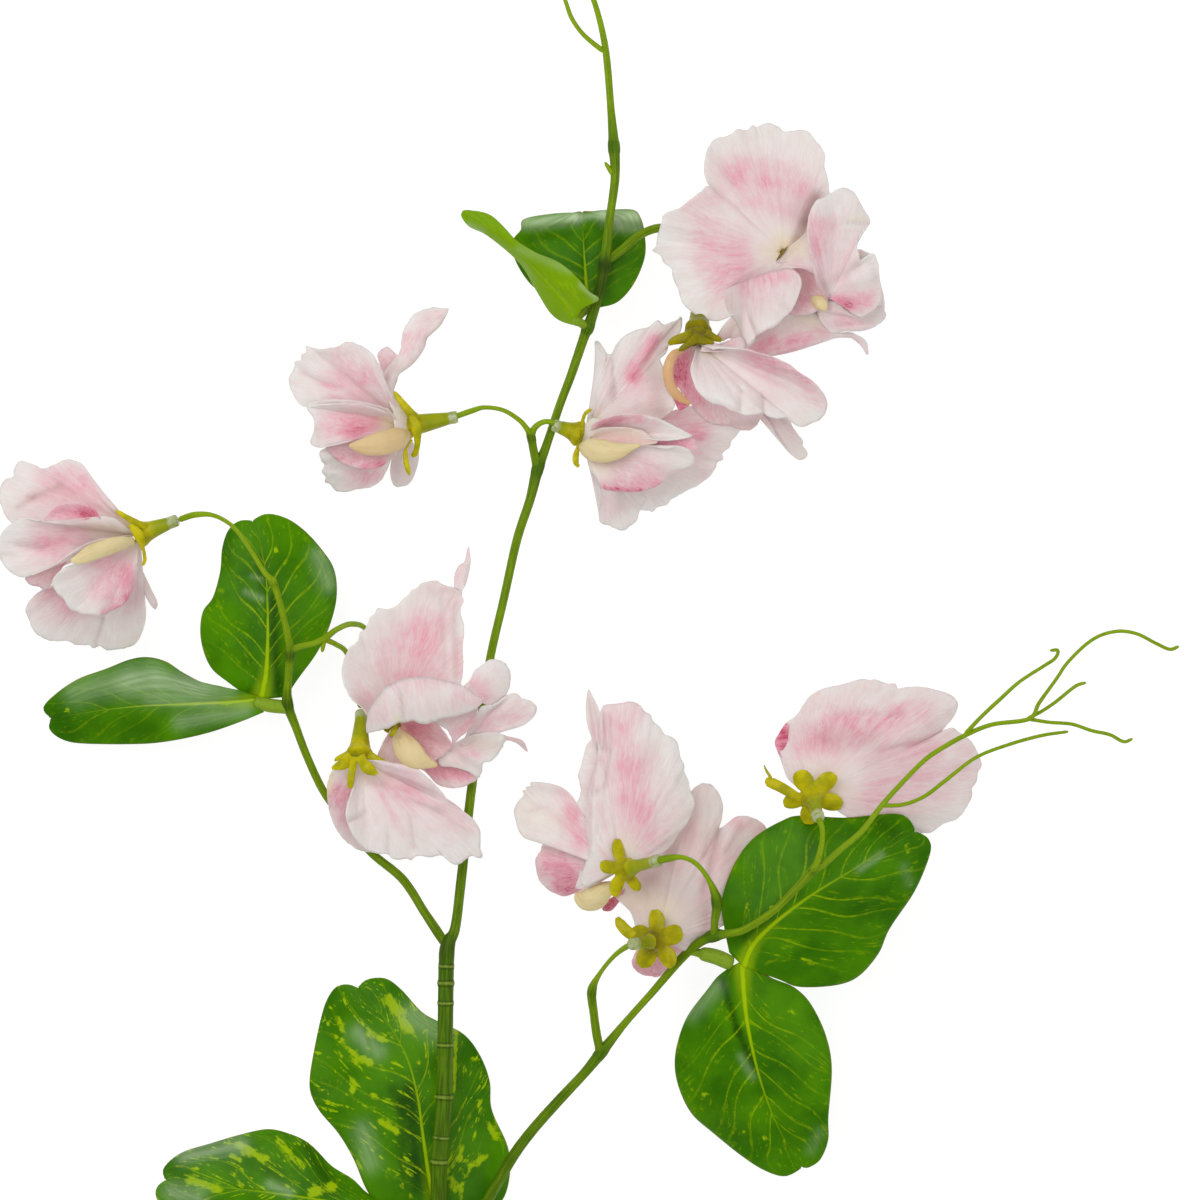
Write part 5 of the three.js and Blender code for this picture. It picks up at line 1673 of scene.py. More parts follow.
@dataclass(frozen=True)
class Studio:
    """The pale surface, the soft lights and the camera that looks straight down; metres and watts."""

    side: float = PICTURE_SIDE * MM
    lens: float = 300.0
    sensor: float = 36.0
    level: float = 0.016
    room: float = 0.41
    floor_half: float = 3.0
    floor_grey: float = 0.25
    floor_glow: float = 0.86

    def build(self) -> None:
        """Set the stage."""
        scene = bpy.context.scene
        scene.view_settings.view_transform = "Standard"
        x, y = (v * MM for v in CENTRE_AT)
        camera = bpy.data.cameras.new("camera")
        camera.lens = self.lens
        camera.sensor_width = self.sensor
        camera.clip_end = 20.0
        eye = bpy.data.objects.new("camera", camera)
        scene.collection.objects.link(eye)
        eye.location = (x, y, self.level + self.lens / self.sensor * self.side)
        scene.camera = eye
        self.build_floor()
        self.light("key", (-0.55, 0.5, 1.1), 0.9, 6.4)
        self.light("fill", (0.7, -0.2, 1.0), 1.2, 2.6)
        self.light("top", (x, y, 1.7), 1.4, 5.5)
        world = bpy.data.worlds.new("room")
        world.use_nodes = True
        sky = world.node_tree.nodes["Background"]
        Graph(world.node_tree).wire(sky, {0: (1.0, 1.0, 1.0, 1.0), 1: self.room})
        scene.world = world

    def light(self, name: str, spot: Point, size: float, power: float) -> None:
        """Hang one square soft light, aimed at the middle of the spray.

        Args:
            name: the light's name.
            spot: where it hangs.
            size: the length of its side.
            power: its strength.
        """
        lamp = bpy.data.lights.new(name, "AREA")
        lamp.size = size
        lamp.energy = power
        obj = bpy.data.objects.new(name, lamp)
        obj.location = spot
        aim = Vector((CENTRE_AT[0] * MM, CENTRE_AT[1] * MM, 0)) - Vector(spot)
        obj.rotation_euler = aim.to_track_quat("-Z", "Y").to_euler()
        bpy.context.scene.collection.objects.link(obj)

    def build_floor(self) -> None:
        """Lay the plain pale surface."""
        half = self.floor_half
        mesh = bpy.data.meshes.new("floor")
        mesh.from_pydata([(-half, -half, 0), (half, -half, 0), (half, half, 0), (-half, half, 0)], [], [(0, 1, 2, 3)])
        made, g, shader = material("floor_white", (0.9, 0.9, 0.9))
        g.wire(shader, {
            "Base Color": (self.floor_grey,) * 3 + (1.0,), "Roughness": 0.9, "Specular IOR Level": 0.1,
            "Emission Color": (1.0, 1.0, 1.0, 1.0), "Emission Strength": self.floor_glow,
        })
        floor = new_object(mesh, "floor", made)


def rows_of(width: int, *flat: float) -> Points:
    """Cut a flat list of numbers into rows.

    Args:
        width: how many numbers make a row.
        flat: the numbers.

    Returns:
        The rows.
    """
    return tuple(flat[i : i + width] for i in range(0, len(flat), width))


# The drawing of the spray, in the units named at the top.
path = partial(rows_of, 3)  # points: x, y, z
wide = partial(rows_of, 4)  # points of a tapering body: x, y, z and its width in millimetres
dabs = partial(rows_of, 6)  # soft strokes: x0, y0, x1, y1, width and amount

MAIN_STEM: dict[str, Points] = {
    "stem": wide(438,1310,1.8,3.8, 438,1275,3.6,3.8, 438,1225,7,3.7, 439,1163,9.5,3.7, 444,1098,10.5,3.7,
        445,1036,11,3.5, 446,967,11.2,3.5, 448,944,11.2,3.1, 455,928,11.2,2.3, 461,880,11.2,2.2, 470,800,11.2,2.1,
        480,725,11.6,2, 490,659,13,1.9, 504,598,14.5,1.9, 517,540,16,2, 530,500,17,2.1, 538,468,17.5,2.6,
        546,447,17.5,2, 560,405,18,1.9, 571,376,18,2, 584,338,19,2.2, 588,328,19.5,2.6, 596,304,20,2.2,
        605,263,21,2.5, 609,225,21,1.9, 615,180,20.5,2, 614,148,20,2.4, 611,110,19.5,1.7, 607,61,18,1.6,
        602,30,17.5,1.4, 592,-4,17,1.2, 578,-26,16,1.1, 560,-34,15,1, 549,-25,15,0.9, 552,-14,15.5,0.8),
    "side_tendril": wide(604,52,18,1.2, 590,41,18,1.1, 580,31,18,1, 571,17,18,1, 563,-4,17.5,0.9, 550,-18,18,0.8,
        538,-16,18.5,0.8),
    "lower_peduncle": wide(538,468,17.5,2.2, 534,452,18.5,1.9, 531,436,20,1.8, 527,429,20.5,1.3, 519,420,21,1.1,
        503,410.5,22,1, 485,408,22,1, 473,411,22,1.3, 453,418,21,1.3),
    "lower_arm": wide(531,436,20,1.6, 536,427,21,1.4, 546,422,21.5,1.2, 560,425,21.5,1.5),
    "upper_peduncle": wide(606,262,21,2.1, 621,251,20,2, 639,236,18,1.9, 659,228,15.5,2, 680,231,11.5,1.7,
        700,240,9,1.6, 730,248,9,1.5, 752,253,11,1.6),
    "upper_arm": wide(694,238,9.8,1.4, 706,262,7.5,1.3, 706,288,10,1.4, 701,309,15,1.6),
    "thorn": wide(614,176,20.5,1.4, 609,169,20.5,1.1, 605,163,20.5,0.7),
}

LEFT_BRANCH: dict[str, Points] = {
    "stem": wide(446,946,11,2, 436,931,10.6,2.2, 424,913,10,2, 402,880,8.8,2, 370,853,7.5,1.9, 345,822,7.5,1.8,
        324,794,9,1.8, 308,760,12.5,1.8, 296,727,16.5,1.9, 288,703,19,2.3, 289,679,21.5,1.7, 291,652,23.5,2,
        289,637,24.5,1.6, 283,609,26,1.5, 275,583,27.5,1.5, 266,572,28,1.2, 251,548,28,1, 235,527,27.5,0.95,
        216,516,26,1, 197,515,24.5,1.4, 180,520,23,1.4),
    "peduncle": wide(291,650,23.5,1.7, 302,646,24,1.4, 315,643,24.5,1.3, 326,638,24,1.5, 338,629,20.5,1.3,
        352,624,15.5,1.3, 366,630,10.5,1.2, 380,660,7,1.2, 388,690,6.5,1.5, 390,704,7,1.6),
    "lower_arm": wide(325,639,24,1.3, 336,644,21.5,1.2, 347,653,17.5,1.2, 356,680,13,1.3, 361,708,14.5,1.6),
    "bud_tip": wide(276,588,27.2,1.4, 275,577,28.2,0.9),
    "bract": wide(325,640,24,1.2, 323,652,24,0.8),
}

RIGHT_BRANCH: dict[str, Points] = {
    "stem": wide(438,1278,4,2.4, 455,1252,5.5,2.4, 478,1219,7,2.4, 509,1164,9.5,2.5, 531,1133,11,2.4,
        560,1100,12.5,2.3, 584,1074,14,2.2, 601,1053,15,2.5, 625,1023,16.5,1.7, 654,990,18.5,1.7, 682,957,21,2,
        700,941,23.5,2.1, 714,934,25.5,2.6, 727,932,27,1.9, 745,927,29,1.7, 772,909,31.5,1.7, 794,887,33,1.8,
        812,868,34,2, 822,862,34.3,1.6, 839,847,34.5,1.5, 859,830,34.5,1.4, 881,802,34.5,1.2, 901,780,34.3,1.1,
        922,759,34,1.1, 941,746,33.7,1.1, 965,733,33.3,1.1, 990,723.5,33,1, 1026,718,32.5,1, 1036,702,33,0.9,
        1053,678,34,0.8, 1063,663,34.5,0.8, 1081,645,34.5,0.8, 1097,635,34,0.8, 1116,631,33,0.8, 1134,634,32,0.8,
        1152,643,31,0.8, 1166,649,30.5,0.8, 1175,646,31,0.8),
    "near_tendril": wide(880,804,34.5,1, 901,803,33.5,0.9, 922,795,32.5,0.9, 941,781,31.5,0.9, 973,757,30,0.8,
        1006,744,28.5,0.8, 1039,735,27.5,0.8, 1066,731,27,0.7),
    "high_tendril": wide(962,733.5,33.3,1, 978,716,34.5,0.9, 996,699,35.5,0.9, 1016,681,36,0.8, 1039,666,36,0.8,
        1051,658,35.5,0.8, 1054,650,35.5,0.8, 1046,650,36,0.7),
    "small_tendril": wide(1024,718,32.5,0.9, 1038,711,31.5,0.8, 1053,701,31,0.8, 1072,686,30.5,0.8, 1083,682,31,0.7),
    "low_tendril": wide(1024,718,32.5,0.9, 1046,721.5,31,0.8, 1069,723.5,29.5,0.8, 1089,730,28.5,0.8,
        1107,734,27.5,0.8, 1121,741,27,0.8, 1130,738,27.5,0.7),
    "upper_pedicel": wide(714,934,25.5,1.8, 714,921,28,1.7, 716,899,31.5,2.3, 708,878,34.5,1.2, 696,862,36.5,1.1,
        682,855,37.2,1.1, 667,856,36.8,1.7, 656,859,35.5,1.5),
    "lower_pedicel": wide(601,1053,15,2, 597,1036,16.5,2, 594,1014,18,1.9, 592,990,20,2, 600,972,24,1.1,
        613,955,29,1.1, 625,945,32.5,1.3, 634,941,34.5,1.5),
    "far_pedicel": wide(810,870,34,1.6, 816,858,35.5,1.5, 820,840,37,1.2, 820,826,37.5,1.2, 816,816,37,1.6),
}

BLOOMS = (
    Bloom("bloom_1", sleeve=(174,522,23), throat=(143,533,20.5), splay=38, twin_height=14.5, flare=0.8,
            sepals=(wide(148,527,23,2.2, 138,523,24.5,1.9, 129,518,25,1.5, 121,513,25,1.2, 117,511,24.8,0.7),
            wide(131,525,26,0.9, 136,529,26.3,1.8, 141,536,26,2.6, 143.5,544,25,2, 145.5,553,23,1.3, 146,560,22,1.2,
            144,566,21.5,0.8)), keel=wide(135,541,25,1.6, 118,545,29.5,3.6, 98,552,32.5,3.8, 84,559,34,2.6,
            75,561,34.4,0.8), petals=(
        Petal(claw=(134,528,20), lift=3, rim=path(122,512,21, 105,503,23, 98,492,23, 92,480,22.3, 86,468,21.5,
            80,462,21, 66,460,20, 55,465,20.5, 44,469,21, 33,464,20.4, 21,461,19.8, 15,469,19.6, 14,477,19.6,
            6,480,19.7, 0,494,20.4, 10,520,23, 40,540,25), folds=dabs(16,506,32,494,5,1, 32,494,60,482,5,1),
            flush=dabs(50,490,92,500,15,0.55, 55,470,85,478,9,0.45), dusk=dabs(20,507,34,497,3,0.5,
            34,497,62,486,4,0.4, 105,506,120,514,4,0.3)),
        Petal(root=path(104,519,31), lift=-0.5, ruffle=0.1, tint=0.45, rim=path(100,511,31.5, 92,506,32.3,
            80,503.5,33, 68,504,33, 58,509,32.7, 50,517,32.5, 48,522,32.5, 62,523,33, 80,521.5,33, 92,519,32.5),
            flush=dabs(60,512,96,510,6,0.9, 88,514,98,516,4,1.6), dusk=dabs(50,519,70,506,3,0.3)),
        Petal(claw=(134,535,22), lift=4, twin=True, rim=path(118,519,28, 104,517,30.5, 85,519,32.5, 65,521,33,
            45,522,33, 25,519,32, 8,530,30, 0,545,28, 2,557,27, 8,567,27, 16,574,27.3, 26,577.5,28, 38,574,29,
            50,568.5,30, 62,562,31, 75,552.5,32, 88,544.5,32, 102,540,31), folds=dabs(18,545,48,550,4,-0.8,
            48,523,52,560,6,0.6), flush=dabs(50,540,80,535,12,0.6, 40,545,60,555,10,0.4),
            cream=dabs(95,528,118,531,8,0.25), dusk=dabs(70,525,115,528,7,0.45, 20,546,46,549,3,0.45,
            80,546,95,541,4,0.4)),
        Petal(root=path(70,560,27), lift=0.5, ruffle=0.2, tint=0.5, shade=0.4, rim=path(50,568,28, 36,574,27.5,
            28,578,27, 33,585,26.5, 42,587,26, 47,591,25.5, 53,585,26, 57,578,26.5, 62,570,27)),
        Petal(claw=(136,546,22), lift=3, twin=True, rim=path(95,562,33, 80,565,33.5, 70,567,33.5, 61,574,33,
            56,583,32, 60,592,30.5, 68,601,29, 73,609,28, 84,613.5,27.2, 96,614.5,26.8, 105,615.5,26.3, 112,611,26,
            121,607,25.6, 128,601.5,25.2, 133,592,24.8, 137,580,24.3, 139,566,23.5),
            flush=dabs(110,560,126,596,13,0.8, 128,570,133,590,6,1, 128,597,129,601,2,2, 106,613,125,606,3,0.9,
            100,590,115,600,8,0.4), dusk=dabs(120,556,134,552,5,0.3)),
        Petal(claw=(140,546,18), rim=path(62,588,20, 54,588,19, 44,590,17.5, 36,594,16, 29,601,15, 25,609,14,
            27.5,618,13, 31,628,12, 38,636,10.8, 48,640.5,9.8, 58,641,9.5, 66,641,9.3, 75,645,9, 87,645,9, 92,648.5,9,
            98,646,9.2, 104,649.5,9.3, 112,650,9.5, 124,648,9.8, 134,644,10.5, 139,637,11, 143,627,11.8, 145,616,12.7,
            144.5,604,13.7, 144,594,14.5), folds=dabs(103,617,93,646,3,-0.9, 75,625,78,642,4,-0.5),
            flush=dabs(55,592,72,605,8,0.8, 45,600,60,610,12,0.3, 135,590,140,600,8,0.3),
            dusk=dabs(103,618,94,645,1.8,0.6, 134,600,142,590,8,0.4, 70,612,100,618,4,0.35, 88,625,76,640,3,0.2)),
        Petal(root=path(141,568,16, 146,579,15.5, 151,590,15, 156,600,14.5, 157,606,14), lift=0.4, cross=True,
            ruffle=0, shade=0.35, rim=path(139,575,16, 142,586,15.5, 146,597,15, 151,606,14.5, 155,609.5,14)),
    )),
    Bloom("bloom_2", sleeve=(453,418,21), throat=(409,426,20.5), splay=35, twin_height=15, flare=1.1, ripe=0.5,
            sepals=(wide(418,420,24,2.6, 410.5,413,24.9,2.2, 403,403.5,25,1.7, 397,395.5,24.8,1.3,
            394.5,392,24.6,0.7), wide(411,416,26,1.2, 416,425,26.6,2.6, 418,435,26.2,2.2, 418,446,25,1.7,
            415.5,454,24,1.7, 412,457,23.6,1), wide(413,440,24,1.2, 409,446,26,1.3, 406.5,452,27.6,1.3,
            407,462,27.8,1.4, 409,471,27.6,1.3, 411,476,27.2,0.8)), keel=wide(408,434,24.5,2.2, 399,439,28,5,
            384,444,30.5,5.4, 368,447,31.6,4.2, 357,447,32,2.2, 351,446.5,32,0.6), petals=(
        Petal(root=path(398,403,21, 394,391,21.3, 397,382,21.3, 400,374,21, 411,366,20.5, 419,357,20, 425,347,19.8,
            427,339,19.7, 434,332,19.5, 441,325,19.3, 449,309.5,19), lift=1.2, cross=True, ruffle=0.3, roll=0.3,
            rim=path(389,402,22, 385,388,22, 384,377,21.6, 388,368,21, 396,358,20.4, 401,351,19.9, 401.5,342,19.3,
            403,334,18.8, 406,326,18.4, 411,318,18, 418,312,17.6, 426,309.5,17.6, 434,307.5,17.8, 442,308.5,18.3,
            449,309,19), folds=dabs(400,377,391,386,3,0.8, 391,386,392,400,3,0.8), flush=dabs(405,340,407,350,6,0.6,
            420,335,425,330,6,0.3, 432,318,436,314,5,0.2), dusk=dabs(396,362,388,378,5,0.6, 388,378,389,394,3,0.5,
            396,380,394,394,1.5,0.5)),
        Petal(root=path(391,378,20.5), lift=0.3, ruffle=0.2, tint=0.45, shade=0.15, rim=path(384,374,20.3, 381,366,20,
            378,358,19.5, 377.5,354,19.2, 383,349,19, 388,347,18.8, 392,350,18.8, 398,356,19)),
        Petal(claw=(398,418,22.5), lift=3, twin=True, rim=path(387,392,26, 384,380,27, 381,370,27.5, 377,360,28,
            372,353,28, 364,348,28.5, 354,343.5,28.5, 348,343,28.3, 342,346.5,28, 334,349,27.5, 322,350,26.5,
            313,348.5,25.5, 307,347,25, 307,353.5,25, 303,355,24.8, 302,361,24.8, 296.5,362,24.2, 295,368,24,
            291,377,23.8, 290,384,24, 293,393,25, 299,403,26.5, 307,408,28, 320,405.5,30, 335,405,31, 352,404,31.5,
            368,406.5,31, 384,411,29), folds=dabs(300,370,320,383,3,-0.6, 320,383,338,389,3,-0.5,
            310,352,345,352,5,0.5), flush=dabs(345,363,362,372,12,0.45, 345,385,360,395,13,0.6, 362,374,366,380,3,0.6,
            324,385,336,389,2.4,0.5, 350,405,385,408,6,0.2), cream=dabs(398,410,402,414,7,0.4),
            dusk=dabs(302,372,320,382,2,0.5, 375,398,395,410,7,0.25, 325,352,360,352,7,0.2)),
        Petal(claw=(398,427,23), lift=2.5, rim=path(390,410,28.5, 370,404,29, 350,401,29.3, 330,401,29, 312,403,28.5,
            308,409,28.2, 313,416,28.2, 316,424,28.5, 315,433,28.5, 311.5,444,28.5, 318,448,28.8, 326,448,29.5,
            340,445,30.5, 352,442,31), flush=dabs(345,413,372,415,8,0.8, 330,425,352,425,10,0.75,
            352,434,376,424,7,0.75, 350,437,362,433,4,0.5), cream=dabs(385,420,398,425,8,0.5),
            dusk=dabs(322,408,390,411,5,0.6, 318,430,320,446,4,0.3, 330,446,345,446,4,0.3)),
        Petal(root=path(400,440,24.5), lift=1.5, ruffle=0.3, tint=0.35, rim=path(352,441,29.5, 338,441,28.5,
            326,443,27.5, 328,450,27, 335,458,26.5, 345,465,26.3, 356,468.5,26.3, 368,469.5,26.5, 378,468.5,26.5,
            384,466,26.3, 390,461,26, 397,456,25.5), flush=dabs(345,458,380,463,7,0.7, 366,468,386,466,3,1.5,
            340,452,350,450,8,0.3), dusk=dabs(330,446,350,452,9,0.5, 355,456,395,458,4,0.4)),
        Petal(claw=(395,435,20), lift=3.5, twin=True, rim=path(326,449,26, 320,453,25, 322,460,24, 325,465,22.5,
            322,472,21, 326,476,20, 325,482,19, 330,484,18, 335,490,16.5, 345,492,16, 358,489,15.5, 370,487,15,
            379,482,14.8, 384,475,15, 387,466,15.5, 390,459,16.5), folds=dabs(325,457,342,461,3,0.6,
            324,473,348,475,2.5,0.6), flush=dabs(358,473,378,478,8,0.7, 350,484,365,484,6,0.3),
            dusk=dabs(325,468,340,469,3,0.2, 335,463,365,472,4,0.15)),
        Petal(root=path(410,425,22.3), lift=0.3, ruffle=0.1, frill=0.05, rim=path(406,412,22.6, 400,402,23.2,
            394,393.5,23.9, 390,390,24.6, 389,397,25, 391,406,25.4, 394,413,25.2, 396,430,25.5, 404,436,24.5),
            cream=dabs(404,418,400,410,6,0.4)),
        Petal(claw=(402,438,17), lift=1, shade=0.3, rim=path(394,452,16, 391,462,14.5, 390,470,13, 391,480,11.5,
            395,486,11, 402,486,11, 409,483,11, 414,475,12, 418,462,13.5, 419,452,15),
            flush=dabs(398,478,402,482,6,0.2)),
    )),
    Bloom("bloom_3", sleeve=(752,253,11), throat=(778,257,18), splay=140, keel=wide(800,284,19,1, 811,296,20.5,2.4,
            819,303,22.2,3, 823,308.5,22.4,2.2, 823.5,311.5,22,0.8), petals=(
        Petal(claw=(783,253,20.5), lift=-2, frill=0.1, rim=path(800,262,18, 815,245,16.5, 827,225,16, 831,205,16.5,
            829,190,17.5, 827,176,18.5, 824,167,18, 825,156,18, 821,147,17.5, 815,140,17.5, 808,131.5,17,
            800,130,16.4, 785,131.5,16.3, 779,127,16.6, 770,123,17, 762,124,16.5, 757,127,15.5, 752,125,16,
            747,130,15.5, 738,129,16.5, 731,134,16.5, 724,137,16, 716,138,16.5, 709,146,17, 705,158,17.5, 704,172,18,
            707,183,18.7, 711.5,190.5,19.1, 706.5,186,19.4, 702,191,19.4, 690,200,19.2, 680,208,18.8, 665,214,18.2,
            661,224,17.5, 658,234,17, 656,246,16.5, 652.5,251,16, 660,255,16.5, 664,263,16.8, 671,268,17, 673,278,17,
            678,290,16.8, 682,302,16.5, 690,311,16.3, 700,317,16.3, 712,321,16.5, 722,320,17, 732,316,18.3,
            742,318,19.5, 756,316,21, 770,308,22, 784,296,22.5), folds=dabs(778,257,778,257,26,3.2,
            818,200,800,240,7,-2.2, 664,222,700,232,3,0.4, 662,240,695,244,3,-0.4, 664,256,700,256,3,0.4),
            flush=dabs(738,182,762,184,9,0.5, 768,184,800,194,9,0.5, 762,204,792,216,7,0.5, 725,170,735,172,9,0.45,
            745,163,790,166,8,0.4, 690,205,715,200,8,0.55, 700,220,718,222,6,0.5, 698,236,742,244,7,0.55,
            706,247,748,257,6,0.5, 700,262,742,268,7,0.45, 722,282,752,288,11,0.8, 800,185,812,215,10,0.5,
            740,200,755,205,8,0.3), cream=dabs(788,248,800,240,8,0.35), dusk=dabs(816,198,806,222,7,0.85,
            806,222,797,242,7,0.6, 797,242,786,252,5,0.5, 795,215,800,205,9,0.25)),
        Petal(root=path(722,290,15.6, 736,285,19.8, 745,282,23.2, 754,278,25, 766,274,26.5, 780,271,27, 788,270,27.2,
            795,273,27.2, 800,279,27), lift=0.7, ruffle=0.4, frill=0.15, roll=1, rim=path(724,314,15.2, 733,318,17.6,
            740,331,21, 745,347,22.6, 749,346,23.5, 757,336,24.5, 766,331,25, 776,326,25.5, 784,318,26, 789,314,26.3,
            794,306,26.6, 798,296,26.8, 801,285,27), folds=dabs(748,318,757,342,2.5,-0.8, 741,316,744,340,3,0.5,
            775,300,785,312,5,-0.5), flush=dabs(742,285,784,277,7,0.7, 745,296,762,292,10,0.45),
            dusk=dabs(749,318,757,338,1.8,0.55, 739,318,742,335,2,0.25, 780,305,788,312,4,0.2)),
        Petal(claw=(790,258,21.5), lift=0.5, ruffle=0.2, tint=0.45, shade=0.1, rim=path(812,262,23, 818,275,23.2,
            822,290,22.5, 828,299,22, 822,306,21.5, 815,313,21, 800,316,21, 790,315,21, 780,308,21, 770,300,21.5),
            flush=dabs(788,270,812,280,6,0.5, 795,308,806,300,8,0.5), dusk=dabs(806,282,812,300,8,0.55,
            796,300,800,312,7,0.3)),
        Petal(root=path(784,264,24.2), lift=0.2, ruffle=0, rim=path(775,264.5,24.7, 779,258.5,25, 783,253,25.2,
            788,248.5,25.3, 795,243,25.6, 803,236,26, 808,234,26, 811,248,26, 813,263,25.8, 815,276,25.8,
            806,270,25.6, 797,269,25.6, 786,271,25.6, 772,272.5,25), flush=dabs(798,268,813,274,4,0.6),
            cream=dabs(788,254,794,250,7,0.45, 800,244,808,256,8,0.25), dusk=dabs(800,238,790,250,5,0.5,
            788,262,800,262,4,0.25, 776,266,768,272,4,0.6, 787,247,784,254,2,0.5)),
        Petal(root=path(775,263,25.2, 779,256,25.6, 783,251,25.9, 787.5,247,25.9), lift=0, ruffle=0, frill=0,
            warm=1.9, rim=path(775,263,25.2, 780,258.6,25.8, 784.4,253,26, 787.5,247,25.9)),
        Petal(root=path(829,299,23.5), lift=1.2, ruffle=0.3, frill=0.1, rim=path(822,293,26, 815,284,27.5,
            811,266,28.7, 807,248,29.3, 806,232,29.5, 808,216,29.3, 815,203,29, 822,200,28.5, 829,196,27.5,
            836,191,26.7, 842,189.5,26.3, 848,191,26, 853,194,25.8, 859,204,25.5, 864,213,25, 869.5,222,24.5,
            866,227,25, 861,232,25.4, 858,240,25.8, 856,248,26, 858,256,26, 859,262,25.8, 866,257,25.5, 873,255,24.7,
            877,265,24.3, 879,280,23.8, 881,296,23, 878,306,22.7, 868,314,22.7, 860,318,22.7, 852,314,23,
            843,307,23.2, 836,302,23.3), folds=dabs(838,214,869,220,2.6,0.6, 836,228,866,227,2.6,-0.6,
            832,240,858,240,3,0.3, 838,282,860,266,5,-0.8, 852,282,868,278,7,0.7, 870,262,876,284,2.5,-0.5),
            flush=dabs(811,222,817,285,7,0.7, 826,235,830,265,9,0.35, 818,225,830,222,5,0.3, 842,301,868,305,7,0.9,
            834,300,848,306,3.5,1.5, 862,298,876,294,6,0.35, 835,275,850,262,8,0.2),
            cream=dabs(845,219,866,221,3,0.25), dusk=dabs(840,224,868,224,1.6,0.35, 838,233,860,233,1.6,0.25,
            814,280,826,296,6,0.6, 826,286,855,266,5,0.3, 848,302,860,310,7,0.25, 872,264,876,280,1.5,0.3)),
        Petal(root=path(817,312,18.5), lift=0.8, ruffle=0.3, rim=path(826,301,20, 836,303,20.5, 845,310,20.5,
            853,316,20, 861,318.5,19.5, 869,316,19, 877,307,18.5, 884,310,17.8, 886,316,17.2, 882,322,17,
            870,329,16.7, 862,331,16.7, 846,331.5,17, 832,333,17, 826,328,17.5, 820,321,18),
            folds=dabs(835,327,872,322,3,-0.5), flush=dabs(838,326,870,322,4,0.5, 840,316,858,322,5,0.3),
            dusk=dabs(838,330,868,329,1.6,0.4, 868,318,878,312,4,0.3)),
        Petal(root=path(745,350,15, 757,354,14.5, 768,356,14, 790,352,13.5, 810,346,13.5, 828,340,14, 836,337.5,14.5,
            850,337,14.5, 857,341,14, 863,347,13.5, 867,354,12.5), lift=1.2, cross=True, ruffle=0.2,
            rim=path(745,347,15.5, 757,332,16.5, 776,318,17, 790,310,17, 815,312,17, 823,320,16.8, 831,330,16,
            838,333.5,15.5, 850,332.5,15, 860,336,14.5, 867,342,13.5, 869,354,12.5),
            flush=dabs(765,348,800,342,8,0.75, 800,340,825,334,6,0.5, 752,348,770,340,6,0.4),
            cream=dabs(800,318,815,322,8,0.3), dusk=dabs(806,322,822,328,7,0.4, 846,335,862,340,3,0.35)),
        Petal(root=path(748,316,18), lift=0.5, ruffle=0.3, rim=path(733,316,17.5, 727,321,17, 721,329,16,
            717,337,15.3, 722,341,15.2, 730,338,15.2, 740,347,15.2, 746,350,15.8, 756,340,16.5),
            folds=dabs(726,326,722,338,2.5,0.4), flush=dabs(728,341,742,344,5,0.5), dusk=dabs(733,320,730,336,3,0.35,
            738,322,742,345,2,0.3)),
        Petal(claw=(788,264,18.5), rim=path(860,250,21, 874,258,20, 880,282,18, 884,310,15.5, 862,326,15, 850,330,13,
            827,334,13, 790,346,11, 750,350,10.5, 742,340,13)),
    )),
    Bloom("bloom_4", dusky=2.6, sleeve=(700,311,11.5), throat=(697,338,20), splay=62, twin_height=15.5, tube=2,
            flare=0.4, ripe=0.95, sepals=(wide(693,336,23,3.2, 683,339,23.4,2.6, 674,341.5,23.2,2.1,
            668,345,22.8,1.1), wide(705,334,23,2.6, 713,338,22.8,1.9, 720,340.5,22.4,1.4, 722,341,22.2,0.7),
            wide(694,339,25,2.4, 703,342,25.4,2, 711,343.5,25,1.4, 714,343,24.8,0.6), wide(697,339,25.3,2.4,
            689,345,26,1.8, 681,350,26,1.4, 678,352,25.6,0.7), wide(698,322,18.5,3.6, 698,329,20.5,4.6,
            697,336,22.6,6.4, 697,341,23.6,7.2, 697,344,23.8,5)), keel=wide(684,350.5,23,1, 674,355,24.6,1.9,
            668.5,366,25.5,2.3, 668,378,25.6,2.3, 671.5,389,25,2.2, 680,398.5,24,1.9, 690,404.5,23,0.7), petals=(
        Petal(claw=(698,352,23), lift=2.5, twin=True, frill=0.1, rim=path(712,351,28, 724,350,30, 738,350.5,31.5,
            750,352,32, 765,356.5,32, 780,362,31.5, 791,368,31, 798,374,30.5, 811,382,29.5, 818,389,28.5, 824,397,27,
            826.5,405,26, 825,413,25.2, 819,420.5,24.8, 811,424,24.8, 803,427.5,24.8, 795,426,25.3, 787,418.5,26.5,
            776,419.5,27.5, 768,417.5,28.3, 762,414,28.8, 755,415.5,29, 746,416.5,29.3, 737,413.5,29.8, 730,411.5,30,
            722,407,30.3, 712,404.5,30.3, 703,399,30, 696,391,29.5, 692,381,29, 690,372,28.5, 692,364,28),
            folds=dabs(741,390,740,412,3,-0.7, 762,396,763,414,2.5,-0.8, 752,400,752,414,4,0.4,
            700,400,735,412,4,-0.6), flush=dabs(762,357,806,380,8,0.8, 745,353,765,366,7,0.55, 806,386,822,402,8,0.45,
            775,372,790,378,8,0.3), dusk=dabs(741,393,739,412,1.8,0.35, 762,399,763,414,1.8,0.45,
            704,400,735,412,3,0.25, 700,356,715,354,4,0.2)),
        Petal(claw=(696,350,20), lift=1, tint=0.3, rim=path(676,350,21, 672,362,21.5, 672,378,21, 680,391,20,
            688,401,18.5, 694,408,17, 700,415,15.5, 710,422.5,14, 720,425,13.2, 730,425,12.7, 741,430,12,
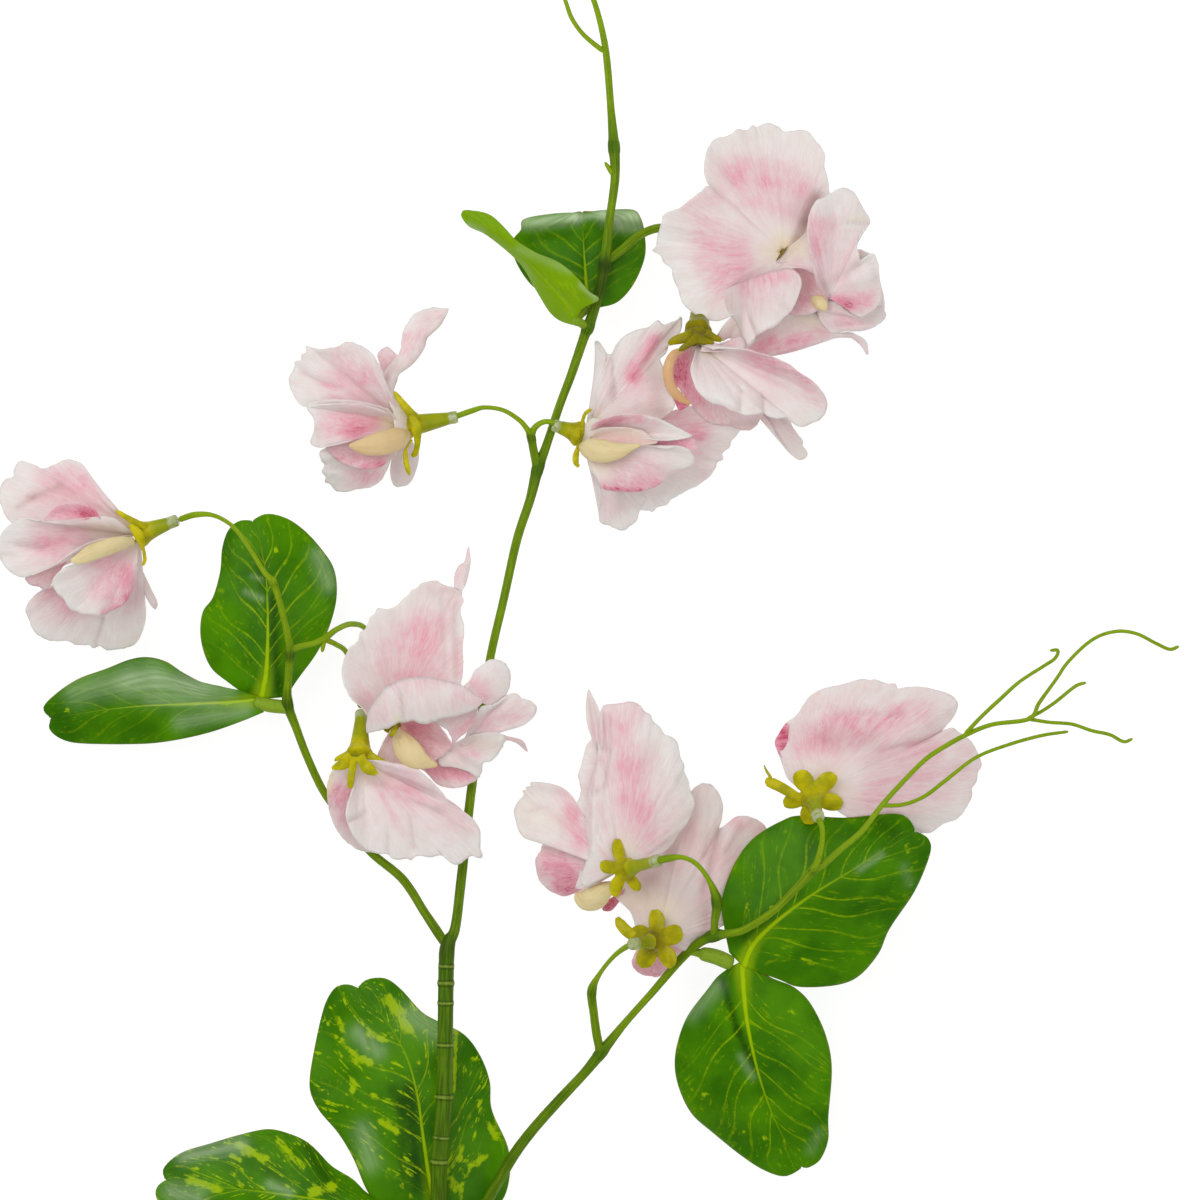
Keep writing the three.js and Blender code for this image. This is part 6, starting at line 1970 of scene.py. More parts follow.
            750,429.5,12, 757,425,12.5, 760.5,419,13, 768,408,15, 776,400,16), flush=dabs(682,356,678,378,8,1.9,
            684,385,694,396,7,0.8, 700,405,720,415,12,0.3), dusk=dabs(733,425,757,422,5,0.55, 690,352,700,358,5,0.35,
            700,402,730,414,5,0.25)),
        Petal(root=path(672,393,23.2), lift=0.2, ruffle=0, frill=0, tint=2.2, rim=path(680,400,22.8, 689,405.5,22.4,
            684,409,22.2, 679,411,22, 675.5,405,22.6)),
        Petal(root=path(700,352,24), lift=0.3, ruffle=0.3, rim=path(702,345,24, 712,343,24.5, 722,344.5,25,
            732,340,24, 741,338,23.5, 745,347,25, 736,352,26.5, 720,353,26), flush=dabs(728,343,742,344,6,0.45),
            dusk=dabs(704,348,730,348,2.5,0.45)),
        Petal(claw=(697,358,18.5), lift=-1, rim=path(764,416,13, 772,425,12, 779,438,10.5, 788,450,9, 796,457.5,8,
            801,459.5,7.8, 806,458.5,8, 808,452,8.5, 803,445,9, 804,441,9.3, 797,432,10.3, 792,424,11, 789,415,12),
            flush=dabs(772,420,792,432,8,0.45), dusk=dabs(768,418,785,422,4,0.3)),
    )),
    Bloom("bloom_5", sleeve=(558,427,21.5), throat=(578,434,20.5), splay=50, twin_height=17, tube=1.35, flare=0.6,
            ripe=0.15, sepals=(wide(582,428,23,1.4, 583,420,23.4,1.1, 585.5,414,23.4,1.1, 590,410.5,23.2,1,
            593,410,23,0.5), wide(580,429,25,1.6, 576,435,26,2.2, 573.5,441,25.4,1.7, 574.5,446.5,24.6,0.9),
            wide(580,440,23,1.2, 578,448,23.6,1.2, 576,456,24,1.6, 576,463,24,1.5, 579,468,24,0.8)),
            keel=wide(582,447,24.5,2.4, 589,449,27,4.6, 602,452,29,5.2, 617,452,30.2,3.8, 630,448.5,30.6,1.8,
            640,446,30.6,0.6), petals=(
        Petal(claw=(588,430,20), frill=0.1, rim=path(592,414,21, 599,398,21, 603,382,20.5, 604.5,366,20, 606,356,19.5,
            601,352,18.5, 597,346,17.5, 595,341,17, 599,341.5,17, 604,349,18.2, 608,354.5,19, 613,353.5,19.3,
            616,346,19.6, 624,337,20, 635,331,20, 648,327.5,19.5, 654,323,19, 658,320.5,18.6, 664,325,18.3,
            671,322,17.5, 677,320,17, 681.5,316.5,16.5, 682,326,17, 678,336,18, 669,343,19, 667,352,19.5,
            660,358,20.5, 664,370,21.5, 668,385,22.5, 674,400,23, 673,410,23, 660,420,23.5),
            folds=dabs(607,360,611,400,3,0.6, 611,400,600,420,3,0.4, 613,362,616,398,3,-0.4, 633,376,655,338,3.5,0.7,
            645,380,660,350,5,-0.5), flush=dabs(633,376,655,338,5.5,1.3, 638,388,650,400,12,0.4,
            632,372,640,380,6,0.5, 606,360,610,395,3,0.25), dusk=dabs(652,368,662,412,10,0.65, 668,330,663,350,9,0.5,
            612,360,614,400,1.6,0.4, 640,408,660,415,8,0.4, 604,349,600,344,3,0.3)),
        Petal(root=path(590,432,23.5), lift=0.8, ruffle=0.3, rim=path(592,426,25, 600,421.5,28, 612,417,30.5,
            625,415,31.5, 640,415.5,32, 655,419,32, 665,423,31.7, 680,430.5,31, 692,437,30.5, 684,439.5,30.5,
            668,441.5,31, 655,441,31.5), flush=dabs(595,425,640,418,4,0.9, 600,423,618,420,4,0.9,
            640,420,655,424,5,0.4), dusk=dabs(600,424,612,422,2,0.3)),
        Petal(root=path(590,438,25.3), lift=0.3, ruffle=0.2, tint=0.3, shade=0.3, warm=0.25, rim=path(600,429,28.3,
            620,428,29.8, 640,431,30.3, 650,437,30.6, 658,443,30.8, 645,446,30.8, 630,446,30.3, 612,444,29.3),
            flush=dabs(605,440,650,442,3,0.5)),
        Petal(root=path(579,436,21.5), lift=0.3, ruffle=0.1, frill=0.05, warm=0.25, rim=path(585,425,22.6,
            592,419,23.6, 600,421,25.5, 603,432,26, 600,446,25.4, 594,458,24.4, 586,459,23.4, 580,450,22.6)),
        Petal(claw=(588,452,22), lift=3.5, twin=True, rim=path(640,445,29, 655,447,30, 668,450,30, 678,447,29.7,
            688,450,29, 694,458,28, 692,466,27.3, 684,470,27, 676,470.5,26.8, 668,477,26.2, 661,484,25.6, 650,489,25,
            638,492,24.7, 622,492,24.5, 604,489.5,24.5, 598,480,24.3, 590,470,24), flush=dabs(605,486,655,485,6,0.9,
            604,489,640,491,2.2,2, 625,472,660,478,9,0.5, 650,462,640,455,8,0.2), cream=dabs(590,466,605,470,8,0.3),
            dusk=dabs(668,474,690,468,3,0.25)),
        Petal(root=path(640,440,28.5), lift=0.2, ruffle=0.2, tint=0.75, rim=path(655,440,29.5, 668,441.5,29.8,
            682,438,29.6, 694,440,29, 696,450,28.5, 688,455,28, 670,453,28.5, 655,450,29),
            flush=dabs(660,444,680,444,5,0.4)),
        Petal(claw=(588,448,18.5), lift=1, rim=path(596,478,17, 601,490,15.5, 601,503,13.8, 599,518,12, 601,523,11.2,
            608,525,10.6, 616,528.5,10, 624,530.5,9.6, 630,526,10, 637,520,10.8, 640,511,11.8, 646,498,13.5),
            folds=dabs(621,494,622,510,4,-0.8, 612,500,610,516,4,0.4), flush=dabs(608,500,610,510,5,0.2),
            dusk=dabs(620,495,622,510,6,0.25, 603,495,604,505,4,0.1)),
        Petal(claw=(590,440,17), lift=1, rim=path(622,490,15.5, 630,501,14, 641,510,12.6, 648,510,12, 652,511.5,11.8,
            659,506.5,11.4, 666,505,11, 672,499,10.6, 684,492,10, 696,486,9.6, 704,481,9.4, 711,475,9.2, 716,467,9,
            718,461.5,9, 723.5,459,9, 723,452,9.2, 730,447,9.3, 732,440,9.5, 740,431,10, 736,424,11, 720,418,13,
            704,410,14.5, 690,406,16, 676,412,17, 664,418,18), folds=dabs(700,440,712,458,4,-0.8,
            690,470,660,500,5,0.5, 715,430,725,440,4,0.5), flush=dabs(672,415,698,432,10,0.95, 685,440,690,450,7,0.7,
            700,445,705,470,10,0.25), dusk=dabs(700,452,708,458,4,0.35, 690,455,695,475,7,0.15)),
    )),
    Bloom("bloom_6", dusky=2, sleeve=(390,703,7), throat=(394,722,14), splay=60, twin_height=13.5, ripe=0.25,
            sepals=(wide(398,724,26.5,1, 395,730,27,1.5, 392.5,735,26.8,1.2, 392,737,26.6,0.6), wide(398,722,18,2,
            402,732,14,1.8, 408,742,10,1.2), wide(392,722,14,2, 392,732,9,1.8, 396,742,6,1.2)),
            keel=wide(399,731,20,1.8, 403,740,23.5,4.6, 409,750,26,6, 418,757.5,27,5.2, 428,762,26.8,2.8,
            438,764.5,26.3,0.8), petals=(
        Petal(claw=(396,722,16), lift=-0.5, frill=0.12, rim=path(368,716,20.5, 361,706,21, 353,700,21, 347,690,20.8,
            343,678,20.5, 342.5,668,20.3, 346,655,20, 351,647,20, 359,640,20, 360,633,19.8, 366,628,19.7,
            370,618,19.5, 375,614,19.3, 378,608,19, 388,609,18.8, 396,606,18.6, 403,599,18.4, 408,595,18.3,
            412,590,18.2, 417,588,18.2, 422,583,18.3, 430,581,18.5, 437,581,18.7, 446,585.5,18.9, 454,587,19,
            461,590,19.2, 462,596,19.4, 464,601,19.6, 461,607,19.8, 461,614,20.2, 464,624,20.8, 464.5,634,21.2,
            463,645,21.7, 463.5,660,22.5, 463,674,23.5, 461,685,24.5), folds=dabs(446,602,448,665,3,0.6,
            453,600,455,675,3,-0.6, 440,592,441,640,3,-0.5, 459,620,459,680,3,0.6), flush=dabs(410,640,430,655,16,0.6,
            420,620,440,622,10,0.5, 400,676,440,678,8,0.5, 385,660,400,670,14,0.3, 445,588,455,600,10,0.4,
            460,640,461,675,4,0.6, 365,700,378,706,10,0.4, 420,650,432,640,6,0.4), dusk=dabs(446,590,462,593,3,0.45,
            453,605,454,675,2,0.3, 441,600,441,640,2,0.2, 430,588,445,600,8,0.2, 360,700,368,708,5,0.25)),
        Petal(root=path(454.5,588,18.6, 455,575,18, 459,566,17.6, 465,562,17.4, 467,553,17.2, 468.5,547,17), lift=0.5,
            cross=True, ruffle=0, frill=0.1, tint=0.15, rim=path(462,592,19, 466,584,18.6, 469,573,18, 470.5,563,17.7,
            470,554,17.4, 468.5,547,17), dusk=dabs(467,565,465,585,1.5,0.4)),
        Petal(root=path(367,728,25, 370,712,27, 376,701,28.5, 386,688,30.5, 400,680,32, 415,677,33, 430,677,33,
            445,680,32.5, 462,685,31.5, 476,695,30, 484,700,29), lift=1.4, ruffle=0.4, frill=0.12, roll=1.2,
            rim=path(368,733,25, 378,730,26, 388,728,27.5, 396,724,28.5, 401,721.5,29, 406,722,29.3, 414,719.5,29.8,
            420,722.5,29.8, 427,723,29.8, 434,721,29.8, 442,718,29.8, 456,716,29.8, 468,712,29.5, 478,707,29,
            484,701,28.8), folds=dabs(401,690,405,720,3,-0.9, 425,700,428,720,5,0.4, 385,705,388,725,4,0.4),
            flush=dabs(395,682,452,681,4,0.5, 465,689,480,700,6,0.35), cream=dabs(398,716,400,722,4,0.5),
            dusk=dabs(402,694,405,718,1.8,0.5, 372,712,370,726,4,0.2)),
        Petal(claw=(402,726,18), lift=0.5, ruffle=0.2, tint=0.45, rim=path(414,716,24, 432,718,24.5, 442,728,24,
            449,738,23.3, 453,746,22.5, 446,753,21.5, 436,760,20.5, 424,764,19.5, 410,756,18.5),
            flush=dabs(406,728,422,726,7,1.4, 425,735,445,735,9,0.6, 430,752,445,748,8,0.35),
            dusk=dabs(430,737,448,742,8,0.45)),
        Petal(claw=(398,728,16), lift=0.3, ruffle=0.2, tint=0.25, shade=0.2, rim=path(392,729,18, 386,737,17.5,
            381,747,17, 377,758,16.5, 384,765,16.3, 396,766,16.5, 410,768,17)),
        Petal(root=path(479,706,26.5), lift=0, ruffle=0.1, tint=0.15, shade=0.35, rim=path(470,711,28, 455,715,28.3,
            440,718,27.5, 433,721,27, 441,725,26, 448,730,25.3, 452,737,24.7, 453.5,745,24.2, 460,737,24.8,
            468,731,25.4, 475,722,26), flush=dabs(455,736,472,722,6,0.8, 470,712,477,720,4,0.4)),
        Petal(root=path(470,694,24), lift=1, ruffle=0.3, rim=path(464,686.5,24, 470,680,24, 475,671,23.5,
            482,665.5,22.8, 488,660.5,22.2, 495,659,21.8, 503,661.5,21.3, 509,668,20.8, 511,678,20.5, 509,688,20.5,
            506,695,20.7, 500,701,21, 488,706,22.5), flush=dabs(475,682,486,698,6,0.55),
            dusk=dabs(488,698,503,696,3,0.25)),
        Petal(root=path(462,745,21), lift=1, ruffle=0.4, rim=path(468,732,23.5, 476,718,24.5, 482,706,24.5,
            494,704,23, 503,698,21.8, 510,693.5,21, 517,693.5,20.5, 522,698,20, 530,700,19.3, 535,704,18.8,
            537,710,18.5, 533,717.5,18.7, 527,723,19, 517,727,19.4, 506,728,19.8, 494,730,20.4, 484,733.5,21,
            474,740,21.3), folds=dabs(485,716,505,703,2.6,-0.7), flush=dabs(490,723,522,712,8,0.4,
            480,725,490,716,6,0.2), dusk=dabs(488,712,501,703,1.8,0.55, 470,732,480,715,4,0.2)),
        Petal(root=path(448,750,19.5), lift=1, ruffle=0.3, rim=path(458,741,22, 468,736,22.5, 480,733,22.2,
            492,731.5,21.5, 501,733.5,20.8, 506,738,20.3, 503,746,20, 498,754,19.8, 491,761,19.6, 483,763,19.6,
            482,772,19, 478,778,18.6, 470,772,19, 455,767,19.3, 441,765.5,19.3, 438,758,19.5),
            folds=dabs(463,752,482,762,4,0.7), flush=dabs(463,746,478,752,6,0.45), cream=dabs(475,742,490,745,8,0.2),
            dusk=dabs(472,742,495,744,8,0.35, 462,756,480,768,3,0.25)),
        Petal(root=path(499,733,20, 508,736.5,19.2, 516,738,18.5, 523,741,17.8, 526,747,17, 527.5,752,16.5), lift=0.2,
            cross=True, ruffle=0, frill=0, tint=0.2, shade=0.45, rim=path(502,741,20, 508,740,19.3, 514,741.5,18.6,
            519,744.5,17.9, 523,748.5,17.2, 527.5,752,16.5)),
        Petal(claw=(406,736,17), lift=1, twin=True, tint=0.3, rim=path(482,758,19, 480,772,18, 476,780,17,
            468,785,16.5, 456,788,16.5, 446,787.5,16.5, 437,784,17, 431,777,18, 425,771,19, 417,766,20),
            flush=dabs(430,771,466,776,6,0.9, 440,768,470,770,3,0.5), dusk=dabs(430,768,470,770,3,0.3)),
    )),
    Bloom("bloom_7", sleeve=(361,716,15.5), throat=(360,752,21), splay=68, twin_height=15, flare=0.9,
            sepals=(wide(351,754,22,2.2, 343,757,22,1.9, 337,759,21.6,1.3, 335,761,21.2,0.7), wide(353,756,24,3.2,
            345,763,25,2.8, 338,766,24.6,2.1, 332.5,768,24,1), wide(355.5,756,26,2.8, 354,766,28,2.1,
            352.5,776,28.6,1.9, 351.5,785,28.2,1.6, 351.5,788,28,0.8), wide(361,755,26,3.2, 366,764,28,3,
            372,769,28,2.7, 377,771,27.6,1.9, 378.5,770,27.4,0.9), wide(369,754,23.5,2.4, 378,759,24.4,1.9,
            386,763,24.2,1.7, 389.5,765,24,0.8)), keel=wide(366,768,21.5,1.6, 380,784,23,3.4, 394,798,22.5,3.4,
            406,808,21,1.2), petals=(
        Petal(claw=(358,769,21), lift=1, rim=path(340,765,21, 332,771,20, 328,782,18.5, 327.5,796,17, 329,810,15.5,
            333,823,14, 339,834,13, 347,843,12.3, 356,849,12, 367,852.5,12, 380,852,13, 388,845,14),
            flush=dabs(333,790,350,792,8,1, 335,800,348,815,9,0.75, 345,825,350,835,8,0.4, 352,778,365,780,5,0.7),
            cream=dabs(331,774,329,790,4,0.7), dusk=dabs(352,800,346,822,5,0.45, 348,834,362,846,6,0.5,
            330,807,340,806,1.5,0.3)),
        Petal(claw=(364,764,22.5), lift=3, twin=True, frill=0.1, rim=path(357,786,25.5, 354,793,28, 349,802,29,
            347,812,29, 349,822,28.5, 354,833,27.5, 361,843,26.5, 369,849.5,25.5, 378,852.5,25, 388,853,24.5,
            393,857.5,24.3, 400,859,24.2, 407,857.3,24.2, 412,859.5,24, 416,855.5,24, 423,855,24, 430,856.5,23.8,
            437,855,23.8, 443,854.5,23.6, 448,859,23, 453,863,22.7, 459,864,22.4, 466,859,22, 472,855,21.7,
            477,857,21.2, 481,858,20.8, 483,855,20.6, 480.5,847,21, 481,838,21.5, 480,829,22, 475,820,22.7,
            468,813.5,23.4, 460,808,24, 450,803,24.8, 446,796,25.5, 440,788,26.2, 431,779,26.8, 423,772,27,
            414,765.5,26.8, 404,763.5,26, 395,763,25.2, 388,761,24.8, 380,760,24.3), folds=dabs(370,786,400,792,4,1,
            400,792,440,806,4,1, 395,776,430,790,8,-0.7, 413,818,415,850,3,-0.7, 390,828,389,853,2.5,-0.5,
            348,821,368,812,2,-0.8), flush=dabs(400,787,462,815,14,0.45, 375,784,405,790,7,0.35,
            385,772,420,775,9,0.25), dusk=dabs(390,776,432,788,8,0.35, 350,821,362,815,1.4,0.6,
            412,822,415,846,1.8,0.4, 389,835,389,852,1.6,0.3, 440,850,450,840,3,0.15, 370,782,382,786,3,0.4)),
    )),
    Bloom("bloom_8", sleeve=(655,859,35.3), throat=(624,868,27), splay=84, turn=42, sepal=(4.7,1.75),
            keel=wide(614,884,21.5,2, 604,890,21,4.4, 595,897,20,5.6, 586,899,19,5, 579,896,18,3, 576,893,17.6,0.8),
            petals=(
        Petal(claw=(620,868,24.5), lift=3, frill=0.1, rim=path(586,887,21.5, 581,879,21.6, 584,868,22, 588,855,22.3,
            588.5,842,22.3, 586,828,22, 586,814,21.8, 588,800,21.5, 590,785,21.2, 594,770,21, 597,758,20.6,
            598,748,20.2, 598.5,738,19.6, 599,728,19.2, 600,716,18.8, 602,707,18.6, 607,704.5,18.6, 620,703,19,
            632,701.5,19, 640,705,19, 644,711,19, 650,714,19, 653,721,19, 660,727,19, 664,734,19, 672,737,19,
            677,742,19, 679,750,19, 680,757,19, 684,764,19, 684,772,19, 688,780,19, 690,790,19, 694.5,801,19,
            692,812,19.5, 686,824,20, 679,832,20.5, 672,843,21.3, 662,852,22.3, 645,858,23.5),
            folds=dabs(600,710,600,745,3,1, 600,745,594,790,3,1, 594,790,592,850,3,0.9, 607,715,608,750,3,-0.7,
            608,750,602,790,3,-0.7, 602,790,599,840,3,-0.5, 592,700,597,735,3,-0.5, 670,750,680,800,6,0.5),
            flush=dabs(622,730,628,790,12,0.6, 640,770,646,800,12,0.45, 612,714,632,712,11,0.5,
            625,800,640,815,12,0.4, 645,843,656,838,9,0.4, 634,825,640,832,14,0.35, 595,760,592,790,4,0.35,
            603,730,603,760,3,0.35, 590,800,588,850,3,0.35), dusk=dabs(609,716,611,750,1.8,0.35,
            611,750,605,785,1.8,0.35, 603,715,603,750,1.5,0.3, 597,740,597,765,2,0.3, 600,790,598,830,2,0.2,
            589,700,593,735,4,0.25, 630,860,650,856,4,0.3)),
        Petal(root=path(603,772,21.2), lift=0.3, ruffle=0.15, frill=0.1, tint=0.1, rim=path(598,758,21, 597,748,20.5,
            593,738,20, 588,728,19.5, 586,714,18.8, 586,702,18.2, 588.5,689,17.6, 593,697,18.4, 597.5,706,19.4,
            602,718,20.2, 605,732,20.8, 606,748,21.2), folds=dabs(592,700,597,735,3,-0.4),
            flush=dabs(601,725,603,750,2.5,0.35), dusk=dabs(589,700,593,735,3,0.3, 605,732,605,762,1.6,0.3)),
        Petal(root=path(592,884,20.3, 598,850,20.6, 596,820,20.4, 600,790,19.9, 606,765,19.2, 606,742,18.6), lift=0.4,
            ruffle=0.2, frill=0.12, rim=path(575,888,18.5, 580,872,18.8, 581,858,19, 580,845,19, 582,832,19,
            578,823,18.8, 575,812,18.6, 577,803,18.5, 581,793,18.5, 580,784,18.4, 578,775,18.3, 581,766,18.2,
            583,757,18, 586,747,17.8, 591,739,17.8), flush=dabs(584,850,583,880,3,0.3)),
        Petal(claw=(614,870,22), frill=0.05, rim=path(578,806,18.5, 573,797,17.5, 566,790,16.5, 556,785,15,
            545,783,13.5, 537,782.5,13, 530,782.5,12.5, 531,786.5,12.6, 525.5,787,12.4, 527,790,12.6, 522.5,791,12.4,
            524,795.5,12.7, 518,802,13, 514,811,13.5, 516,822,14.5, 519,831,15.3, 526,838.5,16.3, 540,839,17,
            552,844,17.5, 568,850,18.5, 580,856,19), folds=dabs(530,812,548,806,3,-0.6, 520,800,545,800,4,0.4,
            560,820,563,838,3,-0.4), flush=dabs(562,792,577,812,7,0.65, 572,815,582,842,7,0.75,
            556,845,578,848,4,0.3), cream=dabs(530,812,550,825,18,0.1), dusk=dabs(532,786,566,792,6,0.35,
            528,812,546,807,1.8,0.3, 560,820,562,838,2,0.2)),
        Petal(claw=(614,876,20), lift=1, tint=0.25, rim=path(580,842,17, 562,845,15.5, 545,843,14, 541,850,12.8,
            536,859,11.5, 536,870,10.7, 540,882,10, 549,891,9.7, 556,894.5,9.7, 564,897,9.8, 571,895,10.5, 580,891,13,
            590,888,15), flush=dabs(550,864,572,876,10,1.1, 558,888,572,890,6,1.5, 552,850,575,852,5,0.4),
            dusk=dabs(545,846,575,850,4,0.25)),
        Petal(root=path(625,888,18.5), lift=0.2, ruffle=0, frill=0, tint=2, shade=0.2, rim=path(621,899,17.8,
            612,910,16.8, 606,911,16.6, 602,909,16.8, 608,900,17.8)),
        Petal(root=path(606,886,20.5, 595,888,20.2, 582,889,19.8), lift=0.3, ruffle=0.1, frill=0,
            rim=path(606,883,21.5, 592,881,21, 576,888,19.8)),
        Petal(claw=(620,868,20), lift=-2, rim=path(600,852,12, 594,822,0, 602,792,-12, 630,780,-14, 660,792,-12,
            670,822,0, 656,850,10)),
    )),
    Bloom("bloom_9", dusky=1.5, sleeve=(634,941,34.5), throat=(655,939,27), splay=84, turn=6, sepal=(5.2,2.4),
            strips=wide(634,934,33,2.4, 626,928,33,2.6, 620,921,32.5,2.4, 617,915,32,1), keel=wide(664,932,17.5,1.8,
            674,920,13,3.6, 684,908,10,3.6, 694,898,8,1.4), petals=(
        Petal(claw=(657,937,24.5), frill=0.12, shade=0.3, rim=path(636,930,23, 632,914,21, 624,903,19.5, 616,897,18,
            625,880,16, 645,868,14.5, 668,846,12.5, 688,815,11.5, 690,795,11, 698,786,11, 706,783.5,11, 714,787,11.2,
            720,796,11.8, 723,806,12.3, 722,818,13, 719,829,13.5, 727,824,13, 735,818,12.5, 742,816,12.5,
            752,818,12.8, 763,824,13, 772,838,13.5, 776,852,13.8, 768,885,14.5, 742,914,17.5, 712,931,21,
            684,950,22.5), folds=dabs(719,832,706,890,4,-1.3, 735,825,722,850,4,0.8, 703,795,700,850,6,0.6),
            flush=dabs(700,835,712,862,12,0.4, 738,822,760,832,8,0.65, 725,850,735,860,10,0.4, 704,880,706,930,5,0.4),
            cream=dabs(640,900,665,905,14,0.3), dusk=dabs(718,834,708,880,3.5,0.45, 655,880,690,835,12,0.45,
            640,885,650,880,8,0.35, 740,828,724,850,3,0.3, 668,850,676,870,5,0.25)),
        Petal(claw=(658,942,21.5), tint=0.7, rim=path(640,944,19, 634,955,16.5, 632,964,14.5, 637,972,12, 645,976,11,
            652,977,10, 660,977,9.5, 682,958,10, 700,930,10), flush=dabs(636,966,662,972,8,0.9)),
        Petal(claw=(660,937,20), lift=-2, rim=path(648,912,11, 652,886,0, 668,862,-12, 698,856,-14, 724,876,-12,
            722,904,0, 702,930,11)),
    )),
    Bloom("bloom_10", dusky=0.35, sleeve=(816,814,36.5), throat=(812,796,28.5), splay=84, sepal=(5.2,2.3),
            strips=wide(800,798,32,2, 790,792,33,2.2, 778,785,33,2.4, 768,780,32.5,2.4, 769,776,32,0.9,
            765,769,31.5,0.6, 763,764,31,0.3), keel=wide(826,790,19.5,1.8, 840,784,14.5,3.6, 854,778,11.5,3.6,
            868,774,10,1.4), petals=(
        Petal(claw=(812,793,26), lift=3, frill=0.1, tint=0.1, rim=path(796,786,25, 786,776,23.5, 782,764,22,
            778,753,20.5, 775,743,19.3, 779,733,18, 786,723,17, 797,715,16, 804,704,15.5, 812,694.5,15.3, 826,688,15,
            843,684.5,14.8, 862,679,14.5, 869,680.5,14.5, 876,679.5,14.4, 886,683.5,14.4, 896,684,14.3, 898,689,14.3,
            908,687,14.2, 925,687.5,14, 938,690.5,13.8, 951,695,13.6, 958,703,13.6, 955,715,13.8, 947,725,14.2,
            937,737,14.6, 946,730,14.3, 953,728,14.2, 960,733,14, 970,740,13.5, 977,751,13.2, 982,765,13,
            978,773,13.3, 977,782,13.6, 972,789,13.8, 972,797,14, 965,810,14.5, 957,819,14.8, 943,824,15.5,
            932,832,16, 922,833,16.5, 905,832,18, 860,826,22), folds=dabs(815,712,895,712,5,0.9,
            830,738,880,728,5,-0.8, 935,738,880,752,4,-0.7, 900,700,940,700,6,0.4, 955,790,972,790,4,-0.4),
            flush=dabs(820,735,930,732,16,0.3, 828,716,895,720,9,0.5, 815,733,850,732,9,0.4, 860,733,885,728,8,0.35,
            900,714,922,708,8,0.35, 885,752,930,746,8,0.45, 890,792,960,766,15,0.45, 868,796,876,812,9,0.4,
            802,746,832,746,9,0.35), dusk=dabs(822,736,872,742,13,0.42, 835,712,895,714,3,0.25,
            890,746,930,741,3,0.25, 865,690,885,690,3,0.1, 880,700,895,694,4,0.2)),
        Petal(root=path(788,723,18, 787.5,735,19.7, 788,748,21, 790,760,22.3), lift=0.3, ruffle=0, frill=0.05,
            tint=1.1, rim=path(785,724,17.8, 779,733,18.8, 774.5,742,20, 778,753,21.2, 785,763,22.6),
            flush=dabs(782,732,782,746,5,1.2), dusk=dabs(786,750,788,760,3,0.2)),
        Petal(claw=(816,793,22), lift=-2, rim=path(812,772,14, 822,746,0, 850,728,-12, 884,732,-14, 902,756,-12,
            892,784,0, 866,806,12)),
        Petal(claw=(814,795,22.5), lift=-1, rim=path(800,772,19, 806,742,12, 832,716,8, 870,710,7, 910,722,7,
            930,760,8, 912,796,11, 870,814,17)),
    )),
)

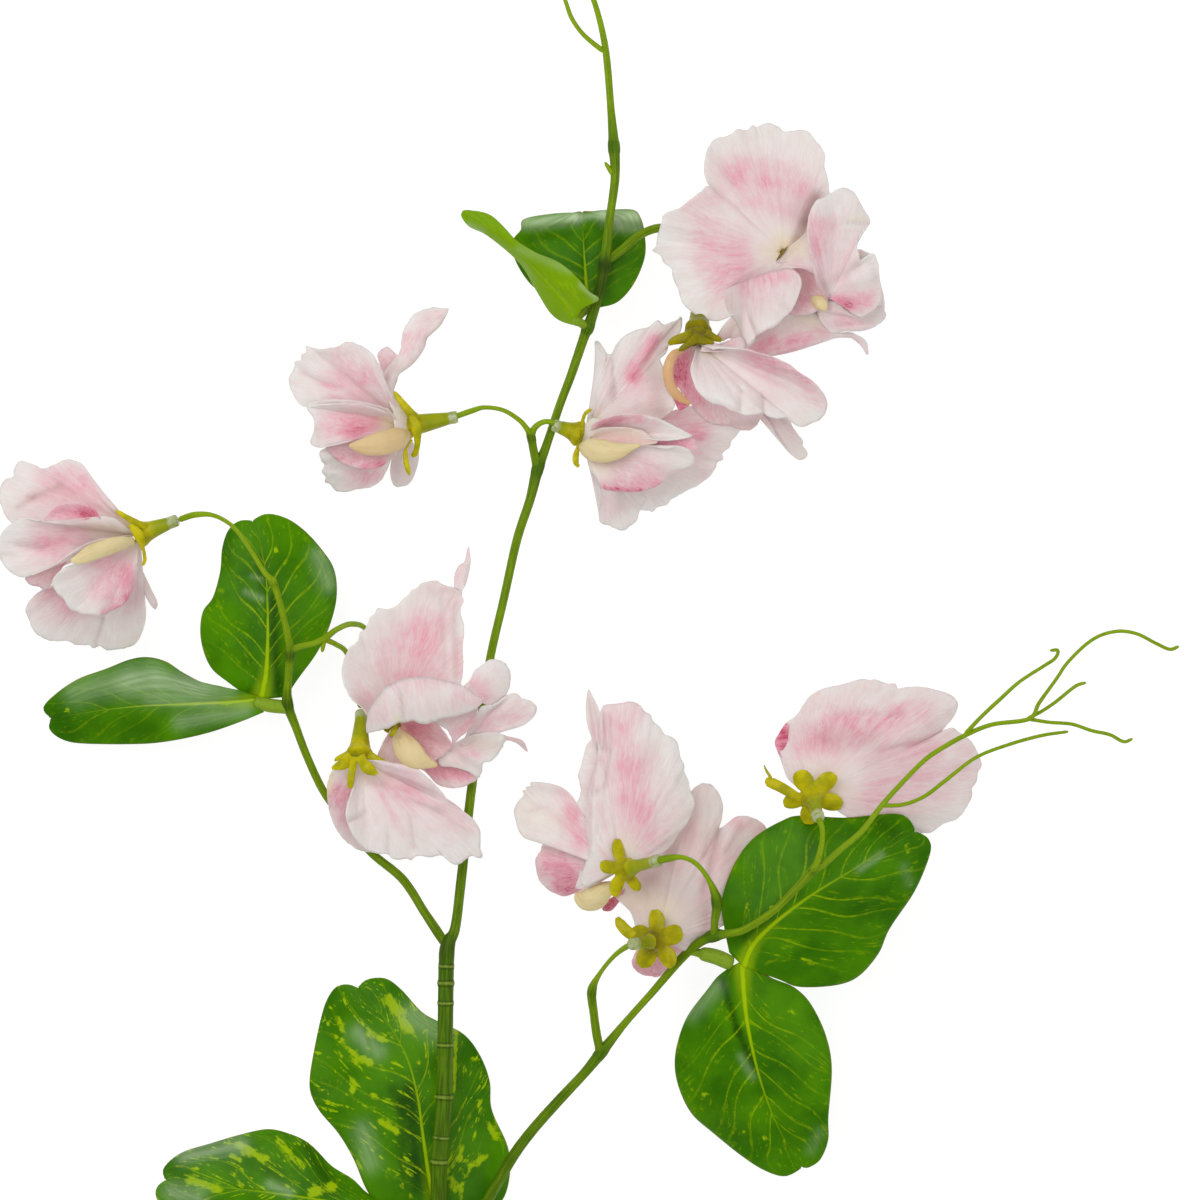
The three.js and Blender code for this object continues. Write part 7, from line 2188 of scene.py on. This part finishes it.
LEAVES = (
    Leaf("leaf_bottom", petiole=wide(438,1236,4.2,1.8, 436,1222,3.6,2), leaflets=(
        Leaflet(rib=path(437,1226,3.6, 428,1180,4.6, 421,1130,5.3, 417,1100,5.5, 408,1065,5, 393,1035,4, 375,1010,3,
            356,990,2), left=path(425,1226,3.4, 395,1216,2.9, 369,1199,2.5, 352,1162,2, 337,1137,1.2, 318,1115,0,
            309,1097,-1, 308,1080,-1.5, 312,1055,-1.2, 319,1022,-0.6, 325,1003,0.2, 334,990,0.9, 345,987,1.5,
            356,990,2), right=path(450,1226,3.6, 475,1220,3.2, 500,1206,2.6, 509,1180,2, 507,1150,2, 491,1113,2,
            489,1085,2, 480,1060,2, 463,1037,2, 437,1024,2.5, 420,1014,2.4, 400,992,2, 384,981,1.7, 366,982,1.6,
            356,990,2), fleck=1, veins=7, lime=dabs(388,1003,408,1032,8,1, 352,1058,368,1066,7,1,
            350,1083,352,1096,4,0.9, 372,1098,374,1100,4,0.9, 380,1124,396,1134,5,0.9, 336,1020,340,1030,4,0.9,
            368,1036,384,1044,5,0.8, 478,1104,479,1114,4,1, 488,1130,496,1140,4,0.9, 462,1148,458,1162,4,0.9,
            440,1165,452,1190,6,0.8, 455,1030,453,1095,2.4,1, 470,1170,488,1158,4,0.9),
            dark=dabs(409,1092,416,1190,8,1.2, 400,1105,402,1190,5,0.7, 392,1092,400,1110,6,0.6),
            sheen=dabs(356,1036,376,1054,9,0.5, 412,1018,438,1034,13,0.5, 362,1134,370,1166,10,0.45)),
        Leaflet(rib=path(437,1228,3.6, 370,1212,5, 300,1200,4.5, 230,1192,1.8, 162,1184,-0.4), left=path(437,1220,3.6,
            395,1212,3, 367,1198,2.5, 351,1183,2, 329,1169,1.5, 308,1148,0.4, 288,1138,-0.6, 266,1133,-1.4,
            240,1138,-1.8, 209,1147,-1.8, 178,1157,-1.4, 161,1172,-0.8, 162,1184,-0.4), right=path(437,1234,3.6,
            390,1242,3, 340,1252,1.4, 280,1254,-0.6, 220,1246,-1.6, 180,1229,-1.6, 157,1208,-1, 153,1194,-0.6,
            162,1184,-0.4), fleck=1, lime=dabs(236,1149,262,1163,6,1, 276,1146,302,1172,4,0.9,
            188,1184,216,1194,6,0.9, 230,1160,236,1164,4,0.9, 232,1178,240,1190,4,0.8, 310,1196,330,1190,7,0.9),
            dark=dabs(304,1150,326,1184,7,0.9, 262,1170,282,1186,6,0.5), sheen=dabs(182,1160,238,1149,9,0.6,
            170,1196,196,1200,10,0.55, 268,1188,288,1196,5,0.5)),
    )),
    Leaf("leaf_left", petiole=wide(291,709,18,2.2, 284,707,18,3, 268,705,17.6,3.1, 254,701,17.6,2.4), leaflets=(
        Leaflet(rib=path(261,699,17, 266,675,17.8, 268,645,18.5, 268,610,18.2, 266,575,17, 260,545,15, 252,521,13),
            left=path(242,692,15.8, 228,682,15, 212,669,14, 203,650,13.4, 200,630,13, 203,611,13.8, 213,597,14.8,
            220,572,14.4, 222,548,13, 228,530,12, 239,521,12.2, 252,521,13), right=path(286,697,16.2, 297,680,15.6,
            315,655,15, 327,632,15, 336,600,15, 334,570,14.5, 320,548,13.2, 302,529,12, 285,518,12, 266,514,12.5,
            252,521,13), lime=dabs(275,550,276,552,3,0.8, 218,606,220,609,3,0.7), dark=dabs(273,600,277,690,6,1.1,
            250,690,258,694,5,0.6, 262,560,262,590,5,0.5), sheen=dabs(318,556,328,584,9,0.45, 246,592,262,599,3.5,0.4,
            252,576,262,580,2.5,0.3)),
        Leaflet(rib=path(261,697,17.4, 243,700,18, 215,702,18.3, 180,704,17.5, 140,706,14, 95,711,10, 48,719,5),
            left=path(243,692,18.4, 225,687,19.4, 200,681,20, 183,672,19, 165,661,17.2, 146,657,16, 128,660,14,
            105,669,12, 77,679,10, 54,694,7, 41,708,5.5, 48,719,5), right=path(264,712,17, 242,721,16.5, 210,732,15,
            175,740,13, 140,744,11, 83,744,6.5, 60,740,4.6, 47,730,4, 48,719,5), fleck=0.2, veins=7, clear=0.6,
            lime=dabs(66,710,67,711,3,1, 222,704,246,700,3,0.9), dark=dabs(70,728,150,728,14,0.5,
            95,698,150,700,8,0.4), sheen=dabs(75,692,150,674,13,0.45, 130,684,200,688,14,0.45, 160,678,228,692,9,0.4,
            180,722,245,710,8,0.45, 150,700,215,703,7,0.25)),
    )),
    Leaf("leaf_right", petiole=wide(684,949,21.5,1.9, 698,952,21.8,1.9, 703,953,22,3.1, 716,956,22.4,3.5,
            728,961,22.9,3.4, 733,963,23,2.6), leaflets=(
        Leaflet(rib=path(743,966,23, 752,945,24, 770,925,25.3, 800,901,26.5, 822,886,27.5, 847,871,27.4, 877,852,26.5,
            914,831,24), left=path(729,951,22.2, 724,925,21.5, 722,898,21, 735,862,21, 754,837,21.5, 782,820,22.5,
            800,815,23, 845,817,24, 892,813,23.4, 907,818,23.4, 914,831,24), right=path(761,971,22, 780,979,20.8,
            799,986,19, 834,985,17.5, 858,976,17.6, 878,953,18.5, 889,928,19.5, 914,890,20.5, 929,853,21.4,
            927,838,22.4, 914,831,24), fleck=0.3, lime=dabs(746,903,747,904,3,1, 802,958,818,962,3,0.8,
            770,905,772,906,3,0.8, 904,847,906,848,3,0.8, 760,932,746,946,5,0.6), dark=dabs(748,934,792,892,7,1,
            862,812,892,832,9,0.8, 812,820,806,860,7,0.6, 850,905,880,905,14,0.35),
            sheen=dabs(858,868,880,853,3.5,0.4, 903,866,908,882,5,0.18)),
        Leaflet(rib=path(742,960,23, 743,985,22.3, 747,1022,20.3, 755,1060,17.2, 763,1088,14.6, 774,1118,11.5,
            787,1144,8, 803,1170,5), left=path(728,967,22.4, 717,976,21, 706,991,18.8, 690,1012,16.5, 680,1035,14.5,
            675,1062,12, 679,1088,10.2, 692,1115,8.2, 715,1136,6, 742,1158,4.6, 765,1173,3.7, 786,1179,4, 803,1170,5),
            right=path(762,973,22, 778,980,20, 797,989,18, 812,1006,16.5, 826,1036,14, 832,1069,12.5, 829,1118,8.5,
            829,1142,6.3, 822,1161,4.6, 812,1169,4.6, 803,1170,5), fleck=0.4, lime=dabs(790,1010,796,1014,3,0.8,
            765,1139,766,1140,3,0.9, 704,1097,708,1094,3,0.8, 744,1132,745,1133,3,0.7),
            dark=dabs(722,978,738,1030,4,1.2, 738,1030,754,1068,4,1.1, 700,1100,735,1130,14,0.4),
            sheen=dabs(692,1012,716,986,9,0.45, 741,1056,752,1076,4,0.3, 820,1134,812,1152,6,0.18)),
    )),
    Leaf("leaf_top", petiole=wide(586,327,20,1.8, 580,323,21,2, 575,321,21.5,1.8, 588,309,17.5,1.6), leaflets=(
        Leaflet(rib=path(576,323,21, 566,303,23, 545,280,24, 515,250,24, 485,226,22, 463,211,20),
            left=path(576,326,21, 561,321,18, 550,312,18, 537,291,19, 526,271,20, 513,256,21, 487,235,20,
            470,227,19.4, 462,217,19.4, 463,211,20), right=path(576,320,21, 583,309,24, 599,301,26, 589,293,27,
            577,279,27, 561,265,27, 538,255,26, 518,243,25, 506,230,24, 492,217,22, 478,212,21, 463,211,20), fleck=0,
            under=1, veins=6, lime=dabs(562,284,576,294,10,0.5), dark=dabs(538,300,560,318,4,0.7,
            524,268,536,290,2.5,0.5, 568,313,579,321,4,0.8), sheen=dabs(582,286,597,300,3,0.6, 470,226,482,232,4,0.5,
            520,250,570,272,4,0.3)),
        Leaflet(rib=path(588,309,17, 586,280,16, 584,250,14.5, 582,212,15.5), left=path(582,309,17, 560,303,15,
            532,285,13, 515,259,12, 513,240,12, 521,229,12.6, 524,219,13.5, 550,214,15, 582,212,15.5),
            right=path(594,309,17, 617,302,15, 634,283,14, 645,255,13.5, 644,230,14, 640,217,15.2, 633,210,16,
            610,210,15.8, 582,212,15.5), fleck=0.3, veins=7, clear=0.6, folds=dabs(526,224,575,219,5,1.2,
            600,217,638,219,6,1.3), dark=dabs(586,232,584,285,3,0.5, 604,290,612,262,5,0.8, 530,238,570,232,5,0.5),
            sheen=dabs(528,223,575,218,6,1, 575,218,602,214,4,0.8, 606,216,636,216,7,1.2, 618,226,638,228,6,0.7)),
    )),
)

MAIN_KNOTS = (
    Knot(439, 1163, 0.55, 0.2), Knot(441, 1139, 0.4, 0.1), Knot(444, 1098, 0.55, 0.2), Knot(445, 1046, 0.5, 0.16),
    Knot(445, 1004, 0.5, 0.14), Knot(446, 984, 0.6, 0.22), Knot(446, 967, 0.5, 0.1), Knot(538, 468, 1.4, 0.12),
    Knot(614, 148, 1.5, 0.2), Knot(588, 328, 1.2, 0.15), Knot(446, 948, 2.4, 0.1, 0.4),
    Knot(605, 266, 1.6, 0.15, 0.7), Knot(599, 288, 4, 0.05, 0.75), Knot(531, 437, 1.2, 0.12, 0.3),
)

LEFT_KNOTS = (
    Knot(288, 703, 1.4, 0.15, 0.3), Knot(291, 655, 1.3, 0.2, 0.5), Knot(275, 583, 1, 0.2),
)

RIGHT_KNOTS = (
    Knot(601, 1053, 1.4, 0.15), Knot(714, 934, 1.4, 0.2), Knot(716, 899, 1.2, 0.15), Knot(592, 990, 1.2, 0.1),
    Knot(812, 868, 1, 0.15),
)


def main() -> None:
    """Build the spray piece by piece."""
    logging.basicConfig(level=logging.INFO, format="%(name)s %(message)s")
    Studio().build()
    finishes = Finishes()
    tube = TubeTree().build()
    ring = LobeTree().build()
    for stem in (
        Stem("main_stem", MAIN_STEM, MAIN_KNOTS),
        Stem("left_branch", LEFT_BRANCH, LEFT_KNOTS),
        Stem("right_branch", RIGHT_BRANCH, RIGHT_KNOTS),
    ):
        stem.build(tube, finishes.stem)
    for bloom in BLOOMS:
        bloom.build_petals(finishes.petal)
        bloom.build_keel(finishes.keel)
        Calyx(bloom).build(ring, finishes)
    for leaf in LEAVES:
        leaf.build(finishes, tube)


if __name__ == "__main__":
    main()
